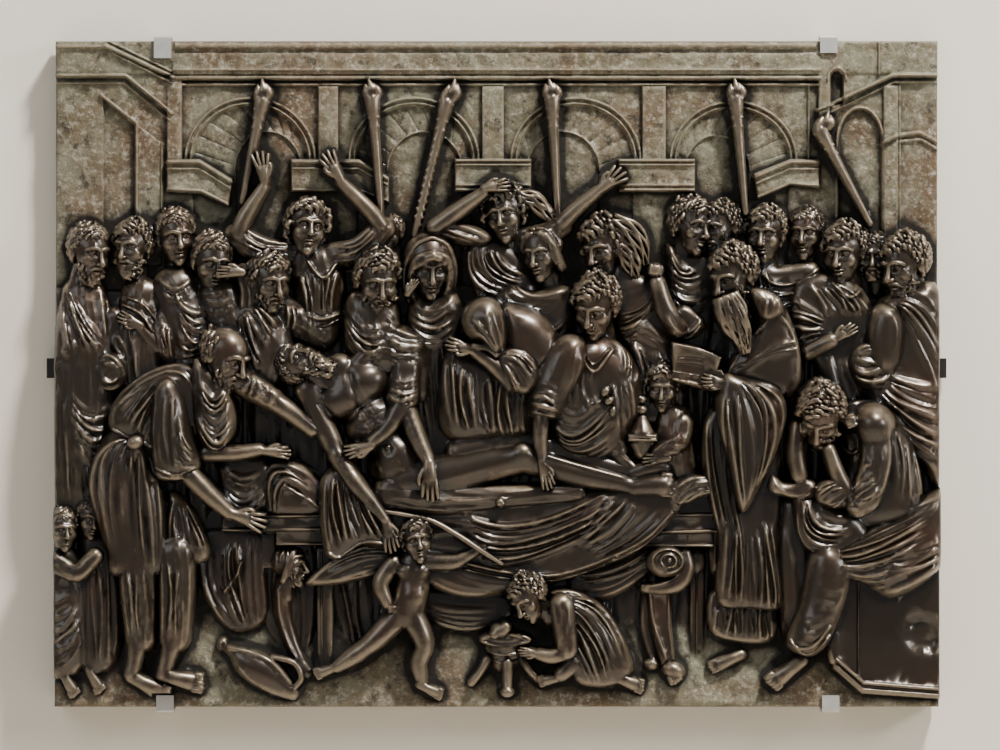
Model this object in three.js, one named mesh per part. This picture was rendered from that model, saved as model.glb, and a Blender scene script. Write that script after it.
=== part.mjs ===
// Cast bronze relief plaque: a funeral scene under four torch-lit arches, held to a wall by four bent clips.
// Millimetres, +X right, +Z up, front towards -Y. Origin: middle of the flat back, on the wall plane.
import * as THREE from 'three';

const WIDTH = 490;
const HEIGHT = 369.2;
const SLAB = 9;
const GRID = 1.4;
const PANEL_TRIANGLES = 9000;
const FAR = -90;
const FOLD_SHARE = 0.6;

const CLIP = { width: 9.6, thick: 1.8, gap: 0.5, clear: 1.2 };
const CLIPS = [
  { name: 'clip_top_left', x: -185.4, top: true, seat: 5, lip: 9.5 },
  { name: 'clip_top_right', x: 184.4, top: true, seat: 5, lip: 6.6 },
  { name: 'clip_bottom_left', x: -183.6, top: false, seat: 12.6, lip: 6.4 },
  { name: 'clip_bottom_right', x: 185, top: false, seat: 12.6, lip: 6.4 },
];
const PIN = { width: 5, height: 11, depth: 7, gap: 0.4, z: 3 };

const BRONZE = { color: 0x5a4630, roughness: 0.42, metalness: 0.85 };
const STEEL = { color: 0x2b2a28, roughness: 0.6, metalness: 0.7 };

const WALL = 'wall';
const CLOTH = 'cloth';
const SKIN = 'skin';
const HAIR = 'hair';
const WOOD = 'wood';

// ---------------------------------------------------------------- height field being modelled

const nx = Math.round(WIDTH / GRID) + 1;
const nz = Math.round(HEIGHT / GRID) + 1;
const xAt = (i) => -WIDTH / 2 + (WIDTH * i) / (nx - 1);
const zAt = (k) => -HEIGHT / 2 + (HEIGHT * k) / (nz - 1);
const surface = new Float64Array(nx * nz);
const clay = new Float64Array(nx * nz).fill(FAR);
const lerp = THREE.MathUtils.lerp;
const rad = THREE.MathUtils.degToRad;

function eachCell(x0, x1, z0, z1, visit) {
  const i0 = Math.max(0, Math.ceil(((x0 + WIDTH / 2) / WIDTH) * (nx - 1)));
  const i1 = Math.min(nx - 1, Math.floor(((x1 + WIDTH / 2) / WIDTH) * (nx - 1)));
  const k0 = Math.max(0, Math.ceil(((z0 + HEIGHT / 2) / HEIGHT) * (nz - 1)));
  const k1 = Math.min(nz - 1, Math.floor(((z1 + HEIGHT / 2) / HEIGHT) * (nz - 1)));
  for (let k = k0; k <= k1; k++) {
    for (let i = i0; i <= i1; i++) visit(k * nx + i, xAt(i), zAt(k));
  }
}

// Height of a unit dome at distance u from its middle: round on top, steep outside.
function dome(u) {
  const edge = Math.max(u - 0.97, 0);
  const inner = Math.min(u, 0.97);
  return Math.sqrt(1 - inner * inner) - 4 * edge - 40 * edge * edge;
}

function add(cell, h, soft) {
  const old = clay[cell];
  const near = soft > 0 ? Math.max(soft - Math.abs(old - h), 0) : 0;
  clay[cell] = Math.max(old, h) + (soft > 0 ? (near * near) / (4 * soft) : 0);
}

// Nearest place on the stretch a-b: its share t along the stretch, and its distance d.
function nearest(a, b, x, z) {
  const dx = b[0] - a[0];
  const dz = b[1] - a[1];
  const length2 = Math.max(dx * dx + dz * dz, 1e-6);
  const t = THREE.MathUtils.clamp(((x - a[0]) * dx + (z - a[1]) * dz) / length2, 0, 1);
  return { t, d: Math.hypot(x - a[0] - t * dx, z - a[1] - t * dz) };
}

function catmull(p0, p1, p2, p3, t) {
  return p1.map((v, c) => 0.5 * (2 * v + (p2[c] - p0[c]) * t
    + (2 * p0[c] - 5 * v + 4 * p2[c] - p3[c]) * t * t
    + (3 * v - p0[c] - 3 * p2[c] + p3[c]) * t ** 3));
}

function spline(nodes, per) {
  if (nodes.length < 3) return nodes;
  const last = nodes.length - 1;
  const before = nodes[0].map((v, c) => 2 * v - nodes[1][c]);
  const after = nodes[last].map((v, c) => 2 * v - nodes[last - 1][c]);
  const all = [before, ...nodes, after];
  const out = [];
  for (let i = 1; i <= last; i++) {
    for (let j = 0; j < per; j++) out.push(catmull(all[i - 1], all[i], all[i + 1], all[i + 2], j / per));
  }
  out.push(nodes[last]);
  return out;
}

function closed(points) {
  const n = points.length;
  const out = [];
  for (let i = 0; i < n; i++) {
    const four = [points[(i + n - 1) % n], points[i], points[(i + 1) % n], points[(i + 2) % n]];
    for (let j = 0; j < 3; j++) out.push(catmull(...four, j / 3));
  }
  return out;
}

// Round limb along nodes of [x, z, height of its axis, radius].
function tube(nodes, flat, soft) {
  const pts = spline(nodes, 3);
  const form = new Map();
  for (let i = 0; i + 1 < pts.length; i++) {
    const [a, b] = [pts[i], pts[i + 1]];
    const r = 1.45 * Math.max(a[3], b[3]) + 2;
    eachCell(Math.min(a[0], b[0]) - r, Math.max(a[0], b[0]) + r, Math.min(a[1], b[1]) - r, Math.max(a[1], b[1]) + r,
      (cell, x, z) => {
        const { t, d } = nearest(a, b, x, z);
        const radius = Math.max(lerp(a[3], b[3], t), 0.2);
        const h = lerp(a[2], b[2], t) + flat * radius * dome(d / radius);
        form.set(cell, Math.max(form.get(cell) ?? FAR, h));
      });
  }
  for (const [cell, h] of form) add(cell, h, soft);
}

const cloth = (nodes, flat = 0.7, soft = 3) => tube(nodes, flat, soft);
const flesh = (nodes, flat = 0.9, soft = 2) => tube(nodes, flat, soft);

// Ellipsoid with its middle at (x, z, h); lean turns it clockwise in the view.
function blob(kind, x, z, h, rx, rz, rh, lean = 0, soft = 2) {
  const c = Math.cos(rad(lean));
  const s = Math.sin(rad(lean));
  const r = 1.4 * Math.max(rx, rz) + 1;
  eachCell(x - r, x + r, z - r, z + r, (cell, gx, gz) => {
    const u = Math.hypot(((gx - x) * c - (gz - z) * s) / rx, ((gx - x) * s + (gz - z) * c) / rz);
    add(cell, h + rh * dome(u), soft);
  });
}

// Raised strokes on the clay; each is { pts, half, high } with one half width and height a point.
function strokes(lines, sharp) {
  const rise = new Map();
  for (const { pts, half, high } of lines) {
    for (let j = 0; j + 1 < pts.length; j++) {
      const [a, b] = [pts[j], pts[j + 1]];
      const r = Math.max(half[j], half[j + 1]) + 0.5;
      eachCell(Math.min(a[0], b[0]) - r, Math.max(a[0], b[0]) + r, Math.min(a[1], b[1]) - r, Math.max(a[1], b[1]) + r,
        (cell, x, z) => {
          const { t, d } = nearest(a, b, x, z);
          const u = Math.min(d / lerp(half[j], half[j + 1], t), 1);
          const v = lerp(high[j], high[j + 1], t) * (1 - u ** sharp) ** 1.6;
          const old = rise.get(cell) ?? 0;
          rise.set(cell, Math.abs(v) > Math.abs(old) ? v : old);
        });
    }
  }
  for (const [cell, v] of rise) {
    if (clay[cell] > FAR + 5) clay[cell] += v;
  }
}

// Point of the parabola that passes through three given points, halfway at the middle one.
function through(p, t) {
  return [0, 1].map((c) => {
    const mid = 2 * p[1][c] - 0.5 * (p[0][c] + p[2][c]);
    return p[0][c] * (1 - t) ** 2 + 2 * mid * t * (1 - t) + p[2][c] * t * t;
  });
}

// Ridges of cloth spread between the curves a and b, each through three points.
function folds(a, b, ridges, tall = 2.6) {
  const n = Math.max(2, Math.round(ridges * FOLD_SHARE));
  const steps = 8;
  const lines = [];
  for (let i = 0; i < n; i++) {
    const line = { pts: [], half: [], high: [] };
    for (let j = 0; j <= steps; j++) {
      const t = j / steps;
      const pa = through(a, t);
      const pb = through(b, t);
      const gap = Math.hypot(pb[0] - pa[0], pb[1] - pa[1]) / (n - 1);
      line.pts.push([lerp(pa[0], pb[0], i / (n - 1)), lerp(pa[1], pb[1], i / (n - 1))]);
      line.half.push(THREE.MathUtils.clamp(0.6 * gap, 1.4, 6));
      line.high.push(tall * Math.min(1, Math.min(t, 1 - t) / 0.18 + 0.25));
    }
    lines.push(line);
  }
  strokes(lines, 1.3);
}

function ridge(points, wide = 1.2, tall = 2, sharp = 1.6) {
  const pts = spline(points, 3);
  strokes([{ pts, half: pts.map(() => Math.max(wide, 1.2)), high: pts.map(() => tall) }], sharp);
}

function moulding(points, wide, tall) {
  strokes([{ pts: points, half: points.map(() => Math.max(wide, 1.1)), high: points.map(() => tall) }], 3);
}

// Sets the modelled clay into the relief and starts afresh.
function place() {
  for (let cell = 0; cell < clay.length; cell++) surface[cell] = Math.max(surface[cell], clay[cell]);
  clay.fill(FAR);
}

function wall(level) {
  clay.fill(level);
}

// Distance inside an outline, negative outside.
function inside(outline, x, z) {
  let near = 1e6;
  let within = false;
  for (let i = 0; i < outline.length; i++) {
    const a = outline[i];
    const b = outline[(i + 1) % outline.length];
    near = Math.min(near, nearest(a, b, x, z).d);
    const crosses = (a[1] > z) !== (b[1] > z);
    if (crosses && x < ((b[0] - a[0]) * (z - a[1])) / (b[1] - a[1]) + a[0]) within = !within;
  }
  return within ? near : -near;
}

function overOutline(outline, margin, visit) {
  const xs = outline.map((p) => p[0]);
  const zs = outline.map((p) => p[1]);
  eachCell(Math.min(...xs) - margin, Math.max(...xs) + margin, Math.min(...zs) - margin, Math.max(...zs) + margin, visit);
}

// Flat-topped piece over an outline; slope is its rise per mm to the right and up, from its first corner.
function slab(kind, outline, h, slope = [0, 0], edge = 1, soft = 0) {
  overOutline(outline, 3, (cell, x, z) => {
    const s = inside(outline, x, z);
    const fall = THREE.MathUtils.clamp(1 - s / edge, 0, 1);
    const drop = edge * (1 - Math.sqrt(1 - fall * fall)) + (s < 0 ? -12 * s : 0);
    add(cell, h + slope[0] * (x - outline[0][0]) + slope[1] * (z - outline[0][1]) - drop, soft);
  });
}

// Cushion-edged mass of cloth with a smooth outline and its top at height h.
const drape = (outline, h, edge = 6, slope = [0, 0], soft = 2) => slab(CLOTH, closed(outline), h, slope, edge, soft);

function recess(outline, depth) {
  overOutline(outline, 1, (cell, x, z) => {
    clay[cell] -= depth * THREE.MathUtils.clamp(inside(outline, x, z) / 1.2, 0, 1);
  });
}

const join = (a, b) => [...a, ...b];

function oval(cx, cz, rx, rz, a0, a1) {
  const out = [];
  for (let i = 0; i <= 12; i++) {
    const a = rad(a0 + ((a1 - a0) * i) / 12);
    out.push([cx + rx * Math.cos(a), cz + rz * Math.sin(a)]);
  }
  return out;
}

// Round arch over an opening seen a little from one side: rings, deep soffit and the wall beyond.
function arch(cx, base, rx, rz, shift) {
  recess(join(oval(cx, base, rx - 4, rz - 4, 0, 180), [[cx - rx + 4, base - 70], [cx + rx - 4, base - 70]]), 1.2);
  const far = rx - 12 - 0.6 * Math.abs(shift);
  recess(join(oval(cx + shift, base - 6, far, rz - 13, 0, 180),
    [[cx + shift - far, base - 70], [cx + shift + far, base - 70]]), 2.6);
  moulding(oval(cx, base, rx, rz, 0, 180), 1.6, 2.2);
  moulding(oval(cx, base, rx - 2.8, rz - 2.8, 0, 180), 1.1, 1.3);
  moulding(oval(cx + shift, base - 6, far + 0.6, rz - 12.4, 0, 180), 1.1, 1);
}

// Burning torch: shaft from the cup down to the hand, wide cup and flame.
function torch([[x1, z1, h1], [x0, z0, h0]], [fx, fz]) {
  const n = Math.hypot(x1 - x0, z1 - z0);
  const [ux, uz] = [(x1 - x0) / n, (z1 - z0) / n];
  tube([[x1, z1, h1, 3], [x1 - 12 * ux, z1 - 12 * uz, h1, 2.6], [x0, z0, h0, 1.6]], 0.9, 0.5);
  tube([[x1 + 5 * ux, z1 + 5 * uz, h1, 4.2], [x1 - 3 * ux, z1 - 3 * uz, h1, 3.2]], 0.9, 0.5);
  tube([[x1 + 6 * ux, z1 + 6 * uz, h1, 3.6], [(x1 + fx) / 2 + 3 * ux, (z1 + fz) / 2 + 3 * uz, h1 + 0.6, 3.4],
    [fx, fz, h1, 0.8]], 0.8, 0.5);
  place();
}

// Mass of flowing hair along nodes of [x, z, height, half width].
function tress(nodes) {
  tube(nodes.map(([x, z, h, wide]) => [x, z, h, 0.95 * wide]), 0.6, 0);
  place();
}

// World directions of a head's right, up and forward, as rows over (x, z, h).
function pose(turn, nod, tilt, squash) {
  const [a, b, c] = [rad(turn), rad(nod), rad(tilt)];
  const right = [Math.cos(a), 0, -Math.sin(a)];
  const level = [Math.sin(a), 0, Math.cos(a)];
  const ahead = [level[0] * Math.cos(b), -Math.sin(b), level[2] * Math.cos(b)];
  const up = [level[0] * Math.sin(b), Math.cos(b), level[2] * Math.sin(b)];
  const lean = ([x, z, h]) => [x * Math.cos(c) + z * Math.sin(c), z * Math.cos(c) - x * Math.sin(c), h * squash];
  return [lean(right), lean(up), lean(ahead)];
}

// Ellipsoid with radii along a head's three directions.
function ellipsoid(centre, axes, radii, soft) {
  const m = new THREE.Matrix3();
  const col = axes.map((v, i) => v.map((w) => w * radii[i]));
  m.set(col[0][0], col[1][0], col[2][0], col[0][1], col[1][1], col[2][1], col[0][2], col[1][2], col[2][2]);
  const cov = new THREE.Matrix3().multiplyMatrices(m, m.clone().transpose());
  const q = cov.clone().invert().elements;
  const rx = 1.35 * Math.sqrt(cov.elements[0]) + 0.6;
  const rz = 1.35 * Math.sqrt(cov.elements[4]) + 0.6;
  eachCell(centre[0] - rx, centre[0] + rx, centre[1] - rz, centre[1] + rz, (cell, x, z) => {
    const dx = x - centre[0];
    const dz = z - centre[1];
    const lean = (q[2] * dx + q[5] * dz) / q[8];
    const c = q[0] * dx * dx + 2 * q[1] * dx * dz + q[4] * dz * dz - 1;
    const w = 1 - (lean * lean - c / q[8]) * q[8];
    add(cell, centre[2] - lean + dome(Math.sqrt(Math.max(w, 0))) / Math.sqrt(q[8]), soft);
  });
}

// Head whose brow stands at height top; size is chin to crown.
function head(x, z, top, size, turn = 0, nod = 0, tilt = 0, hair = '', beard = '', squash = 0.85) {
  const axes = pose(turn, nod, tilt, squash);
  const mid = [x, z, top - 0.42 * size * squash];
  const at = (r, u, f) => mid.map((v, c) => v + size * (axes[0][c] * r + axes[1][c] * u + axes[2][c] * f));
  const ball = (r, u, f, a, b, c, soft = 0.05) => ellipsoid(at(r, u, f), axes, [a * size, b * size, c * size], soft * size);
  const strip = (nodes, soft = 0.03) => tube(nodes.map(([r, u, f, w]) => [...at(r, u, f), w * size]), 0.9, soft * size);
  strip([[0, -0.22, -0.1, 0.19], [0, -0.72, -0.16, 0.2]]);
  ball(0, 0.14, -0.07, 0.335, 0.36, 0.41);
  ball(0, -0.02, 0.1, 0.28, 0.36, 0.27);
  ball(0, -0.3, 0.17, 0.18, 0.2, 0.19);
  strip([[-0.22, 0.15, 0.25, 0.05], [0, 0.16, 0.36, 0.05], [0.22, 0.15, 0.25, 0.05]]);
  strip([[0, 0.12, 0.36, 0.05], [0, -0.1, 0.48, 0.07]]);
  if (hair !== '' && hair !== 'side') {
    const puff = hair === 'wild' ? 1.16 : 1.05;
    ball(0, 0.26, -0.1, 0.37 * puff, 0.32 * puff, 0.42 * puff, 0);
    for (const s of [-1, 1]) ball(s * 0.24, 0.1, 0, 0.15 * puff, 0.3 * puff, 0.26, 0);
  }
  if (hair === 'hood' || hair === 'veil') ball(0, 0.1, -0.2, 0.45, 0.52, 0.42, 0);
  if (beard !== '') ball(0, -0.42, 0.16, 0.22, 0.24, 0.24, 0.03);
  if (beard === 'long') strip([[0, -0.4, 0.2, 0.2], [0, -0.75, 0.2, 0.15], [0, -1.1, 0.12, 0.07]]);
  place();
}

function hand(x, z, h, size, way) {
  const c = size * Math.cos(rad(way));
  const s = size * Math.sin(rad(way));
  flesh([[x - 0.28 * c, z - 0.28 * s, h, 0.17 * size], [x + 0.1 * c, z + 0.1 * s, h, 0.22 * size]], 0.7, 2);
  for (const side of [-0.16, 0.16]) {
    flesh([[x + 0.2 * c - side * s, z + 0.2 * s + side * c, h, 0.13 * size],
      [x + 0.72 * c - 1.6 * side * s, z + 0.72 * s + 1.6 * side * c, h, 0.09 * size]], 0.8, 0.5);
  }
  place();
}

function fist(x, z, h, size) {
  blob(SKIN, x, z, h, 0.34 * size, 0.3 * size, 0.26 * size, 0, 1);
  place();
}

function foot(x, z, h, size, way) {
  const c = size * Math.cos(rad(way));
  const s = size * Math.sin(rad(way));
  flesh([[x, z, h, 0.16 * size], [x + 0.3 * c, z + 0.3 * s, h + 0.05 * size, 0.17 * size],
    [x + 0.78 * c, z + 0.78 * s, h, 0.21 * size]], 0.75, 2);
  place();
}

function toe_row(x, z, h, size, way) {
  const c = Math.cos(rad(way));
  const s = Math.sin(rad(way));
  flesh([[x + size * s, z - size * c, h, 0.3 * size], [x - size * s, z + size * c, h, 0.3 * size]], 0.9, 1);
}

// ---------------------------------------------------------------- the scene, from back to front

// wall, floor and frame
wall(2.0);
slab(WALL, [[-246, -118], [246, -118], [246, -190], [-246, -190]], 2.0, [0, -0.17], 0.1);
slab(WALL, [[-246, -180.5], [246, -180.5], [246, -190], [-246, -190]], 13.0, [0, 0], 1.0);
slab(WALL, [[-246, 190], [246, 190], [246, 166], [-246, 166]], 5.0, [0, 0], 2.0);
moulding([[-180, 182.0], [180, 182.0]], 2.2, 2.0);
moulding([[-246, 181.5], [-218, 181.5]], 1.5, 2.0);
slab(WALL, [[-180, 178], [180, 178], [180, 166], [-180, 166]], 6.0, [0, 0], 1.0);
moulding([[-180, 164.3], [180, 164.3]], 1.9, 4.5);
moulding([[-180, 160.6], [180, 160.6]], 1.1, 2.6);
moulding([[-180, 168.6], [180, 168.6]], 0.9, 1.2);
arch(-137, 118.5, 36, 34.5, 10);
arch(-46, 118.5, 36, 34.5, 6);
arch(44, 118.5, 36, 34.5, -7);
arch(131.6, 118.5, 35, 32.5, -9);
slab(WALL, [[-99, 159.5], [-88, 159.5], [-88, 118], [-99, 118]], 5.0, [0, 0], 0.6);
slab(WALL, [[-8, 159.5], [4, 159.5], [4, 118], [-8, 118]], 5.0, [0, 0], 0.6);
slab(WALL, [[81, 159.5], [94, 159.5], [94, 118], [81, 118]], 5.0, [0, 0], 0.6);
slab(WALL, [[-183, 164], [-175, 164], [-175, 118], [-183, 118]], 5.0, [0, 0], 0.6);
moulding([[173.4, 160], [173.4, 119]], 0.8, 1.6);
// imposts of the arches
slab(WALL, [[-183, 119], [-165, 119], [-147, 108], [-149, 93], [-164, 100], [-183, 101]], 6.0, [0, 0], 1.0);
moulding([[-183, 117.5], [-165, 117.5], [-147.5, 106.5]], 1.5, 2.6);
moulding([[-183, 113.6], [-165, 113.6], [-148, 103]], 0.9, 1.6);
moulding([[-183, 102.5], [-164, 101.5], [-149, 94]], 1.0, 1.8);
slab(WALL, [[-114, 119], [-76, 119], [-60, 109], [-60, 95], [-77, 101], [-114, 101]], 6.0, [0, 0], 1.0);
moulding([[-114, 117.6], [-76.5, 117.6], [-60, 108]], 1.5, 2.6);
moulding([[-113, 113.8], [-76.5, 113.8], [-60, 104.5]], 0.9, 1.6);
moulding([[-113, 102], [-76.5, 102], [-60, 96]], 1.0, 1.8);
slab(WALL, [[-23, 119], [19, 119], [19, 101], [-23, 101]], 6.0, [0, 0], 1.0);
moulding([[-23, 118.4], [19, 118.4]], 1.2, 2.4);
moulding([[-23, 115.8], [19, 115.8]], 0.9, 1.8);
moulding([[-23, 104.6], [19, 104.6]], 0.9, 1.6);
moulding([[-23, 102], [19, 102]], 1.0, 1.8);
slab(WALL, [[68, 119], [110, 119], [110, 101], [68, 101]], 6.0, [0, 0], 1.0);
moulding([[68, 118.4], [110, 118.4]], 1.2, 2.4);
moulding([[68, 115.8], [110, 115.8]], 0.9, 1.8);
moulding([[68, 104.6], [110, 104.6]], 0.9, 1.6);
moulding([[68, 102], [110, 102]], 1.0, 1.8);
slab(WALL, [[143, 111], [163, 119], [179, 119], [179, 103], [163, 105], [145, 97]], 6.0, [0, 0], 1.0);
moulding([[143, 109], [163, 117.4], [179, 117.4]], 1.5, 2.6);
moulding([[144, 105.5], [163, 113.6], [179, 113.6]], 0.9, 1.6);
moulding([[145, 97.8], [163, 105.5], [179, 104.5]], 1.0, 1.8);
// left wing: cornices running back, door
slab(WALL, [[-246, 190], [-217, 190], [-217, 181], [-180, 163], [-180, 144], [-206, 165],
  [-246, 165]], 4.0, [0, 0], 1.0);
moulding([[-217, 182], [-179.5, 164.5]], 1.5, 3.0);
moulding([[-214, 178.3], [-180.5, 161.5]], 0.9, 2.0);
moulding([[-218, 186], [-181, 168]], 0.9, 1.4);
moulding([[-246, 165.3], [-206, 165.3], [-180.5, 144.5]], 1.4, 2.6);
moulding([[-246, 161.5], [-207, 161.5], [-182, 141]], 0.9, 1.7);
recess([[-219, 153], [-201, 138], [-201, 60], [-219, 60]], 3.5);
moulding([[-220, 155], [-200, 139], [-200, 78]], 1.1, 1.8);
slab(WALL, [[-199.5, 138], [-186, 128], [-186, 60], [-199.5, 60]], 3.6, [0, 0], 0.8);
moulding([[-186, 128], [-186, 70]], 0.8, 1.4);
// right wing: window, niche, jamb
slab(WALL, [[178.5, 145], [220, 165], [246, 165], [246, 190], [212, 190], [212, 183],
  [180, 168]], 4.0, [0, 0], 1.0);
moulding([[178.5, 146.3], [220, 165.6], [246, 165.6]], 1.5, 2.8);
moulding([[180, 142.6], [221, 162], [246, 162]], 0.9, 1.8);
moulding([[212.4, 184], [212.4, 166]], 0.9, 1.6);
slab(WALL, [[179, 175], [185, 175], [185, 144], [179, 141]], 5.4, [0, 0], 0.8);
recess(join(oval(189, 163, 4, 5.5, 0, 180), [[185, 148], [193, 150]]), 4.5);
moulding(oval(189, 163, 5.2, 6.8, 0, 180), 0.8, 1.2);
recess(join(oval(202, 128, 12, 19, 0, 180), [[190, 60], [214, 60]]), 3.6);
moulding(join(join([[189, 70]], oval(202, 128, 13, 20, 180, 0)), [[215, 70]]), 1.1, 1.8);
moulding(join(join([[194, 90]], oval(202, 116, 8, 12, 180, 0)), [[210, 90]]), 0.9, 1.2);
slab(WALL, [[215, 160], [223, 160], [223, 70], [215, 70]], 4.6, [0, 0], 0.8);
moulding([[212, 127], [222, 132], [235, 134], [246, 128]], 1.6, 2.2);
moulding([[224, 129], [236, 130], [246, 124]], 1.2, 1.4);
moulding([[224, 160], [224, 80]], 0.9, 1.4);
place();

// torches
torch([[-131, 146, 12], [-141, 95, 13]], [-130, 163]);
torch([[-68.5, 147, 12], [-64, 88, 13]], [-71, 163]);
torch([[-29, 145, 12], [-45.5, 77, 13]], [-23, 163], 1);
torch([[31, 147, 12], [34, 86, 13]], [29, 163]);
torch([[133, 147, 12], [138, 89, 13]], [132, 163]);
torch([[182, 130, 12], [207, 83, 14]], [184, 145]);

// elder at the far left, his cloak gathered in his arm
cloth([[-229, 42, 5, 13], [-228, 12, 7, 19], [-230, -30, 7, 18], [-233, -72, 5, 14]]);
folds([[-243, 50], [-240, 30], [-237, 12]], [[-238, 52], [-226, 28], [-212, 14]], 7, 3.2);
folds([[-219, 46], [-217, 30], [-216, 14]], [[-209, 44], [-209, 28], [-210, 12]], 3, 3.0);
folds([[-244, 0], [-244, -30], [-244, -74]], [[-238, -6], [-238, -34], [-236, -74]], 3, 3.0);
folds([[-237, -8], [-224, -22], [-208, -14]], [[-234, -34], [-225, -48], [-219, -50]], 7, 3.4);
folds([[-234, -46], [-231, -60], [-230, -74]], [[-224, -52], [-222, -62], [-221, -74]], 3, 2.6);
place();
cloth([[-212, 30, 10, 7], [-206, 10, 12, 6], [-201, -10, 10, 7]]);
folds([[-206, 30], [-203, 14], [-200, 0]], [[-215, 24], [-211, 14], [-208, 10]], 3, 2.4);
place();
blob(CLOTH, -214, 1, 14, 11, 11, 9, 0, 1);
folds([[-224, 8], [-213, 14], [-203, 4]], [[-218, 4], [-213, 6], [-209, 2]], 3, 3.0);
folds([[-226, -2], [-216, -12], [-203, -6]], [[-219, -1], [-214, -5], [-209, -2]], 3, 3.0);
blob(CLOTH, -214.5, 1, 18, 4.6, 4.2, 5, 0, 1);
place();
cloth([[-243, 4, 12, 6], [-237, 8, 14, 5]]);
place();
head(-226, 66, 21, 31, 38, 10, 4, 'short', 'curls');
hand(-233, 13, 18, 17, 12, 0.0, -1, 4);
// elder beside him, his hand at his chest
cloth([[-197, 42, 7, 12], [-197, 8, 9, 13], [-198, -18, 8, 12]]);
folds([[-208, 38], [-207, 14], [-204, -14]], [[-202, 24], [-200, 8], [-198, -14]], 4, 3.0);
ridge([[-207, 38], [-197, 33], [-189, 22]], 1.5, 2.6);
ridge([[-204, 42], [-195, 38], [-187, 28]], 1.2, 2.0);
place();
cloth([[-184, 30, 12, 6], [-184, 18, 14, 7], [-180, 8, 14, 5]]);
folds([[-190, 30], [-188, 20], [-184, 6]], [[-177, 26], [-178, 16], [-176, 6]], 5, 2.6);
place();
flesh([[-187, 14, 15, 4.0], [-197, 25, 17, 3.2]]);
head(-202, 69, 20, 29, -26, 8, 0, 'curls', 'curls');
hand(-200, 28, 19, 13, 155, 0.0, 1, 4);
// man with a heavy gathered collar
cloth([[-178, 46, 8, 14], [-170, 20, 10, 14], [-168, -10, 9, 13]]);
folds([[-178, 45], [-169, 34], [-157, 37]], [[-178, 36], [-168, 18], [-158, 21]], 5, 3.2);
folds([[-177, 22], [-169, 17], [-160, 20]], [[-177, 8], [-169, 6], [-162, 10]], 4, 2.4);
folds([[-190, 57], [-178, 47], [-166, 56]], [[-188, 50], [-178, 41], [-167, 48]], 3, 2.6);
place();
head(-178, 75, 20, 30, 14, 10, -4, 'short', '');
// man with a hand at his mouth
cloth([[-153, 42, 11, 13], [-148, 24, 12, 12], [-150, 4, 11, 10]]);
folds([[-166, 46], [-156, 44], [-142, 50]], [[-164, 34], [-152, 28], [-138, 36]], 4, 1.6);
place();
head(-158, 61, 25, 31, 22, 16, 4, 'short', '');
hand(-144, 56, 25, 13, 178, 0.0, -1, 3);
cloth([[-140, 56, 17, 5], [-136, 46, 17, 6], [-138, 36, 16, 6]]);
folds([[-144, 58], [-141, 46], [-142, 34]], [[-134, 56], [-131, 46], [-133, 34]], 4, 2.0);
place();
// figure with both arms thrown up
cloth([[-99, 58, 7, 14], [-98, 42, 8, 14], [-98, 24, 7, 12]]);
folds([[-110, 58], [-106, 44], [-105, 32]], [[-87, 58], [-91, 44], [-91, 32]], 7, 2.8);
ridge([[-109, 33], [-97, 30], [-84, 34]], 1.8, 3.0);
ridge([[-106, 29], [-97, 26], [-87, 30]], 1.0, 2.0);
ridge([[-106, 64], [-96, 53], [-87, 63]], 1.5, 2.8);
cloth([[-112, 66, 10, 6.5], [-130, 68, 12, 7.5], [-144, 76, 13, 7]]);
cloth([[-90, 66, 10, 6.5], [-76, 68, 12, 7.5], [-63, 80, 13, 7]]);
folds([[-116, 72], [-132, 76], [-142, 84]], [[-114, 60], [-130, 60], [-148, 70]], 5, 2.6);
folds([[-88, 72], [-76, 76], [-68, 86]], [[-88, 60], [-74, 60], [-58, 76]], 5, 2.6);
place();
flesh([[-143, 77, 16, 4.6], [-139, 87, 17, 4.4], [-129, 103, 17, 3.0]]);
flesh([[-64, 82, 16, 4.4], [-70, 90, 17, 4.2], [-86, 106, 17, 3.0]]);
hand(-129, 111, 18, 15, 100, 0.0, -1, 10);
hand(-89, 112, 18, 15, 120, 0.0, 1, 10);
head(-105, 79, 24, 30, 12, -6, 8, 'wild', '');
head(-59, 77, 14, 20, -20, 5, 0, 'short', '');
// mourner leaning over the dead man's head
cloth([[-134, 30, 13, 13], [-126, 12, 15, 14], [-132, -6, 14, 10]]);
cloth([[-118, 34, 11, 9], [-108, 28, 12, 10], [-100, 22, 11, 8]]);
folds([[-143, 34], [-140, 14], [-134, -2]], [[-134, 38], [-126, 32], [-120, 24]], 7, 3.4);
folds([[-117, 40], [-115, 32], [-117, 23]], [[-101, 38], [-101, 30], [-99, 22]], 6, 2.6);
folds([[-140, 44], [-150, 38], [-160, 26]], [[-134, 38], [-144, 28], [-152, 18]], 4, 1.8);
place();
head(-126, 50, 29, 31, 30, 15, 0, 'curls', 'short');
// man bending over the body
cloth([[-70, 34, 13, 15], [-66, 14, 14, 16], [-50, 10, 14, 14], [-46, -8, 15, 10]]);
folds([[-82, 36], [-73, 25], [-60, 27]], [[-86, 24], [-73, 6], [-58, 12]], 6, 3.2);
folds([[-60, 36], [-50, 32], [-38, 34]], [[-62, 12], [-53, 4], [-42, 2]], 6, 2.8);
place();
cloth([[-50, 2, 21, 8.5], [-52, -12, 23, 9]]);
folds([[-60, -1], [-52, -5], [-43, -2]], [[-61, -18], [-53, -22], [-44, -19]], 6, 2.4);
place();
flesh([[-53, -18, 26, 5.2], [-60, -30, 28, 4.6], [-68, -37, 29, 3.6]]);
hand(-73, -41, 31, 14, 195, 0.0, 1, 5);
head(-66, 50, 30, 33, 14, 20, 0, 'curls', 'short');
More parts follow.
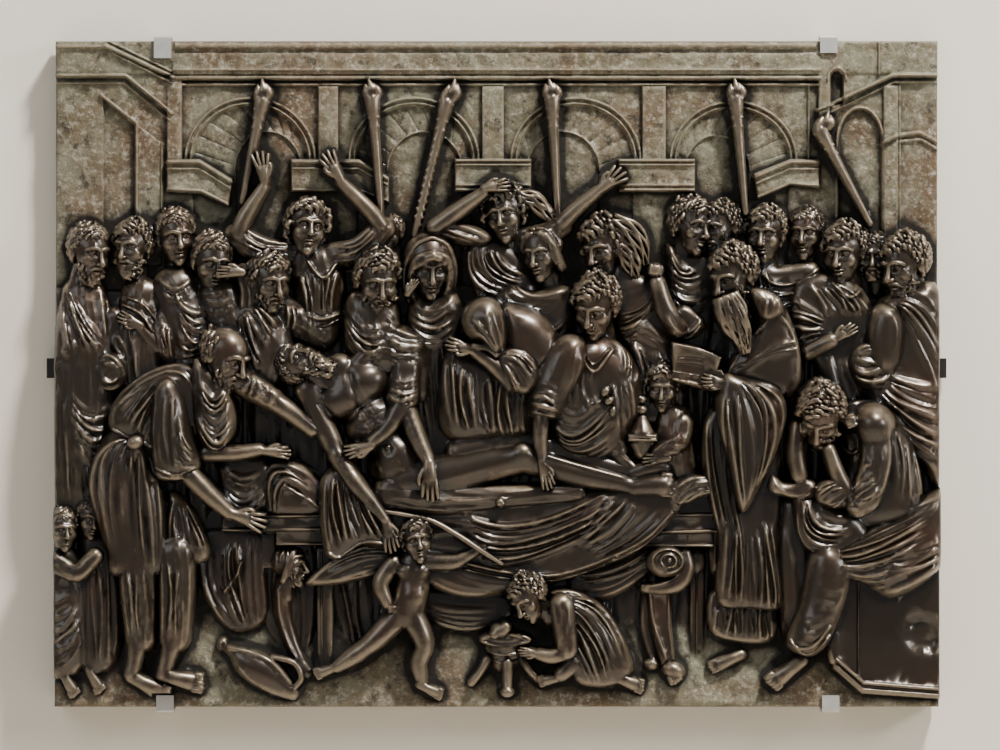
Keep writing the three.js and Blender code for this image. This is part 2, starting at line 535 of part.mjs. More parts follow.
// hooded woman
drape([[-46, 46], [-36, 42], [-22, 44], [-17, 20], [-16, -20], [-18, -52], [-42, -52], [-46, -10],
  [-50, 24]], 17.0, 9.0);
folds([[-46, 20], [-44, -8], [-38, -48]], [[-20, 20], [-17, -4], [-18, -40]], 8, 3.6);
folds([[-48, 42], [-36, 34], [-22, 44]], [[-50, 26], [-36, 16], [-20, 26]], 5, 3.0);
place();
head(-37, 58, 25, 32, 8, 20, 0, 'hood', '');
hand(-48, 46, 24, 9, 60, 0.0, 1, 4);
// woman with her arms over her head
drape([[-14, 74], [4, 74], [18, 62], [24, 40], [20, 10], [-4, 10], [-10, 36], [-16, 58]], 13.0, 8.0);
folds([[-15, 70], [-13, 52], [6, 42]], [[-1, 71], [4, 60], [16, 55]], 7, 3.4);
folds([[-12, 50], [-8, 36], [0, 20]], [[10, 46], [12, 34], [14, 18]], 5, 2.8);
place();
drape([[-36, 86], [-26, 84], [-12, 82], [-2, 76], [-8, 70], [-22, 72], [-36, 76]], 16.0, 5.0);
folds([[-34, 84], [-20, 82], [-6, 76]], [[-32, 77], [-22, 75], [-12, 72]], 3, 2.4);
place();
cloth([[16, 74, 10, 7], [26, 76, 12, 7], [36, 82, 12, 6]]);
place();
flesh([[-34, 81, 17, 4.6], [-20, 91, 18, 4.4], [-7, 100, 20, 3.0]]);
flesh([[36, 83, 14, 4.6], [44, 91, 15, 4.0], [56, 101, 16, 3.0]]);
head(5, 87, 21, 30, -16, 4, -10, 'wild', '');
hand(-3, 103, 22, 13, 10, 0.0, 1, 6);
hand(61, 105, 17, 15, 40, 0.0, 1, 12);
tress([[13, 98, 14, 3], [21, 96, 13, 4.4], [28, 89, 12, 4.4], [34, 79, 11, 2.6]], 6);
// parted-hair woman
drape([[8, 50], [20, 46], [40, 48], [44, 26], [38, 0], [14, 0], [0, 30], [-2, 42]], 18.0, 8.0);
folds([[0, 44], [6, 34], [28, 36]], [[10, 52], [22, 43], [42, 49]], 4, 3.2);
folds([[10, 32], [24, 20], [42, 34]], [[12, 16], [26, 6], [42, 18]], 5, 3.2);
place();
head(25, 66, 23, 29, -26, 12, -6, 'parted', '');
// wild-haired man
drape([[64, 62], [78, 58], [90, 46], [100, 20], [104, -20], [76, -30], [72, 10], [62, 36]], 16.0, 8.0);
folds([[90, 48], [78, 36], [64, 34]], [[84, 30], [74, 20], [64, 20]], 6, 3.2);
folds([[84, 56], [78, 48], [66, 46]], [[88, 50], [78, 40], [64, 38]], 2, 2.4);
folds([[70, 26], [84, 24], [98, 12]], [[74, 22], [86, 18], [99, 8]], 2, 2.4);
folds([[72, 20], [80, 4], [82, -26]], [[98, 8], [102, -6], [102, -28]], 7, 3.4);
place();
flesh([[100, 26, 17, 6.4], [93, 36, 18, 5.6], [89, 50, 19, 4.4]]);
drape([[92, 30], [104, 38], [116, 28], [110, 20], [98, 20]], 17.0, 4.0);
folds([[93, 34], [103, 22], [115, 32]], [[97, 26], [104, 18], [113, 24]], 3, 2.8);
place();
fist(88, 57, 20, 14, 80);
head(60, 69, 23, 31, -40, 18, -6, 'wild', '');
tress([[64, 84, 18, 5], [72, 79, 18, 7], [79, 70, 17, 6], [82, 60, 15, 3]], 8);
tress([[68, 70, 18, 4], [74, 62, 17, 5], [77, 53, 15, 3]], 5);
// pair in the background
drape([[94, 72], [104, 66], [118, 66], [122, 46], [118, 14], [104, 14], [96, 40]], 9.0, 5.0);
folds([[96, 72], [101, 60], [108, 58]], [[95, 54], [104, 46], [117, 50]], 5, 3.0);
folds([[98, 46], [106, 40], [118, 44]], [[98, 38], [106, 32], [117, 36]], 3, 2.6);
place();
head(125, 80, 17, 28, -50, 10, 0, 'curls', 'full');
head(108, 81, 18, 30, 40, 8, 4, 'curls', '');
// two men behind the priest
head(172, 77, 13, 28, -15, 6, 0, 'short', '');
drape([[142, 64], [156, 60], [176, 62], [184, 50], [180, 16], [152, 14], [142, 40]], 11.0, 6.0);
folds([[146, 57], [160, 49], [181, 60]], [[149, 26], [164, 36], [183, 38]], 8, 3.6);
folds([[143, 62], [146, 50], [147, 36]], [[148, 60], [151, 50], [152, 40]], 3, 2.8);
place();
head(149, 76, 19, 30, -14, 6, 0, 'curls', '');
head(210, 64, 14, 26, -10, 6, 0, 'short', 'short');

// man with joined hands
drape([[164, 48], [180, 56], [200, 50], [210, 30], [206, 0], [200, -18], [184, -18], [176, 4],
  [164, 20]], 16.0, 7.0);
folds([[172, 50], [180, 40], [183, 30]], [[186, 50], [200, 42], [208, 30]], 7, 3.4);
ridge([[186, 50], [195, 42], [205, 49]], 1.4, 2.6);
folds([[160, 42], [172, 36], [185, 28]], [[164, 12], [172, 17], [183, 21]], 6, 3.4);
folds([[183, 12], [186, -2], [190, -18]], [[197, 8], [201, -4], [206, -16]], 4, 3.0);
place();
flesh([[173, 12, 17, 4.6], [185, 18, 20, 4.2]]);
head(193, 66, 22, 32, -24, 12, 0, 'curls', '');
hand(190, 21, 21, 13, 32, 0.0, 1, 4);
// large man at the right edge
drape([[211, 40], [226, 47], [247, 42], [247, -62], [236, -52], [222, -38], [208, -20], [197, 0],
  [199, 14], [206, 30]], 20.0, 9.0);
folds([[214, 42], [234, 44], [248, 24]], [[224, 36], [233, 16], [248, -16]], 6, 3.6);
folds([[216, 0], [230, -6], [248, -8]], [[204, -14], [221, -36], [247, -54]], 8, 3.8);
place();
drape([[207, 34], [213, 39], [221, 37], [226, 28], [226, 14], [222, 2], [212, -2], [206, 6],
  [204, 20]], 27.0, 11.0);
folds([[212, 38], [225, 36], [224, 12]], [[216, 34], [221, 26], [219, 8]], 3, 1.6);
place();
drape([[196, 12], [204, 17], [214, 13], [222, 2], [214, -8], [203, -8], [196, 0]], 22.0, 5.0);
folds([[198, 12], [205, 16], [213, 12]], [[196, 0], [206, -10], [222, -1]], 6, 3.4);
place();
head(226, 59, 26, 33, -48, 18, 0, 'curls', 'full');

// veiled bowed figure
drape([[-28, 13], [-20, 14], [0, 6], [18, 2], [23, -16], [20, -34], [-2, -37], [-26, -37],
  [-33, -20]], 27.0, 9.0);
folds([[-29, 10], [-28, -12], [-22, -36]], [[17, -4], [14, -20], [16, -35]], 11, 3.6);
place();
drape([[2, 38], [14, 38], [26, 33], [34, 22], [34, 8], [24, -2], [8, 4], [2, 16]], 32.0, 14.0);
ridge([[4, 36], [3, 24], [4, 12]], 1.2, 1.6);
folds([[31, 26], [30, 16], [24, 6]], [[34, 22], [34, 12], [30, 2]], 2, 1.8);
place();
drape([[1, 11], [10, 14], [20, 9], [24, -2], [18, -11], [8, -9], [2, 2]], 35.0, 5.0);
folds([[2, 10], [14, 13], [25, 2]], [[1, 6], [7, -1], [11, -11]], 8, 2.8);
place();
flesh([[8, -6, 29, 4.4], [-1, 4, 31, 4.0], [-12, 12, 31, 3.2]]);
hand(-17, 14, 32, 14, 165, 0.0, 1, 5);
drape([[-19, 30], [-15, 38], [-7, 42], [1, 39], [5, 28], [5, 14], [-1, 9], [-8, 16], [-16, 20]], 39.0, 11.0);
folds([[-17, 28], [-10, 22], [0, 11]], [[2, 36], [4, 24], [4, 12]], 5, 1.8);
folds([[-15, 19], [-8, 20], [-1, 10]], [[-13, 15], [-6, 14], [-2, 9]], 3, 2.0);
place();
flesh([[-12, 15, 33, 2.0], [-5, 14, 34, 1.8], [0, 10, 34, 1.4]]);
place();

// priest reading: robe, cloak, book, beard
drape([[118, -88], [127, -88], [126, -112], [119, -110]], 16.0, 3.0);
folds([[120, -92], [121, -100], [120, -109]], [[125, -92], [125, -102], [125, -111]], 3, 2.2);
place();
drape([[121, -118], [152, -120], [154, -146], [136, -149], [118, -142]], 17.0, 3.0);
folds([[122, -126], [121, -136], [119, -143]], [[151, -126], [152, -138], [153, -148]], 12, 2.8);
place();
drape([[118, -20], [150, -16], [158, -60], [156, -100], [158, -129], [140, -130], [122, -126], [122, -90],
  [114, -56]], 23.0, 5.0);
folds([[127, -84], [126, -106], [124, -127]], [[150, -80], [155, -106], [157, -129]], 10, 3.2);
folds([[116, -24], [117, -56], [125, -96]], [[128, -20], [130, -60], [136, -96]], 5, 3.2);
place();
drape([[138, 42], [152, 44], [162, 32], [168, 12], [167, -8], [158, -14], [140, -7], [125, -2], [133, 12],
  [142, 26]], 28.0, 9.0);
ridge([[128, 1], [138, 6], [150, 13], [160, 17], [168, 17]], 0.8, 1.0);
ridge([[129, -1], [140, 4], [152, 10.6], [167, 14]], 0.6, 0.8);
ridge([[127, 0], [133, 10], [140, 20], [148, 28], [153, 36]], 1.4, 1.8);
folds([[143, 36], [139, 22], [130, 6]], [[150, 32], [147, 20], [137, 8]], 2, 1.2);
ridge([[156, 33], [163, 24], [167, 10], [168, -4]], 1.8, 1.8);
ridge([[132, -4], [146, -7], [158, -11]], 1.4, 2.2);
place();
drape([[125, 0], [140, -3], [154, -7], [160, -19], [156, -38], [147, -60], [135, -77], [128, -50],
  [121, -20]], 34.0, 8.0);
folds([[127, -4], [124, -40], [134, -75]], [[139, -4], [164, -20], [146, -60]], 9, 3.8);
place();
slab(WOOD, [[97, 2], [96, -4], [121, -10], [127, -4], [124, 2]], 27.0, [0.1, 0.15], 0.8);
ridge([[97, -3], [110, -6], [121, -9.4]], 0.8, 1.4);
place();
slab(WOOD, [[97, 17], [97, 1], [120, -3], [124, 9], [112, 14]], 30.0, [0.1, 0.2], 0.8);
ridge([[97, 1], [109, -1], [121, -3]], 0.9, 1.6);
ridge([[100, 9], [108, 9], [114, 8]], 0.5, -0.7);
ridge([[100, 5.5], [108, 5.2], [114, 4.4]], 0.5, -0.7);
place();
hand(123, -5, 31, 13, 170, 0.0, 1, 5);
head(131, 53, 34, 32, -46, 24, 0, 'curls', 'full');
drape([[140, 46], [148, 46], [156, 41], [158, 34], [152, 29], [146, 30], [143, 36]], 33.0, 5.0);
folds([[140, 44], [152, 48], [156, 34]], [[143, 40], [148, 41], [148, 33]], 3, 2.4);
place();
tress([[126, 42, 36, 7], [130, 32, 37, 8], [134, 22, 36, 6], [137, 11, 34, 2]], 9);
foot(135, -156, 13, 18, 203, 4);

// front-centre man bending over the feet
drape([[38, 18], [52, 22], [64, 20], [76, 8], [82, -12], [74, -34], [64, -46], [46, -48], [32, -40],
  [26, -20], [30, 0]], 29.0, 15.0);
folds([[40, 12], [32, -10], [32, -24]], [[52, 4], [52, -10], [60, -20]], 6, 1.8);
folds([[28, -22], [42, -34], [62, -18]], [[30, -38], [47, -50], [70, -36]], 6, 3.6);
folds([[34, -18], [44, -24], [56, -14]], [[32, -24], [44, -30], [58, -20]], 2, 2.2);
folds([[63, 22], [71, 10], [68, -6]], [[76, 15], [80, 6], [79, -8]], 5, 3.4);
folds([[64, -6], [66, -18], [68, -32]], [[73, -2], [76, -16], [78, -28]], 4, 2.6);
ridge([[43, 18], [53, 1], [64, 13]], 1.6, 3.0);
ridge([[46, 18], [53, 5], [62, 14]], 0.9, 1.6);
place();
drape([[33, 19], [41, 22], [49, 18], [50, 4], [42, -12], [36, -24], [20, -25], [17, -16], [21, 0],
  [26, 12]], 36.0, 11.0);
folds([[38, 18], [33, 4], [30, -8]], [[46, 12], [46, 0], [40, -12]], 4, 1.2);
folds([[18, -8], [27, -6], [37, -15]], [[19, -21], [27, -23], [36, -26]], 5, 2.8);
place();
flesh([[25, -20, 29, 4.4], [24, -36, 29, 3.9], [25, -47, 29, 3.0]]);
hand(26, -53, 30, 14, -72, 0.0, 1, 5);
head(55, 36, 36, 33, -22, 30, 4, 'curls', '');
cloth([[64, -34, 18, 7], [66, -42, 18, 6.5]]);
folds([[57, -36], [64, -31], [73, -36]], [[58, -46], [66, -42], [74, -46]], 4, 2.0);
place();
flesh([[68, -46, 20, 3.6], [77, -54, 19, 3.0]]);
place();

// child with the lidded vase
cloth([[98, -26, 14, 10], [98, -44, 14, 11], [104, -60, 11, 9]]);
folds([[104, -20], [110, -28], [108, -40]], [[92, -26], [96, -34], [98, -42]], 3, 1.6);
place();
cloth([[103, -28, 19, 6], [100, -38, 21, 5.5], [90, -44, 22, 5]]);
folds([[92, -38], [98, -36], [106, -36]], [[90, -44], [98, -44], [106, -44]], 3, 1.6);
place();
tube([[80.3, -25, 20, 3.0], [80.3, -33, 21, 7.0]], 0.9, 0.5, WOOD);
folds([[78.6, -24], [76, -29], [74.5, -33]], [[82, -24], [84.5, -29], [86, -33]], 6, 1.2);
place();
slab(WOOD, [[72.5, -33.5], [88.5, -33.5], [88.5, -37.5], [72.5, -37.5]], 27.5, [0, 0], 1.6);
ridge([[72.5, -35.4], [80.5, -35.9], [88.5, -35.4]], 0.6, -0.9);
place();
tube([[80.5, -39, 20, 7.0], [80.5, -43, 20, 4.5]], 0.9, 0.5, WOOD);
blob(WOOD, 80.3, -20, 21, 3.0, 2.6, 3.0);
blob(WOOD, 80.3, -14.5, 21, 2.6, 2.2, 2.6);
place();
hand(91, -47, 24, 13, 185, 0.0, -1, 4);
head(92, -8, 27, 25, -6, 18, 2, 'curls', '');
blob(CLOTH, 60, -10, 30, 2.6, 3.4, 3, 30, 0.4);
blob(CLOTH, 62, -15, 30, 3.2, 2.4, 3, -30, 0.4);
blob(CLOTH, 64, -21, 29, 2.4, 3.4, 3, 10, 0.4);
place();

// robes of those standing behind the bier, seen under it
drape([[-166, -88], [-130, -88], [-128, -112], [-128, -137], [-145, -144], [-158, -132],
  [-166, -112]], 11.0, 4.0);
folds([[-163, -94], [-162, -118], [-148, -142]], [[-134, -92], [-134, -116], [-132, -137]], 8, 3.0);
ridge([[-151, -121], [-145, -113], [-141, -104]], 1.2, 2.2);
drape([[-131, -92], [-102, -94], [-100, -140], [-108, -160], [-120, -154], [-130, -136]], 8.0, 3.0);
folds([[-128, -96], [-129, -118], [-122, -146]], [[-104, -98], [-102, -126], [-106, -158]], 7, 2.8);
drape([[-92, -100], [-60, -104], [-58, -142], [-76, -158], [-92, -158]], 7.0, 3.0);
folds([[-90, -104], [-88, -130], [-78, -154]], [[-64, -106], [-62, -126], [-66, -148]], 6, 2.2);
drape([[-40, -100], [60, -96], [120, -92], [122, -150], [92, -158], [40, -150], [-10, -146],
  [-40, -140]], 5.0, 3.0);
folds([[50, -98], [52, -122], [50, -148]], [[122, -94], [122, -122], [118, -154]], 13, 2.4);
place();
// bier: frame and left leg with its carved head
slab(WOOD, [[-152, -79], [-94, -78], [-94, -95], [-122, -95], [-122, -88], [-152, -87]], 17.0, [0, 0], 1.0);
moulding([[-152, -79.4], [-122, -79], [-94, -78.3]], 1.2, 2.4);
moulding([[-152, -86.6], [-94, -86]], 1.2, 2.6);
moulding([[-122, -94.4], [-94, -94.4]], 1.2, 2.4);
slab(WOOD, [[84, -66], [120, -66], [120, -80.5], [146, -80.5], [146, -88.5], [120, -88.5], [120, -96],
  [80, -96]], 17.0, [0, 0], 1.0);
moulding([[88, -78.5], [120, -78]], 1.2, 2.4);
moulding([[120, -81.4], [145.5, -81.4]], 1.0, 2.2);
moulding([[84, -88], [118, -87], [146, -87.6]], 1.3, 2.8);
moulding([[80, -95], [120, -95.2]], 1.2, 2.6);
slab(WOOD, [[-131, -88], [-122, -88], [-123, -108], [-130, -108]], 12.0, [0, 0], 1.5);
slab(WOOD, [[-100, -96], [-90, -96], [-91, -168], [-99, -168]], 14.0, [0, 0], 1.5);
moulding([[-97, -100], [-96.6, -166]], 0.8, 1.2);
place();
tube([[-117, -116, 10, 6], [-119, -130, 9, 5.4], [-115, -146, 9, 4.6], [-110, -158, 10, 4.0],
  [-106, -165, 11, 4.6]], 0.9, 1, WOOD);
ridge([[-121, -120], [-120, -134], [-116, -148], [-111, -158]], 1.4, 1.8);
place();
head(-114, -108, 20, 22, 66, 0, 0, 'band', 'short');
// cloths over the bier
drape([[-128, -50], [-112, -47], [-98, -56], [-90, -68], [-94, -79], [-128, -79], [-131, -64]], 20.0, 8.0);
folds([[-130, -77], [-127, -48], [-97, -58]], [[-121, -78], [-115, -60], [-97, -76]], 5, 3.2);
ridge([[-117, -62], [-107, -68], [-96, -75]], 1.2, 2.2);
place();
drape([[42, -110], [84, -94], [88, -108], [62, -126], [44, -126]], 12.0, 4.0);
folds([[46, -112], [66, -108], [84, -98]], [[46, -124], [66, -120], [86, -108]], 4, 2.6);
place();
drape([[-46, -120], [-20, -120], [6, -122], [8, -136], [-16, -143], [-40, -136]], 13.0, 4.0);
folds([[-42, -126], [-24, -131], [4, -130]], [[-40, -134], [-20, -142], [4, -138]], 4, 2.8);
place();
drape([[-62, -62], [-30, -68], [20, -68], [64, -62], [104, -60], [108, -68], [98, -80], [84, -94],
  [66, -104], [44, -112], [12, -121], [-18, -124], [-40, -115], [-54, -98], [-62, -84]], 23.0, 7.0);
folds([[-20, -75], [12, -84], [60, -66]], [[-10, -101], [16, -103], [68, -80]], 7, 3.6);
folds([[40, -90], [52, -78], [62, -64]], [[60, -104], [84, -94], [108, -68]], 8, 3.4);
ridge([[-16, -105], [8, -110], [35, -111], [66, -100], [84, -90], [97, -77]], 1.7, 3.6);
ridge([[-18, -108], [8, -113.4], [36, -114], [60, -106]], 0.9, 2.0);
folds([[-26, -107], [-4, -116], [30, -116]], [[-42, -112], [-20, -122], [10, -121]], 3, 2.8);
folds([[-56, -74], [-30, -76], [0, -75]], [[-52, -96], [-40, -100], [-14, -102]], 5, 2.2);
place();
drape([[-97, -58], [-86, -51], [-74, -58], [-66, -74], [-57, -92], [-63, -97], [-74, -95], [-82, -99],
  [-88, -103], [-95, -99], [-98, -78]], 27.0, 6.0);
folds([[-94, -58], [-95, -80], [-91, -101]], [[-76, -60], [-70, -77], [-60, -94]], 9, 3.8);
ridge([[-93, -99], [-87, -102], [-81, -98], [-75, -94], [-68, -93], [-58, -95]], 1.4, 2.4);
place();
cloth([[-58, -66, 22, 10], [-30, -70, 23, 8], [6, -68, 23, 6], [44, -66, 22, 5]], 0.6);
folds([[-62, -76], [-30, -78], [0, -73]], [[-60, -64], [-30, -70], [20, -67]], 3, 2.0);
place();
cloth([[100, -66, 20, 7], [114, -62, 20, 6], [122, -66, 18, 4]]);
folds([[94, -76], [103, -60], [118, -58]], [[100, -80], [110, -68], [123, -66]], 4, 2.6);
place();
blob(WOOD, 2, -71, 28, 2.6, 2.6, 2.6);
ridge([[-26, -80], [-14, -78], [0, -76], [4, -72]], 1.0, 2.0);
place();
// right leg of the bier: scroll, leaf, tapering shaft and paw, with the back legs behind it
slab(WOOD, [[107, -97], [116, -97], [115, -154], [110, -158], [107, -154]], 9.0, [0, 0], 1.5);
moulding([[111, -98], [111, -155]], 0.8, 1.4);
blob(WOOD, 111, -104, 10, 5, 7, 4);
place();
tube([[84, -122, 10, 3.6], [83, -140, 10, 3.2], [87, -158, 11, 2.8]], 0.9, 1, WOOD);
blob(WOOD, 86, -161, 12, 4.4, 3.4, 4);
place();
slab(WOOD, [[82, -118], [97, -118], [97, -140], [99, -160], [91, -162], [85, -142]], 16.0, [0, 0], 2.5);
ridge([[85, -122], [87, -138], [94, -158]], 1.6, 2.4);
ridge([[95, -122], [95.6, -140], [98, -158]], 1.1, 1.6);
place();
blob(WOOD, 98, -164, 17, 6.4, 4.6, 5, 20);
toe_row(98, -167, 19, 4.6, -65, 4);
tube([[104, -100, 15, 4], [105, -108, 16, 4.4], [101, -116, 17, 4.2], [91, -119, 17, 3.4],
  [82, -119, 16, 2.4]], 0.8, 1, WOOD);
ridge([[101, -106], [100, -111], [93, -115], [82, -118]], 1.2, 2.0);
ridge([[96, -111], [88, -112], [80, -117]], 1.4, 2.4);
place();
blob(WOOD, 94, -104, 19, 10.4, 8.8, 6);
ridge(oval(94.5, -103.5, 8.6, 6.8, 190, -90), 1.5, 2.4);
ridge(oval(95, -103.4, 4.4, 3.6, 230, -90), 1.2, 2.0);
blob(WOOD, 95.4, -103, 25, 1.6, 1.6, 1.6, 0, 0.5);
place();

// crowd of robes behind the nearer figures
slab(CLOTH, [[-246, 48], [-190, 46], [-120, 30], [-60, 24], [0, 30], [60, 30], [120, 40], [190, 40],
  [246, 36], [246, -100], [-246, -100]], 6.0, [0, 0], 3.0);
folds([[-240, 40], [-242, -20], [-240, -98]], [[-130, 26], [-134, -20], [-130, -98]], 18, 2.2);
folds([[-128, 26], [-130, -20], [-126, -98]], [[0, 26], [4, -20], [0, -98]], 18, 2.2);
folds([[4, 26], [6, -20], [2, -98]], [[120, 30], [122, -20], [120, -98]], 18, 2.2);
folds([[124, 30], [126, -20], [124, -98]], [[242, 34], [243, -20], [242, -98]], 18, 2.2);
place();

// dead man on the bier
blob(SKIN, -80, -8, 13, 21, 18, 17, -38, 3);
blob(SKIN, -67, -28, 13, 17, 18, 16, -32, 8);
blob(SKIN, -54, -50, 12, 17, 16, 17, -20, 8);
blob(SKIN, -87, -15, 18, 12, 10, 11, -25, 6);
blob(SKIN, -71, -4, 18, 12, 11, 11.5, -25, 6);
blob(SKIN, -73, 9, 16, 9.5, 6, 11, -30, 5);
blob(SKIN, -63, -30, 16, 11, 9, 12.5, -35, 8);
blob(SKIN, -56, -42, 16, 11, 9, 12, -30, 8);
flesh([[-104, -9, 21, 7.4], [-96, -28, 22, 6.4], [-88, -44, 24, 4.8]], 0.9, 4);
ridge([[-81, -1], [-78, -10], [-73, -20], [-66, -31], [-59, -43]], 3.4, -1.8, 2.0);
ridge([[-97, -17], [-90, -25], [-81, -25], [-76, -19]], 2.6, -1.8, 2.0);
ridge([[-76, -19], [-68, -15], [-59, -11]], 2.6, -1.6, 2.0);
ridge([[-76, -29], [-69, -25], [-62, -21]], 2.0, -0.9, 2.0);
ridge([[-74, -36], [-67, -32], [-59, -27]], 2.0, -0.9, 2.0);
ridge([[-78, -34], [-71, -46], [-66, -56]], 3.0, -1.0, 2.0);
ridge([[-101, 3], [-93, 2], [-84, 6], [-76, 13]], 1.6, 1.2, 2.0);
blob(CLOTH, -60, -41, 27.6, 1.0, 1.0, 0.1, 0, 0.5);
place();
flesh([[-97, -2, 20, 8], [-86, 3, 20, 8]]);
place();
flesh([[-88, -45, 25, 5.0], [-79, -59, 28, 5.0], [-69, -71, 28, 4.0], [-62, -80, 28, 3.0]]);
hand(-60, -86, 28, 16, -76, 0.0, 1, 5);
head(-108, 5, 33, 28, 40, -12, -60, 'short', 'full');
flesh([[-20, -44, 17, 9], [8, -39, 18, 8], [22, -39, 18, 7.2], [50, -48, 18, 6.0], [76, -55, 18, 4.2]]);
place();
flesh([[-50, -59, 18, 12.5], [-26, -56, 20, 11.5], [-4, -50, 21, 9.6], [16, -46, 22, 8.2]], 0.9, 5);
flesh([[14, -46, 22, 8.2], [30, -51, 22, 7.4], [48, -56, 22, 7.0], [66, -60, 22, 5.4], [78, -63, 22, 4.2]]);
blob(SKIN, 14, -44, 25, 6, 6, 5.6, 20, 4);
ridge([[-52, -67], [-30, -63], [-6, -57]], 4.0, -0.8, 2.0);
ridge([[24, -44], [44, -50], [70, -57]], 1.4, 1.0, 2.0);
ridge([[-64, -53], [-55, -50], [-46, -47]], 1.6, 1.4);
place();
flesh([[-49, -22, 24, 5.4], [-43, -37, 28, 4.8], [-38, -47, 31, 3.6]]);
place();
hand(-37, -55, 33, 19, -88, 0.0, -1, 4);
flesh([[76, -63, 22, 5], [84, -62, 23, 5.6], [92, -62, 23, 6.4]]);
toe_row(92, -61.5, 25, 6.4, -2, 5);
flesh([[76, -55, 19, 4.5], [86, -52, 20, 5], [93, -52, 20, 3.4]]);
place();

// elder bending at the head of the bier
drape([[-212, -30], [-222, -44], [-226, -60], [-222, -80], [-216, -98], [-212, -112], [-184, -112],
  [-181, -90], [-182, -70], [-188, -48], [-196, -34]], 27.0, 10.0);
folds([[-203, -36], [-223, -56], [-213, -110]], [[-196, -36], [-187, -60], [-185, -110]], 8, 3.2);
folds([[-200, -40], [-214, -64], [-210, -84]], [[-198, -40], [-206, -64], [-205, -84]], 2, 2.0);
place();
drape([[-181, -66], [-172, -70], [-163, -84], [-158, -99], [-164, -105], [-178, -104], [-183, -84]], 23.0, 6.0);
folds([[-177, -68], [-181, -86], [-179, -104]], [[-173, -68], [-164, -86], [-159, -100]], 6, 3.2);
place();
drape([[-212, -16], [-199, -3], [-182, 5], [-166, 3], [-159, -14], [-162, -34], [-170, -48], [-186, -52],
  [-200, -40], [-214, -31]], 29.0, 10.0);
folds([[-184, -1], [-200, -11], [-213, -22]], [[-180, -2], [-184, -20], [-191, -42]], 8, 3.4);
ridge([[-211, -11], [-199, -2], [-187, 4], [-176, 6], [-167, 1], [-160, -13]], 2.8, 3.2);
ridge([[-208, -16], [-197, -6], [-186, 0], [-176, 1], [-169, -5], [-165, -16]], 1.3, 1.6);
ridge([[-212, -31], [-205, -35], [-197, -37], [-189, -41]], 1.6, 2.6);
place();
blob(CLOTH, -199, -38, 30, 5, 4, 5, -20);
cloth([[-198, -41, 28, 2.4], [-196, -50, 27, 2.6], [-190, -58, 26, 2.0]]);
cloth([[-200, -41, 28, 2.4], [-202, -50, 27, 2.4], [-203, -60, 26, 1.8]]);
place();
drape([[-189, -8], [-180, -2], [-172, -12], [-168, -30], [-163, -46], [-166, -56], [-178, -59],
  [-188, -56], [-191, -32]], 36.0, 9.0);
folds([[-186, -14], [-189, -34], [-185, -54]], [[-178, -12], [-178, -34], [-176, -56]], 4, 2.0);
folds([[-174, -22], [-172, -36], [-163, -46]], [[-176, -46], [-171, -52], [-163, -50]], 6, 3.2);
ridge([[-189, -55], [-177, -59], [-165, -55]], 1.8, 2.6);
ridge([[-188, -52], [-177, -56], [-165, -52]], 1.1, 1.8);
place();
drape([[-167, 8], [-154, 0], [-145, -16], [-145, -34], [-158, -44], [-167, -28]], 33.0, 7.0);
folds([[-166, 3], [-156, -14], [-147, -2]], [[-165, -28], [-154, -42], [-144, -27]], 8, 3.6);
ridge([[-164, -46], [-150, -43], [-128, -37]], 1.5, 2.6);
place();
flesh([[-168, -57, 30, 5.4], [-157, -68, 30, 4.8], [-147, -77, 29, 3.6]]);
hand(-140, -79, 30, 17, -18, 0.0, 1, 9);
flesh([[-160, -44, 26, 4.6], [-144, -44, 27, 4.2], [-131, -42, 27, 3.2]]);
hand(-124, -43, 28, 13, -4, 0.0, 1, 4);
head(-150, 8, 40, 33, 56, 22, 4, 'side', 'curls');
cloth([[-146, -1, 26, 7], [-134, -8, 27, 7], [-124, -14, 27, 6]]);
folds([[-144, 4], [-142, -4], [-148, -10]], [[-122, -8], [-123, -14], [-129, -20]], 6, 2.4);
place();
flesh([[-126, -13, 26, 5.4], [-114, -21, 26, 5.0], [-102, -31, 24, 4.0]]);
place();
cloth([[-198, -100, 20, 11], [-198, -122, 19, 10], [-197, -146, 17, 8.5]]);
folds([[-207, -104], [-206, -124], [-203, -146]], [[-190, -104], [-189, -124], [-190, -146]], 5, 2.6);
place();
cloth([[-177, -100, 21, 10.5], [-177, -122, 20, 9.5], [-178, -146, 18, 8.5]]);
folds([[-185, -104], [-185, -124], [-185, -146]], [[-169, -104], [-169, -124], [-170, -146]], 5, 2.6);
place();
flesh([[-198, -144, 18, 6], [-200, -158, 18, 4.4], [-202, -166, 19, 4]]);
flesh([[-178, -144, 19, 6], [-182, -158, 19, 4.4], [-184, -166, 20, 4]]);
place();
foot(-201, -168, 19, 22, -28);
foot(-184, -167, 20, 22, -12);
// hanging cloth at the bier's head
drape([[-152, -48], [-128, -47], [-125, -66], [-130, -76], [-150, -76]], 20.0, 5.0);
folds([[-151, -50], [-140, -58], [-127, -50]], [[-152, -68], [-140, -80], [-128, -68]], 6, 3.0);
place();

// two small children at the left edge
drape([[-250, -98], [-234, -98], [-228, -120], [-228, -162], [-250, -164]], 20.0, 8.0);
folds([[-248, -126], [-240, -125], [-234, -118]], [[-242, -163], [-234, -156], [-229, -146]], 8, 2.4);
place();
drape([[-232, -92], [-214, -92], [-206, -118], [-210, -160], [-232, -162]], 17.0, 8.0);
folds([[-230, -108], [-230, -134], [-228, -160]], [[-213, -104], [-210, -134], [-212, -158]], 6, 2.2);
place();
cloth([[-244, -104, 20, 6], [-232, -110, 22, 5], [-222, -101, 21, 4.4]]);
place();
head(-240, -87, 27, 23, 20, 8, 0, 'short', '');
head(-225, -81, 23, 22, 18, 10, 4, 'short', '');
foot(-240, -166, 16, 14, -60);
foot(-226, -164, 15, 14, -60);
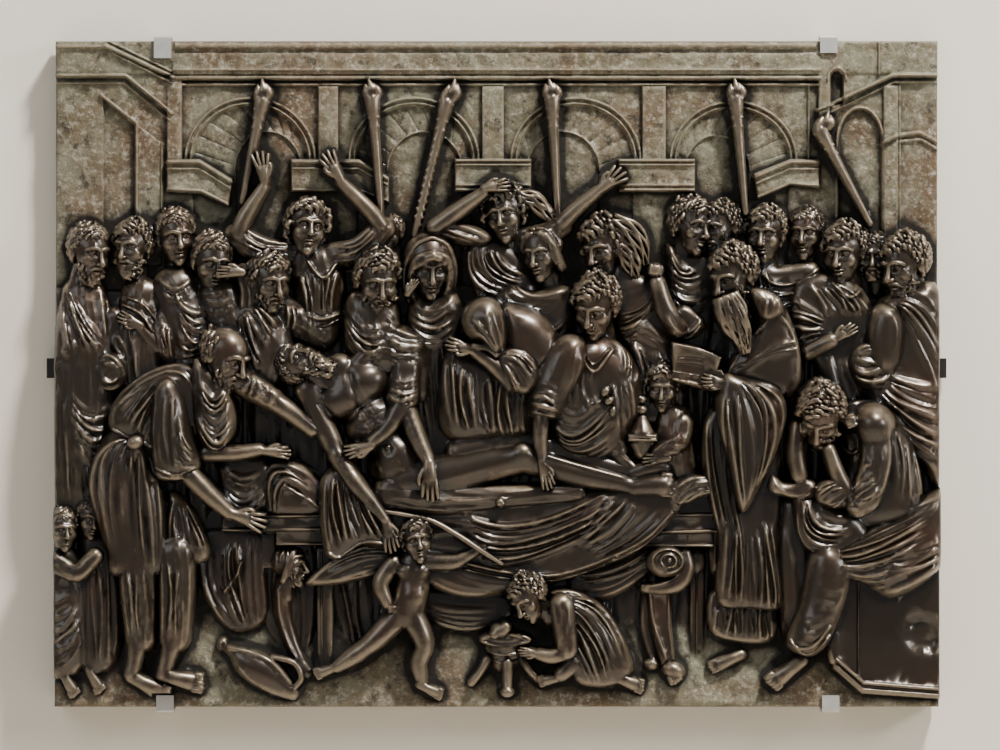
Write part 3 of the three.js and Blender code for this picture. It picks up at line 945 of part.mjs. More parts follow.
// jug lying on the floor
tube([[-149, -152, 16, 2.4], [-144, -155, 17, 4], [-138, -160, 17, 7.6], [-129, -165, 17, 9.2],
  [-120, -172, 17, 6.4], [-113, -177, 17, 3.6]], 0.9, 2, WOOD);
ridge([[-148, -151], [-134, -153], [-122, -160], [-113, -170]], 2.6, 2.4, 2.0);
ridge([[-142, -163], [-134, -171], [-122, -178]], 1.0, 1.2);
place();
tube([[-124, -157, 19, 1.5], [-112, -160, 20, 1.5], [-108, -168, 20, 1.5],
  [-112, -174, 19, 1.5]], 1, 0.5, WOOD);
place();
ridge([[-157, -142], [-152, -148], [-156, -156]], 1.2, 1.6);
blob(CLOTH, -152, -150, 11, 3, 4, 3, 20);

// winged child with a bow
drape([[-56, -97], [-70, -94], [-90, -102], [-106, -116], [-90, -117], [-72, -113], [-58, -109]], 20.0, 4.0);
folds([[-60, -97], [-82, -98], [-104, -115]], [[-60, -109], [-76, -115], [-94, -117]], 9, 1.8, 0.6);
ridge([[-58, -97], [-70, -95], [-90, -103], [-105, -116]], 1.5, 2.0);
place();
flesh([[-46, -105, 20, 8.6], [-46, -117, 22, 8.8], [-50, -132, 22, 9.0]]);
blob(SKIN, -46, -123, 25, 7, 6.4, 6, 0, 4);
blob(SKIN, -41, -109, 24, 5, 4, 5, 0, 4);
blob(SKIN, -51, -109, 24, 5, 4, 5, 0, 4);
blob(SKIN, -46.4, -125, 30.4, 0.9, 0.9, 0.1, 0, 0.4);
place();
flesh([[-47, -133, 23, 6.6], [-41, -145, 25, 5.4], [-40, -152, 25, 4.6], [-43, -160, 24, 4.4],
  [-41, -170, 24, 3.0]]);
place();
flesh([[-54, -134, 22, 7.0], [-66, -146, 24, 5.6], [-72, -151, 24, 4.6], [-79, -156, 23, 4.6],
  [-88, -162, 22, 3.0]]);
place();
flesh([[-37, -104, 24, 5], [-24, -104, 26, 4.2], [-17, -101, 26, 3.4], [-10, -97, 26, 3.0]]);
flesh([[-57, -105, 23, 5], [-64, -116, 25, 4.4], [-60, -127, 26, 3.2]]);
place();
fist(-8, -97, 26, 10, 0);
fist(-57, -130, 27, 10, -90);
foot(-42, -172, 25, 13, -25);
foot(-88, -162, 21, 13, 200);
head(-44, -93, 34, 24, 10, 4, -6, 'curls', '');
tube([[-62, -76, 28, 1.1], [-50, -78, 28, 1.2], [-36, -81, 28, 1.3], [-20, -90, 29, 1.4],
  [-8, -98, 30, 1.3], [3, -105, 28, 1.0]], 1, 0.3, WOOD);
place();

// crouching child and brazier
drape([[28, -122], [40, -119], [56, -126], [68, -142], [76, -164], [64, -173], [46, -172], [38, -160],
  [34, -142]], 25.0, 10.0);
folds([[36, -124], [62, -132], [74, -162]], [[34, -132], [42, -150], [52, -171]], 9, 3.4);
ridge([[30, -121], [42, -120], [54, -126]], 2.0, 2.4);
place();
cloth([[36, -128, 28, 6.5], [38, -142, 29, 6.0], [39, -152, 29, 5.4]]);
place();
flesh([[38, -154, 27, 4.4], [30, -156, 28, 3.8], [24, -155, 28, 3.0]]);
hand(20, -154, 28, 10, 175, 0.0, 1, 4);
flesh([[42, -160, 22, 5.4], [36, -166, 22, 4.0]]);
foot(36, -168, 20, 13, 190);
foot(66, -168, 19, 16, -20);
head(18, -124, 36, 25, -48, 34, -10, 'curls', '');
tube([[5, -152, 16, 11], [5, -158, 15, 8.0]], 0.9, 0.5, WOOD);
ridge([[-8, -153], [5, -155.6], [17, -153]], 1.0, 1.4);
ridge([[-6, -157], [5, -160], [15, -157]], 1.0, 1.4);
place();
slab(WOOD, oval(5, -147, 14.2, 3.8, 0, 360), 26.0, [0, 0], 1.0);
ridge([[-6, -147], [5, -144.8], [16, -147]], 1.2, -1.2);
ridge([[-6, -147.4], [5, -149.2], [16, -147.4]], 1.2, -1.2);
place();
blob(HAIR, 2, -142, 25, 5, 4, 4, 10, 0.5);
blob(HAIR, 5, -140, 26, 3, 3.4, 3, 0, 0.5);
blob(HAIR, -1, -144, 26, 3, 2.6, 3, 0, 0.5);
tube([[-5, -158, 18, 2.4], [-9, -165, 18, 2.0], [-14, -171, 17, 2.2]], 0.9, 0.5, WOOD);
tube([[6, -160, 22, 3], [6, -174, 21, 2.4]], 0.9, 0.5, WOOD);
tube([[14, -158, 18, 2.4], [18, -164, 18, 2.0], [23, -169, 17, 2.2]], 0.9, 0.5, WOOD);
blob(WOOD, 6, -176, 22, 3.6, 2.8, 3);
place();

// seated mourner on a block, at the right
slab(WOOD, [[187, -108], [246, -108], [246, -180], [202, -177], [186, -163]], 19.0, [0, 0], 1.4);
moulding([[188, -158], [203, -171], [245, -174.5]], 1.5, 2.4);
moulding([[188, -161.5], [203, -174.6], [245, -177.8]], 0.9, 1.4);
moulding([[200, -112], [200, -167]], 0.8, 1.2);
recess(oval(236, -144, 12, 12, 0, 360), 3.0, 5.0);
recess(oval(231, -137, 6, 5, 0, 360), 1.6, 3.0);
recess(oval(241, -150, 5, 6, 0, 360), 1.6, 3.0);
place();
drape([[156, -74], [159, -68], [164, -66], [169, -69], [172, -78], [175, -100], [176, -124], [170, -152],
  [159, -148], [155, -110]], 24.0, 9.0);
folds([[158, -80], [158, -110], [161, -142]], [[168, -84], [171, -112], [169, -140]], 3, 1.8);
place();
drape([[192, -17], [204, -14], [216, -17], [226, -27], [232, -44], [236, -66], [232, -84], [206, -90],
  [190, -78], [190, -50], [188, -30]], 30.0, 16.0);
folds([[217, -28], [220, -50], [220, -76]], [[230, -36], [234, -56], [233, -78]], 4, 2.4);
ridge([[194, -17], [205, -14], [217, -18], [227, -30], [232, -46], [235, -66]], 1.5, 2.2);
ridge([[190, -24], [198, -22], [203, -28], [202, -36]], 1.4, 2.4);
ridge([[190, -40], [195, -44], [200, -42]], 1.2, 2.4);
folds([[191, -34], [194, -40], [193, -50]], [[199, -30], [202, -40], [198, -52]], 3, 2.0);
place();
drape([[163, -62], [172, -66], [186, -72], [200, -78], [206, -90], [196, -100], [180, -104], [170, -96],
  [164, -82]], 31.0, 8.0);
folds([[172, -66], [178, -84], [202, -84]], [[165, -78], [168, -98], [186, -102]], 7, 3.6);
folds([[178, -68], [184, -78], [198, -78]], [[174, -70], [180, -84], [196, -84]], 2, 2.4);
place();
drape([[180, -100], [198, -88], [222, -79], [240, -66], [248, -66], [248, -100], [236, -116], [217, -124],
  [200, -115], [184, -115]], 33.0, 12.0);
folds([[184, -95], [206, -86], [242, -68]], [[186, -104], [210, -104], [247, -84]], 6, 3.8);
folds([[188, -106], [204, -112], [222, -104]], [[192, -114], [206, -119], [222, -112]], 3, 3.0);
folds([[216, -96], [232, -98], [247, -90]], [[214, -122], [232, -114], [247, -102]], 4, 3.4);
place();
drape([[171, -104], [174, -97], [182, -93], [191, -97], [196, -106], [193, -124], [184, -147],
  [174, -156], [163, -153], [160, -145], [167, -125]], 37.0, 12.0);
folds([[194, -108], [186, -112], [178, -108]], [[192, -122], [186, -128], [178, -126]], 3, 1.6);
folds([[188, -130], [178, -137], [169, -136]], [[183, -145], [176, -150], [168, -147]], 3, 1.8);
ridge([[161, -146], [165, -151], [174, -150], [184, -139]], 1.3, 2.4);
ridge([[163, -150], [170, -155], [177, -152], [184, -144]], 1.1, 2.0);
place();
drape([[183, -146], [190, -142], [190, -158], [184, -160]], 20.0, 3.0);
place();
flesh([[166, -30, 28, 4.2], [165, -44, 28, 4.6], [167, -56, 28, 4.6]]);
drape([[152, -56], [158, -60], [164, -60], [172, -58], [177, -62], [174, -69], [160, -68],
  [150, -64]], 31.0, 4.0);
folds([[152, -58], [163, -68], [176, -60]], [[152, -63], [163, -74], [176, -66]], 3, 2.6);
place();
flesh([[194, -68, 32, 5.0], [188, -56, 34, 4.2], [183, -42, 35, 3.4]]);
place();
blob(CLOTH, 208, -28, 24, 13, 12, 18, 30, 6);
cloth([[208, -30, 31, 9.0], [209, -48, 33, 8.6], [204, -66, 34, 8.4], [199, -72, 34, 7.0]], 0.8, 6);
folds([[207, -50], [199, -53], [193, -62]], [[212, -64], [204, -70], [194, -72]], 7, 2.2);
folds([[190, -58], [186, -64], [176, -66]], [[200, -76], [192, -74], [182, -76]], 7, 2.6);
ridge([[187, -76], [194, -79], [204, -78], [210, -72]], 1.2, 1.8);
place();
drape([[176, -62], [184, -58], [194, -60], [198, -66], [192, -74], [182, -74], [176, -70]], 36.0, 5.0);
folds([[192, -60], [182, -60], [175, -66]], [[194, -66], [188, -72], [182, -76]], 6, 2.6);
place();
fist(195, -26, 34, 14, 200);
fist(170, -30, 33, 13, 90);
head(179, -24, 46, 33, -14, 52, 6, 'curls', 'short');
foot(168, -159, 22, 21, 217);

// ---------------------------------------------------------------- from the height field to one closed solid

// Whether a point lies within a margin of one of the four clips' lips.
function atClip(x, z, margin) {
  return CLIPS.some((clip) => Math.abs(x - clip.x) < CLIP.width / 2 + margin
    && (clip.top ? z : -z) > HEIGHT / 2 - clip.lip - margin);
}

// Binary heap of candidate edge collapses, cheapest first.
class Heap {
  items = [];

  push(item) {
    const a = this.items;
    let i = a.push(item) - 1;
    while (i > 0) {
      const up = (i - 1) >> 1;
      if (a[up].cost <= item.cost) break;
      a[i] = a[up];
      i = up;
    }
    a[i] = item;
  }

  pop() {
    const a = this.items;
    const first = a[0];
    const last = a.pop();
    if (a.length === 0) return first;
    let i = 0;
    for (;;) {
      let low = 2 * i + 1;
      if (low >= a.length) break;
      if (low + 1 < a.length && a[low + 1].cost < a[low].cost) low++;
      if (a[low].cost >= last.cost) break;
      a[i] = a[low];
      i = low;
    }
    a[i] = last;
    return first;
  }
}

// Facets the fine field: edges are collapsed where that changes the surface least.
// Border points stay on the border, and no facet turns over as seen from the front.
class Facets {
  constructor(points, triangles) {
    this.points = points;
    this.triangles = triangles;
    this.alive = triangles.map(() => true);
    this.count = triangles.length;
    this.around = points.map(() => new Set());
    this.quadric = points.map(() => new Float64Array(10));
    this.stamp = new Uint32Array(points.length);
    this.side = points.map(([x, z]) => (Math.abs(x) > WIDTH / 2 - 0.01 ? 1 : 0) + (Math.abs(z) > HEIGHT / 2 - 0.01 ? 2 : 0));
    this.heap = new Heap();
    triangles.forEach((t, f) => {
      for (const v of t) this.around[v].add(f);
      this.addPlane(t);
    });
    for (const t of triangles) {
      for (let e = 0; e < 3; e++) {
        const [a, b] = [t[e], t[(e + 1) % 3]];
        if (a < b || this.onBorder(a, b)) this.consider(a, b);
      }
    }
  }

  addPlane(t) {
    const [p, q, r] = t.map((v) => this.points[v]);
    const u = q.map((v, c) => v - p[c]);
    const w = r.map((v, c) => v - p[c]);
    const n = [u[1] * w[2] - u[2] * w[1], u[2] * w[0] - u[0] * w[2], u[0] * w[1] - u[1] * w[0]];
    const size = Math.hypot(...n);
    const weight = atClip(p[0], p[1], 4.5) ? 400 * size : size;
    const [a, b, c] = n.map((v) => v / size);
    const d = -(a * p[0] + b * p[1] + c * p[2]);
    const terms = [a * a, a * b, a * c, a * d, b * b, b * c, b * d, c * c, c * d, d * d];
    for (const v of t) terms.forEach((term, i) => { this.quadric[v][i] += term * weight; });
  }

  onBorder(a, b) {
    return (this.side[a] & this.side[b]) !== 0 && this.shared(a, b).length === 1;
  }

  shared(a, b) {
    return [...this.around[a]].filter((f) => this.around[b].has(f));
  }

  error(q, [x, z, h]) {
    return q[0] * x * x + 2 * q[1] * x * z + 2 * q[2] * x * h + 2 * q[3] * x + q[4] * z * z
      + 2 * q[5] * z * h + 2 * q[6] * z + q[7] * h * h + 2 * q[8] * h + q[9];
  }

  // Point with the least error, or null where the three equations have no steady answer.
  best(q) {
    const m = new THREE.Matrix3().set(q[0], q[1], q[2], q[1], q[4], q[5], q[2], q[5], q[7]);
    const size = Math.max(q[0], q[4], q[7]);
    if (Math.abs(m.determinant()) < 1e-5 * size ** 3) return null;
    const p = new THREE.Vector3(-q[3], -q[6], -q[8]).applyMatrix3(m.invert());
    return [p.x, p.y, p.z];
  }

  consider(a, b) {
    const [pa, pb] = [this.points[a], this.points[b]];
    const q = this.quadric[a].map((v, i) => v + this.quadric[b][i]);
    const mid = pa.map((v, c) => (v + pb[c]) / 2);
    let choices = [pa, pb, mid];
    if (this.side[a] && this.side[b]) {
      if (!this.onBorder(a, b)) return;
      if (this.side[a] === 3) choices = [pa];
      if (this.side[b] === 3) choices = this.side[a] === 3 ? [] : [pb];
    } else if (this.side[a]) {
      choices = [pa];
    } else if (this.side[b]) {
      choices = [pb];
    } else {
      const p = this.best(q);
      if (p && Math.hypot(p[0] - mid[0], p[1] - mid[1]) < 3 * Math.hypot(pa[0] - pb[0], pa[1] - pb[1])) choices = [p];
    }
    for (const p of choices) {
      const long = Math.hypot(pa[0] - pb[0], pa[1] - pb[1], pa[2] - pb[2]);
      const cost = Math.max(this.error(q, p), 0) + 1e-4 * long * long;
      this.heap.push({ cost, a, b, p, key: this.stamp[a] * 65536 + this.stamp[b] });
    }
  }

  facesTheFront(t, moved, p) {
    const [a, b, c] = t.map((v) => (moved.includes(v) ? p : this.points[v]));
    const area = (b[0] - a[0]) * (c[1] - a[1]) - (b[1] - a[1]) * (c[0] - a[0]);
    const long = Math.max(Math.hypot(b[0] - a[0], b[1] - a[1]), Math.hypot(c[0] - b[0], c[1] - b[1]),
      Math.hypot(a[0] - c[0], a[1] - c[1]));
    return area > 0.04 * long * long * 0.5 && area > 0.02;
  }

  collapse({ a, b, p, key }) {
    if (key !== this.stamp[a] * 65536 + this.stamp[b]) return;
    const gone = this.shared(a, b);
    const ring = (v) => new Set([...this.around[v]].flatMap((f) => this.triangles[f]));
    const ringB = ring(b);
    const common = [...ring(a)].filter((v) => v !== a && v !== b && ringB.has(v));
    if (gone.length === 0 || common.length !== gone.length) return;
    const changed = [...this.around[a], ...this.around[b]].filter((f) => !gone.includes(f));
    if (!changed.every((f) => this.facesTheFront(this.triangles[f], [a, b], p))) return;
    for (const f of gone) {
      this.alive[f] = false;
      this.count--;
      for (const v of this.triangles[f]) this.around[v].delete(f);
    }
    for (const f of this.around[b]) {
      this.triangles[f] = this.triangles[f].map((v) => (v === b ? a : v));
      this.around[a].add(f);
    }
    this.around[b].clear();
    this.points[a] = p;
    this.side[a] |= this.side[b];
    this.quadric[b].forEach((v, i) => { this.quadric[a][i] += v; });
    this.stamp[a]++;
    this.stamp[b]++;
    for (const v of ring(a)) {
      if (v !== a) this.consider(a, v);
    }
  }

  reduce(target) {
    while (this.count > target && this.heap.items.length > 0) this.collapse(this.heap.pop());
    return this.triangles.filter((t, f) => this.alive[f]);
  }
}

function fieldMesh() {
  const points = [];
  const triangles = [];
  for (let k = 0; k < nz; k++) {
    for (let i = 0; i < nx; i++) points.push([xAt(i), zAt(k), surface[k * nx + i]]);
  }
  for (let k = 0; k + 1 < nz; k++) {
    for (let i = 0; i + 1 < nx; i++) {
      const a = k * nx + i;
      const [b, c, d] = [a + 1, a + nx + 1, a + nx];
      const flat = Math.abs(surface[a] - surface[c]) < Math.abs(surface[b] - surface[d]);
      triangles.push(...(flat ? [[a, b, c], [a, c, d]] : [[a, b, d], [b, c, d]]));
    }
  }
  return new Facets(points, triangles);
}

// Relief facets in front, upright sides and a flat back: one closed body.
function panelGeometry() {
  const field = fieldMesh();
  const front = field.reduce(PANEL_TRIANGLES);
  const position = [];
  const index = [];
  const numberOf = new Map();
  const vertex = (x, y, z) => position.push(x, y, z) / 3 - 1;
  for (const t of front) {
    for (const v of t) {
      const [x, z, h] = field.points[v];
      if (!numberOf.has(v)) numberOf.set(v, vertex(x, -(SLAB + h), z));
    }
    index.push(...t.map((v) => numberOf.get(v)));
  }
  const next = new Map();
  for (const t of front) {
    t.forEach((v, e) => {
      const w = t[(e + 1) % 3];
      if (field.shared(v, w).length === 1) next.set(v, w);
    });
  }
  const loop = [next.keys().next().value];
  while (next.get(loop[loop.length - 1]) !== loop[0]) loop.push(next.get(loop[loop.length - 1]));
  const foot = loop.map((v) => vertex(field.points[v][0], 0, field.points[v][1]));
  const inset = [[-200, -140], [200, -140], [200, 150], [-200, 150]].map(([x, z]) => vertex(x, 0, z));
  const corner = (v) => {
    const [x, z] = field.points[v];
    return inset[z < 0 ? (x < 0 ? 0 : 1) : (x < 0 ? 3 : 2)];
  };
  loop.forEach((v, i) => {
    const j = (i + 1) % loop.length;
    const w = loop[j];
    index.push(numberOf.get(v), foot[i], numberOf.get(w), numberOf.get(w), foot[i], foot[j]);
    index.push(foot[i], corner(v), foot[j]);
    if (corner(v) !== corner(w)) index.push(corner(v), corner(w), foot[j]);
  });
  index.push(inset[0], inset[2], inset[1], inset[0], inset[3], inset[2]);
  const geometry = new THREE.BufferGeometry();
  geometry.setAttribute('position', new THREE.Float32BufferAttribute(position, 3));
  geometry.setIndex(index);
  return geometry;
}

// Bent strip: shank from the wall past the panel's edge, then a lip over its face.
// Its own frame: +X away from the wall, +Y outwards past the edge, width along Z.
function clipGeometry(seat, lip) {
  const reach = SLAB + seat + CLIP.gap;
  const profile = new THREE.Shape();
  profile.moveTo(0, CLIP.clear);
  profile.lineTo(reach, CLIP.clear);
  profile.lineTo(reach, -lip);
  profile.lineTo(reach + CLIP.thick, -lip);
  profile.lineTo(reach + CLIP.thick, CLIP.clear + 0.4 * CLIP.thick);
  profile.lineTo(reach + 0.4 * CLIP.thick, CLIP.clear + CLIP.thick);
  profile.lineTo(0, CLIP.clear + CLIP.thick);
  const geometry = new THREE.ExtrudeGeometry(profile, { depth: CLIP.width, bevelEnabled: false });
  const basis = new THREE.Matrix4().makeBasis(
    new THREE.Vector3(0, -1, 0), new THREE.Vector3(0, 0, 1), new THREE.Vector3(-1, 0, 0));
  return geometry.applyMatrix4(basis).translate(CLIP.width / 2, 0, 0);
}

const plaque = new THREE.Group();

function addMesh(name, geometry, look) {
  const mesh = new THREE.Mesh(geometry, new THREE.MeshStandardMaterial(look));
  mesh.name = name;
  plaque.add(mesh);
  return mesh;
}

for (const clip of CLIPS) {
  eachCell(clip.x - 10, clip.x + 10, -HEIGHT / 2, HEIGHT / 2, (cell, x, z) => {
    if (atClip(x, z, 3) && clip.top === z > 0) surface[cell] = clip.seat;
  });
}
addMesh('relief_panel', panelGeometry(), BRONZE);
for (const { name, x, top, seat, lip } of CLIPS) {
  const clip = addMesh(name, clipGeometry(seat, lip), STEEL);
  clip.position.set(x, 0, top ? HEIGHT / 2 : -HEIGHT / 2);
  clip.rotation.y = top ? 0 : Math.PI;
}
for (const [name, side] of [['side_pin_left', -1], ['side_pin_right', 1]]) {
  const pin = addMesh(name, new THREE.BoxGeometry(PIN.width, PIN.depth, PIN.height), STEEL);
  pin.position.set(side * (WIDTH / 2 + PIN.gap + PIN.width / 2), -PIN.depth / 2, PIN.z);
}

export default plaque;
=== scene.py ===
"""Bronze relief plaque: a funeral under four torch-lit arches, modelled as one height field and held by four clips."""
import math
import bpy
import numpy as np
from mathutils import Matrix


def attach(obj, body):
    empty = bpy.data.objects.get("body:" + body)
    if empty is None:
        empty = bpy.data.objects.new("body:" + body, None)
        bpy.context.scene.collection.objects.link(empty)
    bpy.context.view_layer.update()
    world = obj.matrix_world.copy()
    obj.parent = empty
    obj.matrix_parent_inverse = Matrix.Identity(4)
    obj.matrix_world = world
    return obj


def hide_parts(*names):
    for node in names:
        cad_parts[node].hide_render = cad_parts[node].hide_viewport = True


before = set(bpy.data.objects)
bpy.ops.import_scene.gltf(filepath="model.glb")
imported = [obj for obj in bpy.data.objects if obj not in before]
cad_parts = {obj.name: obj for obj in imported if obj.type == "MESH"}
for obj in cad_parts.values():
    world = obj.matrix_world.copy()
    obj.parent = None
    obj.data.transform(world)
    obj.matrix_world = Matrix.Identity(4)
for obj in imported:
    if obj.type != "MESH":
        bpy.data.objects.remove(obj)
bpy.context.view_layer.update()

WIDTH, HEIGHT, SLAB = 490.0, 369.2, 9.0
STEP = 0.4
FAR = -90.0
SKIN, CLOTH, HAIR, WALL, WOOD = 1, 2, 3, 4, 5

nx = int(round(WIDTH / STEP)) + 1
nz = int(round(HEIGHT / STEP)) + 1
xs = np.linspace(-WIDTH / 2, WIDTH / 2, nx).astype(np.float32)
zs = np.linspace(-HEIGHT / 2, HEIGHT / 2, nz).astype(np.float32)
surface = np.zeros((nz, nx), np.float32)
clay = np.full((nz, nx), FAR, np.float32)
kind = np.full((nz, nx), WALL, np.uint8)
clay_kind = np.zeros((nz, nx), np.uint8)
touched = []


def window(x0, x1, z0, z1):
    i0 = max(0, int((x0 - xs[0]) / STEP))
    i1 = min(nx, int((x1 - xs[0]) / STEP) + 2)
    k0 = max(0, int((z0 - zs[0]) / STEP))
    k1 = min(nz, int((z1 - zs[0]) / STEP) + 2)
    if i1 <= i0 or k1 <= k0:
        return None
    return slice(k0, k1), slice(i0, i1)


def grid(win):
    return xs[win[1]][None, :], zs[win[0]][:, None]


def dome(u):
    edge = np.maximum(u - 0.97, 0.0)
    inner = np.minimum(u, 0.97)
    return np.sqrt(1.0 - inner * inner) - 4.0 * edge - 40.0 * edge * edge


def blend(win, h, soft, what):
    old = clay[win]
    if soft > 0:
        near = np.maximum(soft - np.abs(old - h), 0.0)
        top = np.maximum(old, h) + near * near / (4.0 * soft)
    else:
        top = np.maximum(old, h)
    clay_kind[win] = np.where(h > old, what, clay_kind[win])
    clay[win] = top
    touched.append((win[0].start, win[0].stop, win[1].start, win[1].stop))


def along(win, a, b):
    x, z = grid(win)
    dx, dz = b[0] - a[0], b[1] - a[1]
    length2 = max(dx * dx + dz * dz, 1e-6)
    t = np.clip(((x - a[0]) * dx + (z - a[1]) * dz) / length2, 0.0, 1.0)
    d = np.hypot(x - a[0] - t * dx, z - a[1] - t * dz)
    return t, d


def spline(nodes, per):
    pts = np.array(nodes, float)
    if len(pts) < 3 or per < 2:
        return pts
    ends = np.vstack([2 * pts[0] - pts[1], pts, 2 * pts[-1] - pts[-2]])
    out = []
    for i in range(1, len(ends) - 2):
        p0, p1, p2, p3 = ends[i - 1:i + 3]
        for j in range(per):
            t = j / per
            out.append(0.5 * (2 * p1 + (p2 - p0) * t + (2 * p0 - 5 * p1 + 4 * p2 - p3) * t * t
                              + (3 * p1 - p0 - 3 * p2 + p3) * t ** 3))
    out.append(pts[-1])
    return np.array(out)


def wrinkles(win, a, b):
    """Small wavering pleats running the way of a sleeve or skirt."""
    x, z = grid(win)
    length = max(math.hypot(b[0] - a[0], b[1] - a[1]), 1e-3)
    dx, dz = (b[0] - a[0]) / length, (b[1] - a[1]) / length
    side = x * dz - z * dx
    run = x * dx + z * dz
    phase = side / 4.2 + 0.28 * np.sin(run / 9.0 + side / 13.0) + 0.08 * np.sin(run / 4.5 - side / 6.0)
    wave = np.abs(2 * np.mod(phase, 1) - 1)
    return 1.0 * (1 - np.sqrt(wave * wave + 0.04)) * (0.75 + 0.35 * np.sin(run / 6.0 + 2.1 * np.floor(phase)))


def tube(nodes, flat, soft, what, per=4):
    """Round limb, fold or rod through the nodes, each x, z, height of its axis and radius."""
    pts = spline(nodes, per)
    reach = 1.45 * pts[:, 3].max() + 2
    whole = window(pts[:, 0].min() - reach, pts[:, 0].max() + reach, pts[:, 1].min() - reach, pts[:, 1].max() + reach)
    if whole is None:
        return
    form = np.full(clay[whole].shape, FAR, np.float32)
    k0, i0 = whole[0].start, whole[1].start
    pleated = what == CLOTH and pts[:, 3].max() > 4.5
    for a, b in zip(pts[:-1], pts[1:]):
        r = 1.45 * max(a[3], b[3]) + 2
        win = window(min(a[0], b[0]) - r, max(a[0], b[0]) + r, min(a[1], b[1]) - r, max(a[1], b[1]) + r)
        if win is None:
            continue
        t, d = along(win, a, b)
        radius = np.maximum(a[3] + t * (b[3] - a[3]), 0.2)
        h = a[2] + t * (b[2] - a[2]) + flat * radius * dome(d / radius)
        if pleated:
            h = h + wrinkles(win, a, b) * np.clip(1.3 - d / radius, 0, 1)
        part = form[win[0].start - k0:win[0].stop - k0, win[1].start - i0:win[1].stop - i0]
        np.maximum(part, h, out=part)
    blend(whole, form, soft, what)


def cloth(nodes, flat=0.7, soft=3.0):
    tube(nodes, flat, soft, CLOTH)


def flesh(nodes, flat=0.9, soft=2.0):
    tube(nodes, flat, soft, SKIN)


def blob(what, x, z, h, rx, rz, rh, lean=0.0, soft=2.0):
    """Ellipsoid with its middle at (x, z, h); lean turns it clockwise in the view."""
    c, s = math.cos(math.radians(lean)), math.sin(math.radians(lean))
    r = 1.4 * max(rx, rz) + 1
    win = window(x - r, x + r, z - r, z + r)
    if win is None:
        return
    gx, gz = grid(win)
    u = np.hypot(((gx - x) * c - (gz - z) * s) / rx, ((gx - x) * s + (gz - z) * c) / rz)
    blend(win, h + rh * dome(u), soft, what)


def through(three, t):
    """Point of the parabola that passes through three given points, halfway at the middle one."""
    p = np.array(three, float)
    mid = 2 * p[1] - 0.5 * (p[0] + p[2])
    t = np.asarray(t, float)[:, None]
    return p[0] * (1 - t) ** 2 + 2 * mid * t * (1 - t) + p[2] * t * t


def crest(u, sharp):
    v = np.clip(np.sqrt(u * u + 0.05) - 0.05, 0.0, 1.0)
    return (1.0 - v ** sharp) ** 1.5


def strokes(lines, sharp=1.3):
    """Raised strokes on the clay; each line is (points, half widths, heights)."""
    boxes = []
    for pts, wide, high in lines:
        r = max(wide) + 1
        boxes.append((pts[:, 0].min() - r, pts[:, 0].max() + r, pts[:, 1].min() - r, pts[:, 1].max() + r))
    b = np.array(boxes)
    whole = window(b[:, 0].min(), b[:, 1].max(), b[:, 2].min(), b[:, 3].max())
    if whole is None:
        return
    rise = np.zeros(clay[whole].shape, np.float32)
    k0, i0 = whole[0].start, whole[1].start
    for pts, wide, high in lines:
        for j in range(len(pts) - 1):
            a, c = pts[j], pts[j + 1]
            r = max(wide[j], wide[j + 1]) + 0.5
            win = window(min(a[0], c[0]) - r, max(a[0], c[0]) + r, min(a[1], c[1]) - r, max(a[1], c[1]) + r)
            if win is None:
                continue
            t, d = along(win, a, c)
            w = wide[j] + t * (wide[j + 1] - wide[j])
            v = (high[j] + t * (high[j + 1] - high[j])) * crest(d / w, sharp)
            part = rise[win[0].start - k0:win[0].stop - k0, win[1].start - i0:win[1].stop - i0]
            if part.shape != v.shape:
                continue
            np.copyto(part, v, where=np.abs(v) > np.abs(part))
    clay[whole] += np.where(clay[whole] > FAR + 5, rise, 0)


def folds(a, b, n, high=2.6, wide=0.62, wave=0.0, sharp=1.3, fade=0.16):
    """n ridges of cloth spread between the curves a and b, each through three points."""
    t = np.linspace(0, 1, 15 if wave == 0 else 25)
    ca, cb = through(a, t), through(b, t)
    step = 1 / max(n - 1, 1)
    gap = np.hypot(*(cb - ca).T) * step
    lines = []
    for i in range(n):
        inside = 0 < i < n - 1
        s = i * step + inside * step * (0.22 * math.sin(7.3 * i + 3.1 * n + a[0][0])
                                        + 0.20 * np.sin(5.2 * t + 2.3 * i + a[0][1]))
        pts = ca + (cb - ca) * np.broadcast_to(s, t.shape)[:, None]
        if wave:
            d = np.gradient(pts, axis=0)
            d /= np.maximum(np.hypot(*d.T), 1e-6)[:, None]
            sway = wave * np.sin(2 * math.pi * 2.2 * t + 1.3 * i)
            pts = pts + np.stack([-d[:, 1], d[:, 0]], 1) * sway[:, None]
        half = np.clip(wide * gap * (1 + 0.28 * np.sin(4.1 * i + 3.4 * t)), 0.9, 6.0)
        late = 0.14 * math.sin(9.7 * i + a[1][0]) ** 2
        early = 0.16 * math.sin(6.1 * i + b[1][0]) ** 2
        rise = np.clip(np.minimum(t - late, 1 - early - t) / fade + 0.3, 0, 1)
        size = high * (0.85 + 0.32 * math.sin(5.1 * i + a[0][1]))
        lines.append((pts, half, size * rise * np.clip((half - 0.5) / 1.3, 0.3, 1.0)))
    strokes(lines, sharp)


def ridge(points, wide=1.2, high=2.0, sharp=1.6):
    pts = spline(points, 4)
    n = len(pts)
    strokes([(pts, np.full(n, wide), np.full(n, high))], sharp)


def place():
    """Sets the modelled clay into the relief and starts afresh."""
    if not touched:
        return
    t = np.array(touched)
    win = slice(t[:, 0].min(), t[:, 1].max()), slice(t[:, 2].min(), t[:, 3].max())
    over = clay[win] > surface[win]
    surface[win] = np.where(over, clay[win], surface[win])
    kind[win] = np.where(over, clay_kind[win], kind[win])
    clay[win] = FAR
    clay_kind[win] = 0
    touched.clear()


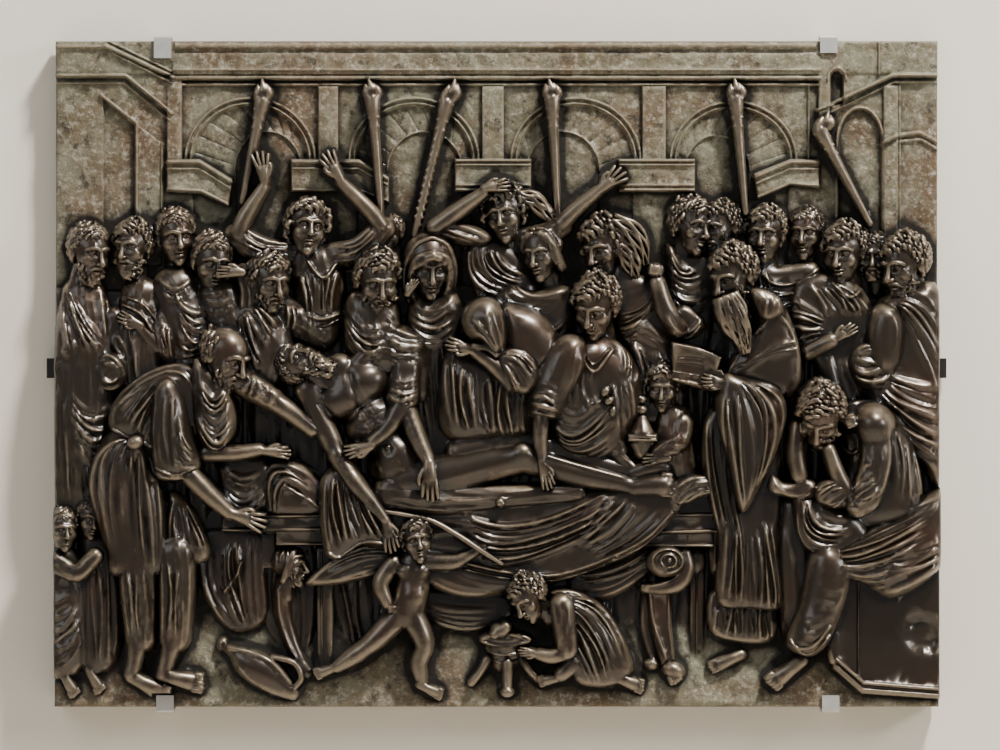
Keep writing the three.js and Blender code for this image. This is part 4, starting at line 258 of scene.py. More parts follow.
def slab(what, outline, h, slope=(0, 0), edge=1.0, soft=0.0):
    """Flat-topped piece over a polygon; slope is its rise per mm to the right and up, from its first corner."""
    p = np.array(outline, float)
    win = window(p[:, 0].min() - 3, p[:, 0].max() + 3, p[:, 1].min() - 3, p[:, 1].max() + 3)
    if win is None:
        return
    x, z = grid(win)
    near = np.full(clay[win].shape, 1e6, np.float32)
    inside = np.zeros(near.shape, bool)
    for a, b in zip(p, np.roll(p, -1, axis=0)):
        t, d = along(win, a, b)
        near = np.minimum(near, d)
        if a[1] != b[1]:
            side = (a[1] > z) != (b[1] > z)
            inside ^= side & (x < (b[0] - a[0]) * (z - a[1]) / (b[1] - a[1]) + a[0])
    s = np.where(inside, near, -near)
    plane = h + slope[0] * (x - p[0, 0]) + slope[1] * (z - p[0, 1])
    fall = np.clip(1 - s / max(edge, 0.01), 0, 1)
    drop = edge * (1 - np.sqrt(np.maximum(1 - fall * fall, 0))) + np.where(s < 0, -12 * s, 0)
    blend(win, plane - drop, soft, what)


def pose(turn, nod, tilt, squash):
    """World directions of a head's right, up and forward; turn + to the viewer's right, nod + down, tilt + clockwise."""
    a, b, c = (math.radians(v) for v in (turn, nod, tilt))
    right = np.array([math.cos(a), 0, -math.sin(a)])
    ahead = np.array([math.sin(a), 0, math.cos(a)])
    up = np.array([0, 1.0, 0])
    ahead, up = ahead * math.cos(b) - up * math.sin(b), up * math.cos(b) + ahead * math.sin(b)
    lean = np.array([[math.cos(c), math.sin(c), 0], [-math.sin(c), math.cos(c), 0], [0, 0, squash]])
    return np.stack([lean @ right, lean @ up, lean @ ahead], 1)


def ellipsoid(centre, axes, radii, soft, what):
    m = axes * np.array(radii, float)
    q = np.linalg.inv(m @ m.T + 1e-9 * np.eye(3))
    cov = m @ m.T
    rx, rz = 1.35 * math.sqrt(cov[0, 0]) + 0.6, 1.35 * math.sqrt(cov[1, 1]) + 0.6
    win = window(centre[0] - rx, centre[0] + rx, centre[1] - rz, centre[1] + rz)
    if win is None:
        return
    x, z = grid(win)
    dx, dz = x - centre[0], z - centre[1]
    lean = (q[2, 0] * dx + q[2, 1] * dz) / q[2, 2]
    c = q[0, 0] * dx * dx + 2 * q[0, 1] * dx * dz + q[1, 1] * dz * dz - 1
    w = 1 - (lean * lean - c / q[2, 2]) * q[2, 2]
    blend(win, centre[2] - lean + dome(np.sqrt(np.maximum(w, 0))) / math.sqrt(q[2, 2]), soft, what)


def press(centre, axes, radii, depth):
    """Hollow in the clay's surface near a point of a head."""
    m = axes * np.array(radii, float)
    cov = m @ m.T
    q = np.linalg.inv(cov[:2, :2] + 1e-6 * np.eye(2))
    rx, rz = 1.9 * math.sqrt(cov[0, 0]), 1.9 * math.sqrt(cov[1, 1])
    win = window(centre[0] - rx, centre[0] + rx, centre[1] - rz, centre[1] + rz)
    if win is None:
        return
    x, z = grid(win)
    dx, dz = x - centre[0], z - centre[1]
    w = q[0, 0] * dx * dx + 2 * q[0, 1] * dx * dz + q[1, 1] * dz * dz
    level = np.exp(-((clay[win] - centre[2]) / (2.5 * max(radii))) ** 2)
    clay[win] -= depth * np.exp(-1.4 * w) * level


def head(x, z, top, size, turn=0, nod=0, tilt=0, hair="curls", beard="", squash=0.85):
    """Head whose brow stands at height top; size is chin to crown."""
    axes = pose(turn, nod, tilt, squash)
    mid = np.array([x, z, top - 0.42 * size * squash])

    def at(r, u, f):
        return mid + axes @ (np.array([r, u, f]) * size)

    def ball(r, u, f, a, b, c, soft=0.05, what=SKIN):
        ellipsoid(at(r, u, f), axes, (a * size, b * size, c * size), soft * size, what)

    def strip(points, soft=0.03, what=SKIN, flat=0.9):
        tube([[*at(*p[:3]), p[3] * size] for p in points], flat, soft * size, what, 3)

    strip([(0, -0.22, -0.10, 0.19), (0, -0.72, -0.16, 0.20)])
    ball(0, 0.14, -0.07, 0.335, 0.36, 0.41)
    ball(0, -0.02, 0.10, 0.28, 0.36, 0.27)
    ball(0, -0.27, 0.13, 0.19, 0.20, 0.20)
    ball(0, -0.40, 0.265, 0.085, 0.085, 0.085, 0.09)
    for s in (-1, 1):
        ball(s * 0.165, -0.07, 0.215, 0.11, 0.105, 0.085, 0.12)
        ball(s * 0.325, -0.01, -0.05, 0.045, 0.10, 0.07, 0.02)
        strip([(s * 0.03, 0.155, 0.36, 0.035), (s * 0.13, 0.175, 0.34, 0.042), (s * 0.24, 0.12, 0.24, 0.03)], 0.05)
    for s in (-1, 1):
        press(at(s * 0.125, 0.07, 0.32), axes, (0.10 * size, 0.075 * size, 0.08 * size), 0.085 * size)
        ball(s * 0.130, 0.062, 0.262, 0.062, 0.048, 0.055, 0.0)
        strip([(s * 0.06, 0.06, 0.30, 0.014), (s * 0.13, 0.108, 0.318, 0.02), (s * 0.205, 0.06, 0.262, 0.014)], 0.01)
        strip([(s * 0.07, 0.035, 0.30, 0.011), (s * 0.13, 0.010, 0.306, 0.014), (s * 0.20, 0.04, 0.258, 0.011)], 0.01)
    strip([(0, 0.15, 0.345, 0.038), (0, 0.0, 0.42, 0.04), (0, -0.085, 0.475, 0.055)], 0.04)
    for s in (-1, 1):
        ball(s * 0.05, -0.105, 0.40, 0.035, 0.032, 0.05, 0.02)
        strip([(0, -0.205, 0.375, 0.026), (s * 0.05, -0.205, 0.362, 0.026), (s * 0.10, -0.225, 0.31, 0.012)], 0.02)
        strip([(0, -0.268, 0.368, 0.032), (s * 0.045, -0.263, 0.352, 0.028), (s * 0.09, -0.24, 0.31, 0.012)], 0.02)
    press(at(0, -0.235, 0.37), axes, (0.11 * size, 0.012 * size, 0.05 * size), 0.035 * size)
    press(at(0, -0.325, 0.33), axes, (0.07 * size, 0.025 * size, 0.05 * size), 0.03 * size)
    grow_hair(hair, at, ball, strip, axes, size)
    grow_beard(beard, at, ball, strip, axes, size)
    place()


def scatter(n):
    """Points spread evenly over a unit sphere."""
    for i in range(n):
        u = 1 - (2 * i + 1) / n
        a = 2.39996 * i
        yield math.sqrt(1 - u * u) * math.cos(a), u, math.sqrt(1 - u * u) * math.sin(a)


def lock(spot, axes, size, k, way):
    """Comma-shaped lock of hair lying over a point of a head, k times the head's size across."""
    along = axes @ np.array([math.cos(way), math.sin(way), 0.25]) * (1.3 * k * size)
    across = axes @ np.array([-math.sin(way), math.cos(way), -0.1]) * (0.9 * k * size)
    r = 0.62 * k * size
    tube([[*(spot - along + across), r], [*(spot - 0.2 * along - 0.4 * across), 1.15 * r],
          [*(spot + 0.8 * along - 0.2 * across), r], [*(spot + 0.9 * along + 0.8 * across), 0.7 * r]], 1.0, 0.0, HAIR, 1)


def grow_hair(style, at, ball, strip, axes, size):
    if style in ("curls", "side", "wild", "short"):
        big = {"curls": 0.050, "side": 0.048, "wild": 0.060, "short": 0.040}[style]
        out = {"curls": 1.06, "side": 1.0, "wild": 1.14, "short": 1.0}[style]
        n = int(0.62 / (big * big))
        if style != "side":
            ball(0, 0.22, -0.12, 0.34 * out, 0.30 * out, 0.36 * out, 0.0, HAIR)
        for i, (r, u, f) in enumerate(scatter(n)):
            if f > 0.42 and u < 0.50:
                continue
            if style == "side" and (u > 0.50 or f > 0.05):
                continue
            if (f > 0.05 and u < -0.15) or u < -0.75:
                continue
            wild = math.sin(12.9 * i) ** 2
            reach = out * (1 + (0.10 if style == "wild" else 0.05) * (wild - 0.5))
            spot = at(0.335 * reach * r, 0.14 + 0.37 * reach * u, -0.07 + 0.41 * reach * f)
            lock(spot, axes, size, big * (0.8 + 0.4 * wild), 2.4 * i + 1.3 * wild)
    if style in ("waves", "long", "band", "parted"):
        ball(0, 0.16, -0.10, 0.375, 0.38, 0.43, 0.0, HAIR)
        hair_waves(at, size, style)
        for s in (-1, 1):
            strip([(s * 0.22, 0.38, 0.16, 0.08), (s * 0.31, 0.14, 0.08, 0.085), (s * 0.33, -0.16, 0.0, 0.085),
                   (s * 0.34, -0.50 if style == "long" else -0.3, -0.05, 0.08)], 0.02, HAIR)
            strip([(s * 0.13, 0.44, 0.18, 0.06), (s * 0.29, 0.26, 0.16, 0.05), (s * 0.28, 0.02, 0.12, 0.05),
                   (s * 0.30, -0.18, 0.08, 0.04)], 0.0, HAIR)
    if style == "band":
        strip([(-0.33, 0.20, 0.05, 0.035), (-0.22, 0.30, 0.25, 0.035), (0, 0.32, 0.33, 0.035),
               (0.22, 0.30, 0.25, 0.035), (0.33, 0.20, 0.05, 0.035)], 0.0, CLOTH)
    if style in ("hood", "veil"):
        ball(0, 0.17, -0.14, 0.43, 0.45, 0.46, 0.0, CLOTH)
        strip([(-0.30, 0.12, 0.24, 0.07), (0, 0.36, 0.38, 0.08), (0.30, 0.12, 0.24, 0.07)], 0.04, CLOTH)
        for s in (-1, 1):
            strip([(0, 0.40, 0.34, 0.06), (s * 0.24, 0.30, 0.28, 0.06), (s * 0.33, 0.02, 0.20, 0.07),
                   (s * 0.32, -0.30, 0.12, 0.07), (s * 0.22, -0.60, 0.04, 0.07)], 0.02, CLOTH)
            strip([(s * 0.02, 0.60, 0.10, 0.03), (s * 0.28, 0.46, 0.10, 0.035), (s * 0.43, 0.06, 0.02, 0.04),
                   (s * 0.42, -0.35, -0.04, 0.045), (s * 0.34, -0.62, -0.04, 0.04)], 0.0, CLOTH)


def hair_waves(at, size, style):
    """Wavy ridges over the crown, from the parting down each side."""
    for s in (-1, 1):
        for j in range(5):
            f = 0.26 - 0.14 * j
            pts = []
            for i in range(7):
                t = i / 6
                a = 0.12 + 1.55 * t
                sway = 0.02 * math.sin(9 * t + 2 * j)
                r = 0.375 * math.sin(a)
                u = 0.16 + 0.38 * math.cos(a)
                k = math.sqrt(max(0.0, 1 - (f / 0.43) ** 2))
                pts.append([*at(s * r * k, 0.16 + (u - 0.16) * k, -0.10 + f + sway + 0.02), 0.03 * size])
            tube(pts, 0.9, 0.0, HAIR, 2)


def grow_beard(style, at, ball, strip, axes, size):
    if style in ("curls", "full", "short"):
        low = {"curls": -0.52, "full": -0.66, "short": -0.43}[style]
        rows = {"curls": 6, "full": 8, "short": 4}[style]
        for j in range(rows):
            t = j / (rows - 1)
            for i in range(9):
                a = -1.3 + 2.6 * i / 8 + 0.16 * (j % 2)
                if t < 0.3 and abs(a) < 0.75:
                    continue
                wide = 0.28 - 0.15 * t
                spot = at(wide * math.sin(a), -0.20 + (low + 0.20) * t + 0.04 * math.cos(a),
                          0.07 + 0.28 * math.cos(a) - 0.05 * t)
                lock(spot, axes, size, 0.042 + 0.010 * math.sin(8.7 * i + 3 * j), -1.5 + 0.9 * math.sin(5 * i + 2 * j))
        for s in (-1, 1):
            strip([(s * 0.015, -0.165, 0.40, 0.02), (s * 0.08, -0.185, 0.37, 0.03), (s * 0.15, -0.27, 0.27, 0.03)], 0.0, HAIR)
    if style == "long":
        for j in range(9):
            a = -1.2 + 2.4 * j / 8
            pts = []
            for i in range(8):
                t = i / 7
                wide = 0.25 * (1 - 0.55 * t)
                sway = 0.03 * math.sin(8 * t + 1.7 * j)
                pts.append((wide * math.sin(a) + sway, -0.18 - 0.95 * t * (1 - 0.25 * abs(a) / 1.2),
                            0.08 + 0.26 * math.cos(a) - 0.06 * t, 0.045 - 0.015 * t))
            strip(pts, 0.0, HAIR)
        for s in (-1, 1):
            strip([(s * 0.015, -0.165, 0.40, 0.022), (s * 0.09, -0.20, 0.36, 0.035), (s * 0.16, -0.34, 0.27, 0.03)], 0.0, HAIR)


def tress(nodes, n):
    """Mass of n wavy strands of hair flowing along the nodes, each x, z, height and half width."""
    pts = spline(nodes, 4)
    d = np.gradient(pts[:, :2], axis=0)
    d /= np.maximum(np.hypot(*d.T), 1e-6)[:, None]
    t = np.linspace(0, 1, len(pts))
    for i in range(2 * n):
        k = (i % n + 0.5) / n * 2 - 1
        sway = k * pts[:, 3] + (0.9 - 0.3 * (i // n)) * np.sin(9 * t + 2.3 * i)
        rise = 0.8 * np.sqrt(max(0.05, 1 - k * k)) * pts[:, 3] * 0.5 + 0.5 * np.sin(7 * t + 1.7 * i)
        tube(np.stack([pts[:, 0] - d[:, 1] * sway, pts[:, 1] + d[:, 0] * sway, pts[:, 2] + rise,
                       np.clip(pts[:, 3] * 1.3 / n, 0.6, 1.3) * (1 - 0.5 * t)], 1), 0.9, 0.0, HAIR, 1)
    place()


def hand(x, z, h, size, way, curl_in=0.0, thumb=1, spread=9):
    """Open hand: palm at (x, z), fingers pointing along way (degrees, 0 right, 90 up)."""
    def local(along_mm, side_mm):
        a = math.radians(way)
        return x + along_mm * math.cos(a) - side_mm * math.sin(a), z + along_mm * math.sin(a) + side_mm * math.cos(a)
    p = size
    px, pz = local(0, 0)
    flesh([[*local(-0.28 * p, 0), h, 0.17 * p], [*local(0.1 * p, 0), h, 0.22 * p]], 0.7, 0.15 * p)
    for i in range(4):
        side = (i - 1.5) * 0.115 * p
        a = math.radians(way + (i - 1.5) * spread)
        reach = (0.52, 0.6, 0.57, 0.46)[i] * p if thumb > 0 else (0.46, 0.57, 0.6, 0.52)[i] * p
        bx, bz = local(0.2 * p, side)
        mx, mz = bx + 0.5 * reach * math.cos(a), bz + 0.5 * reach * math.sin(a)
        ex, ez = bx + reach * math.cos(a), bz + reach * math.sin(a)
        flesh([[bx, bz, h + 0.03 * p, 0.062 * p], [mx, mz, h + 0.07 * p, 0.056 * p],
               [ex, ez, h + 0.02 * p - curl_in * p, 0.045 * p]], 0.9, 0.02 * p)
    s = thumb
    flesh([[*local(-0.12 * p, s * 0.16 * p), h, 0.08 * p], [*local(0.12 * p, s * 0.30 * p), h + 0.05 * p, 0.065 * p],
           [*local(0.30 * p, s * 0.30 * p), h + 0.05 * p, 0.05 * p]], 0.9, 0.03 * p)
    place()


def fist(x, z, h, size, way):
    """Closed hand: fingers folded across the way direction."""
    a = math.radians(way)
    c, s = math.cos(a), math.sin(a)
    blob(SKIN, x, z, h, 0.30 * size, 0.27 * size, 0.22 * size, 0, 0.1 * size)
    for i in range(4):
        k = (i - 1.5) * 0.135 * size
        bx, bz = x - s * k, z + c * k
        flesh([[bx - 0.12 * size * c, bz - 0.12 * size * s, h + 0.16 * size, 0.07 * size],
               [bx + 0.16 * size * c, bz + 0.16 * size * s, h + 0.15 * size, 0.068 * size]], 0.9, 0.01 * size)
    place()


def foot(x, z, h, size, way, toes=5):
    """Bare foot: heel at (x, z), toes along way; size is its length."""
    a = math.radians(way)
    c, s = math.cos(a), math.sin(a)

    def spot(forward, side):
        return x + size * (forward * c - side * s), z + size * (forward * s + side * c)

    flesh([[*spot(-0.04, 0), h, 0.16 * size], [*spot(0.3, 0), h + 0.05 * size, 0.17 * size],
           [*spot(0.66, 0), h - 0.02 * size, 0.22 * size]], 0.75, 2)
    toe_row(*spot(0.80, 0), h + 0.04 * size, 0.24 * size, way, toes)
    place()


def toe_row(x, z, h, size, way, toes=5):
    """Row of toes across the end of a foot, each as long as size."""
    a = math.radians(way)
    c, s = math.cos(a), math.sin(a)
    for i in range(toes):
        side = (i - (toes - 1) / 2) * 0.42 * size
        bx, bz = x - side * s, z + side * c
        long = size * (0.85 - 0.10 * abs(i - 1))
        flesh([[bx, bz, h, 0.25 * size], [bx + 0.6 * long * c, bz + 0.6 * long * s, h + 0.06 * size, 0.22 * size],
               [bx + long * c, bz + long * s, h, 0.24 * size]], 0.9, 0.3)


def join(a, b):
    return a + b


def wall(level):
    clay[:] = level
    clay_kind[:] = WALL
    touched.append((0, nz, 0, nx))


def moulding(points, wide, high, sharp=3.0):
    pts = np.array(points, float)
    n = len(pts)
    strokes([(pts, np.full(n, float(wide)), np.full(n, float(high)))], sharp)


def recess(outline, depth, soft=1.2):
    p = np.array(outline, float)
    win = window(p[:, 0].min() - soft, p[:, 0].max() + soft, p[:, 1].min() - soft, p[:, 1].max() + soft)
    x, z = grid(win)
    near = np.full(clay[win].shape, 1e6, np.float32)
    inside = np.zeros(near.shape, bool)
    for a, b in zip(p, np.roll(p, -1, axis=0)):
        t, d = along(win, a, b)
        near = np.minimum(near, d)
        if a[1] != b[1]:
            side = (a[1] > z) != (b[1] > z)
            inside ^= side & (x < (b[0] - a[0]) * (z - a[1]) / (b[1] - a[1]) + a[0])
    clay[win] -= depth * np.clip(np.where(inside, near, 0) / soft, 0, 1)


def oval(cx, cz, rx, rz, a0, a1, n=24):
    """Points along an ellipse from angle a0 to a1, degrees, 0 to the right, 90 up."""
    out = []
    for i in range(n + 1):
        a = math.radians(a0 + (a1 - a0) * i / n)
        out.append([cx + rx * math.cos(a), cz + rz * math.sin(a)])
    return out


def arch(cx, base, rx, rz, shift):
    """Round arch over an opening seen a little from one side: rings, jointed soffit and the wall beyond."""
    recess(oval(cx, base, rx - 4, rz - 4, 0, 180) + [[cx - rx + 4, base - 70], [cx + rx - 4, base - 70]], 1.2, 0.8)
    far = rx - 12 - 0.6 * abs(shift)
    recess(oval(cx + shift, base - 6, far, rz - 13, 0, 180) + [[cx + shift - far, base - 70], [cx + shift + far, base - 70]],
           2.6, 1.0)
    moulding(oval(cx, base, rx, rz, 0, 180), 1.0, 1.9)
    moulding(oval(cx, base, rx - 2.8, rz - 2.8, 0, 180), 0.8, 1.3)
    moulding(oval(cx + shift, base - 6, far + 0.6, rz - 12.4, 0, 180), 0.7, 0.8)
    for i in range(10):
        a = math.radians(180 * (i + 0.5) / 10)
        c, s = math.cos(a), math.sin(a)
        moulding([[cx + (rx - 4.4) * c, base + (rz - 4.4) * s],
                  [cx + shift + (far + 1) * c, base - 6 + (rz - 12) * s]], 0.5, -0.4)


def torch(path, flame, twisted=False):
    """Burning torch: shaft from the cup down to the hand, ringed cup and a flame of three tongues."""
    (x1, z1, h1), (x0, z0, h0) = path
    dx, dz = x1 - x0, z1 - z0
    n = math.hypot(dx, dz)
    ux, uz = dx / n, dz / n

    def spot(down, side):
        return x1 - down * ux + side * uz, z1 - down * uz - side * ux

    tube([[*spot(0, 0), h1, 3.0], [*spot(12, 0), h1, 2.6], [x0, z0, h0, 1.5]], 0.9, 0.5, WOOD)
    tube([[*spot(-5, 0), h1, 4.0], [*spot(3, 0), h1, 3.2]], 0.9, 0.5, WOOD)
    for down, wide in ((-5, 3.6), (0, 3.0), (5, 2.6), (10, 2.2)):
        tube([[*spot(down, -wide), h1 + 1.2, 0.8], [*spot(down, wide), h1 + 1.2, 0.8]], 1, 0.3, WOOD)
    if twisted:
        for i in range(int((n - 18) / 4.4)):
            down = 16 + 4.4 * i
            tube([[*spot(down, -1.6), h1 + 1.2, 1.0], [*spot(down + 4.2, 1.6), h1 + 1.2, 1.0]], 1, 0.2, WOOD)
    fx, fz = flame
    tx, tz = spot(-5, 0)
    for side, tall in ((-1, 0.75), (1, 0.8), (0, 1.0)):
        tip = (tx + (fx - tx) * tall + side * 2.2, tz + (fz - tz) * tall)
        tube([[tx + side * 1.6, tz + 1, h1, 2.4], [(tx + tip[0]) / 2 + side * 2.0 + 0.8, (tz + tip[1]) / 2, h1 + 0.6, 2.2],
              [tip[0], tip[1], h1, 0.5]], 0.8, 0.4, HAIR)
    place()


def closed(points, per=4):
    """Smooth closed curve through the points."""
    p = np.array(points, float)
    n = len(p)
    out = []
    for i in range(n):
        p0, p1, p2, p3 = p[i - 1], p[i], p[(i + 1) % n], p[(i + 2) % n]
        for j in range(per):
            t = j / per
            out.append(0.5 * (2 * p1 + (p2 - p0) * t + (2 * p0 - 5 * p1 + 4 * p2 - p3) * t * t
                              + (3 * p1 - p0 - 3 * p2 + p3) * t ** 3))
    return out


def drape(outline, h, edge=6.0, slope=(0, 0), soft=2.0):
    """Cushion-edged mass of cloth with a smooth outline and its top at height h."""
    slab(CLOTH, closed(outline), h, slope, edge, soft)


# ---------------------------------------------------------------- the scene, from back to front

# wall, floor and frame
wall(2.0)
slab(WALL, [[-246, -118], [246, -118], [246, -190], [-246, -190]], 2.0, [0, -0.17], 0.1)
slab(WALL, [[-246, -180.5], [246, -180.5], [246, -190], [-246, -190]], 13.0, [0, 0], 1.0)
slab(WALL, [[-246, 190], [246, 190], [246, 166], [-246, 166]], 5.0, [0, 0], 2.0)
moulding([[-180, 182.0], [180, 182.0]], 2.2, 2.0)
moulding([[-246, 181.5], [-218, 181.5]], 1.5, 2.0)
slab(WALL, [[-180, 178], [180, 178], [180, 166], [-180, 166]], 6.0, [0, 0], 1.0)
moulding([[-180, 164.3], [180, 164.3]], 1.9, 4.5)
moulding([[-180, 160.6], [180, 160.6]], 1.1, 2.6)
moulding([[-180, 168.6], [180, 168.6]], 0.9, 1.2)
arch(-137, 118.5, 36, 34.5, 10)
arch(-46, 118.5, 36, 34.5, 6)
arch(44, 118.5, 36, 34.5, -7)
arch(131.6, 118.5, 35, 32.5, -9)
slab(WALL, [[-99, 159.5], [-88, 159.5], [-88, 118], [-99, 118]], 5.0, [0, 0], 0.6)
slab(WALL, [[-8, 159.5], [4, 159.5], [4, 118], [-8, 118]], 5.0, [0, 0], 0.6)
slab(WALL, [[81, 159.5], [94, 159.5], [94, 118], [81, 118]], 5.0, [0, 0], 0.6)
slab(WALL, [[-183, 164], [-175, 164], [-175, 118], [-183, 118]], 5.0, [0, 0], 0.6)
moulding([[173.4, 160], [173.4, 119]], 0.8, 1.6)
# imposts of the arches
slab(WALL, [[-183, 119], [-165, 119], [-147, 108], [-149, 93], [-164, 100], [-183, 101]], 6.0, [0, 0], 1.0)
moulding([[-183, 117.5], [-165, 117.5], [-147.5, 106.5]], 1.5, 2.6)
moulding([[-183, 113.6], [-165, 113.6], [-148, 103]], 0.9, 1.6)
moulding([[-183, 102.5], [-164, 101.5], [-149, 94]], 1.0, 1.8)
slab(WALL, [[-114, 119], [-76, 119], [-60, 109], [-60, 95], [-77, 101], [-114, 101]], 6.0, [0, 0], 1.0)
moulding([[-114, 117.6], [-76.5, 117.6], [-60, 108]], 1.5, 2.6)
moulding([[-113, 113.8], [-76.5, 113.8], [-60, 104.5]], 0.9, 1.6)
moulding([[-113, 102], [-76.5, 102], [-60, 96]], 1.0, 1.8)
slab(WALL, [[-23, 119], [19, 119], [19, 101], [-23, 101]], 6.0, [0, 0], 1.0)
moulding([[-23, 118.4], [19, 118.4]], 1.2, 2.4)
moulding([[-23, 115.8], [19, 115.8]], 0.9, 1.8)
moulding([[-23, 104.6], [19, 104.6]], 0.9, 1.6)
moulding([[-23, 102], [19, 102]], 1.0, 1.8)
slab(WALL, [[68, 119], [110, 119], [110, 101], [68, 101]], 6.0, [0, 0], 1.0)
moulding([[68, 118.4], [110, 118.4]], 1.2, 2.4)
moulding([[68, 115.8], [110, 115.8]], 0.9, 1.8)
moulding([[68, 104.6], [110, 104.6]], 0.9, 1.6)
moulding([[68, 102], [110, 102]], 1.0, 1.8)
slab(WALL, [[143, 111], [163, 119], [179, 119], [179, 103], [163, 105], [145, 97]], 6.0, [0, 0], 1.0)
moulding([[143, 109], [163, 117.4], [179, 117.4]], 1.5, 2.6)
moulding([[144, 105.5], [163, 113.6], [179, 113.6]], 0.9, 1.6)
moulding([[145, 97.8], [163, 105.5], [179, 104.5]], 1.0, 1.8)
# left wing: cornices running back, door
slab(WALL, [[-246, 190], [-217, 190], [-217, 181], [-180, 163], [-180, 144], [-206, 165],
    [-246, 165]], 4.0, [0, 0], 1.0)
moulding([[-217, 182], [-179.5, 164.5]], 1.5, 3.0)
moulding([[-214, 178.3], [-180.5, 161.5]], 0.9, 2.0)
moulding([[-218, 186], [-181, 168]], 0.9, 1.4)
moulding([[-246, 165.3], [-206, 165.3], [-180.5, 144.5]], 1.4, 2.6)
moulding([[-246, 161.5], [-207, 161.5], [-182, 141]], 0.9, 1.7)
recess([[-219, 153], [-201, 138], [-201, 60], [-219, 60]], 3.5)
moulding([[-220, 155], [-200, 139], [-200, 78]], 1.1, 1.8)
slab(WALL, [[-199.5, 138], [-186, 128], [-186, 60], [-199.5, 60]], 3.6, [0, 0], 0.8)
moulding([[-186, 128], [-186, 70]], 0.8, 1.4)
# right wing: window, niche, jamb
slab(WALL, [[178.5, 145], [220, 165], [246, 165], [246, 190], [212, 190], [212, 183],
    [180, 168]], 4.0, [0, 0], 1.0)
moulding([[178.5, 146.3], [220, 165.6], [246, 165.6]], 1.5, 2.8)
moulding([[180, 142.6], [221, 162], [246, 162]], 0.9, 1.8)
moulding([[212.4, 184], [212.4, 166]], 0.9, 1.6)
slab(WALL, [[179, 175], [185, 175], [185, 144], [179, 141]], 5.4, [0, 0], 0.8)
recess(join(oval(189, 163, 4, 5.5, 0, 180), [[185, 148], [193, 150]]), 4.5)
moulding(oval(189, 163, 5.2, 6.8, 0, 180), 0.8, 1.2)
recess(join(oval(202, 128, 12, 19, 0, 180), [[190, 60], [214, 60]]), 3.6)
moulding(join(join([[189, 70]], oval(202, 128, 13, 20, 180, 0)), [[215, 70]]), 1.1, 1.8)
moulding(join(join([[194, 90]], oval(202, 116, 8, 12, 180, 0)), [[210, 90]]), 0.9, 1.2)
slab(WALL, [[215, 160], [223, 160], [223, 70], [215, 70]], 4.6, [0, 0], 0.8)
moulding([[212, 127], [222, 132], [235, 134], [246, 128]], 1.6, 2.2)
moulding([[224, 129], [236, 130], [246, 124]], 1.2, 1.4)
moulding([[224, 160], [224, 80]], 0.9, 1.4)
place()

# torches
torch([[-131, 146, 12], [-141, 95, 13]], [-130, 163])
torch([[-68.5, 147, 12], [-64, 88, 13]], [-71, 163])
torch([[-29, 145, 12], [-45.5, 77, 13]], [-23, 163], 1)
torch([[31, 147, 12], [34, 86, 13]], [29, 163])
torch([[133, 147, 12], [138, 89, 13]], [132, 163])
torch([[182, 130, 12], [207, 83, 14]], [184, 145])

# elder at the far left, his cloak gathered in his arm
cloth([[-229, 42, 5, 13], [-228, 12, 7, 19], [-230, -30, 7, 18], [-233, -72, 5, 14]])
folds([[-243, 50], [-240, 30], [-237, 12]], [[-238, 52], [-226, 28], [-212, 14]], 7, 3.2)
folds([[-219, 46], [-217, 30], [-216, 14]], [[-209, 44], [-209, 28], [-210, 12]], 3, 3.0)
folds([[-244, 0], [-244, -30], [-244, -74]], [[-238, -6], [-238, -34], [-236, -74]], 3, 3.0)
folds([[-237, -8], [-224, -22], [-208, -14]], [[-234, -34], [-225, -48], [-219, -50]], 7, 3.4)
folds([[-234, -46], [-231, -60], [-230, -74]], [[-224, -52], [-222, -62], [-221, -74]], 3, 2.6)
place()
cloth([[-212, 30, 10, 7], [-206, 10, 12, 6], [-201, -10, 10, 7]])
folds([[-206, 30], [-203, 14], [-200, 0]], [[-215, 24], [-211, 14], [-208, 10]], 3, 2.4)
place()
blob(CLOTH, -214, 1, 14, 11, 11, 9, 0, 1)
folds([[-224, 8], [-213, 14], [-203, 4]], [[-218, 4], [-213, 6], [-209, 2]], 3, 3.0)
folds([[-226, -2], [-216, -12], [-203, -6]], [[-219, -1], [-214, -5], [-209, -2]], 3, 3.0)
blob(CLOTH, -214.5, 1, 18, 4.6, 4.2, 5, 0, 1)
place()
cloth([[-243, 4, 12, 6], [-237, 8, 14, 5]])
place()
head(-226, 66, 21, 31, 38, 10, 4, "short", "curls")
hand(-233, 13, 18, 17, 12, 0.0, -1, 4)
# elder beside him, his hand at his chest
cloth([[-197, 42, 7, 12], [-197, 8, 9, 13], [-198, -18, 8, 12]])
folds([[-208, 38], [-207, 14], [-204, -14]], [[-202, 24], [-200, 8], [-198, -14]], 4, 3.0)
ridge([[-207, 38], [-197, 33], [-189, 22]], 1.5, 2.6)
ridge([[-204, 42], [-195, 38], [-187, 28]], 1.2, 2.0)
place()
cloth([[-184, 30, 12, 6], [-184, 18, 14, 7], [-180, 8, 14, 5]])
folds([[-190, 30], [-188, 20], [-184, 6]], [[-177, 26], [-178, 16], [-176, 6]], 5, 2.6)
place()
flesh([[-187, 14, 15, 4.0], [-197, 25, 17, 3.2]])
head(-202, 69, 20, 29, -26, 8, 0, "curls", "curls")
hand(-200, 28, 19, 13, 155, 0.0, 1, 4)
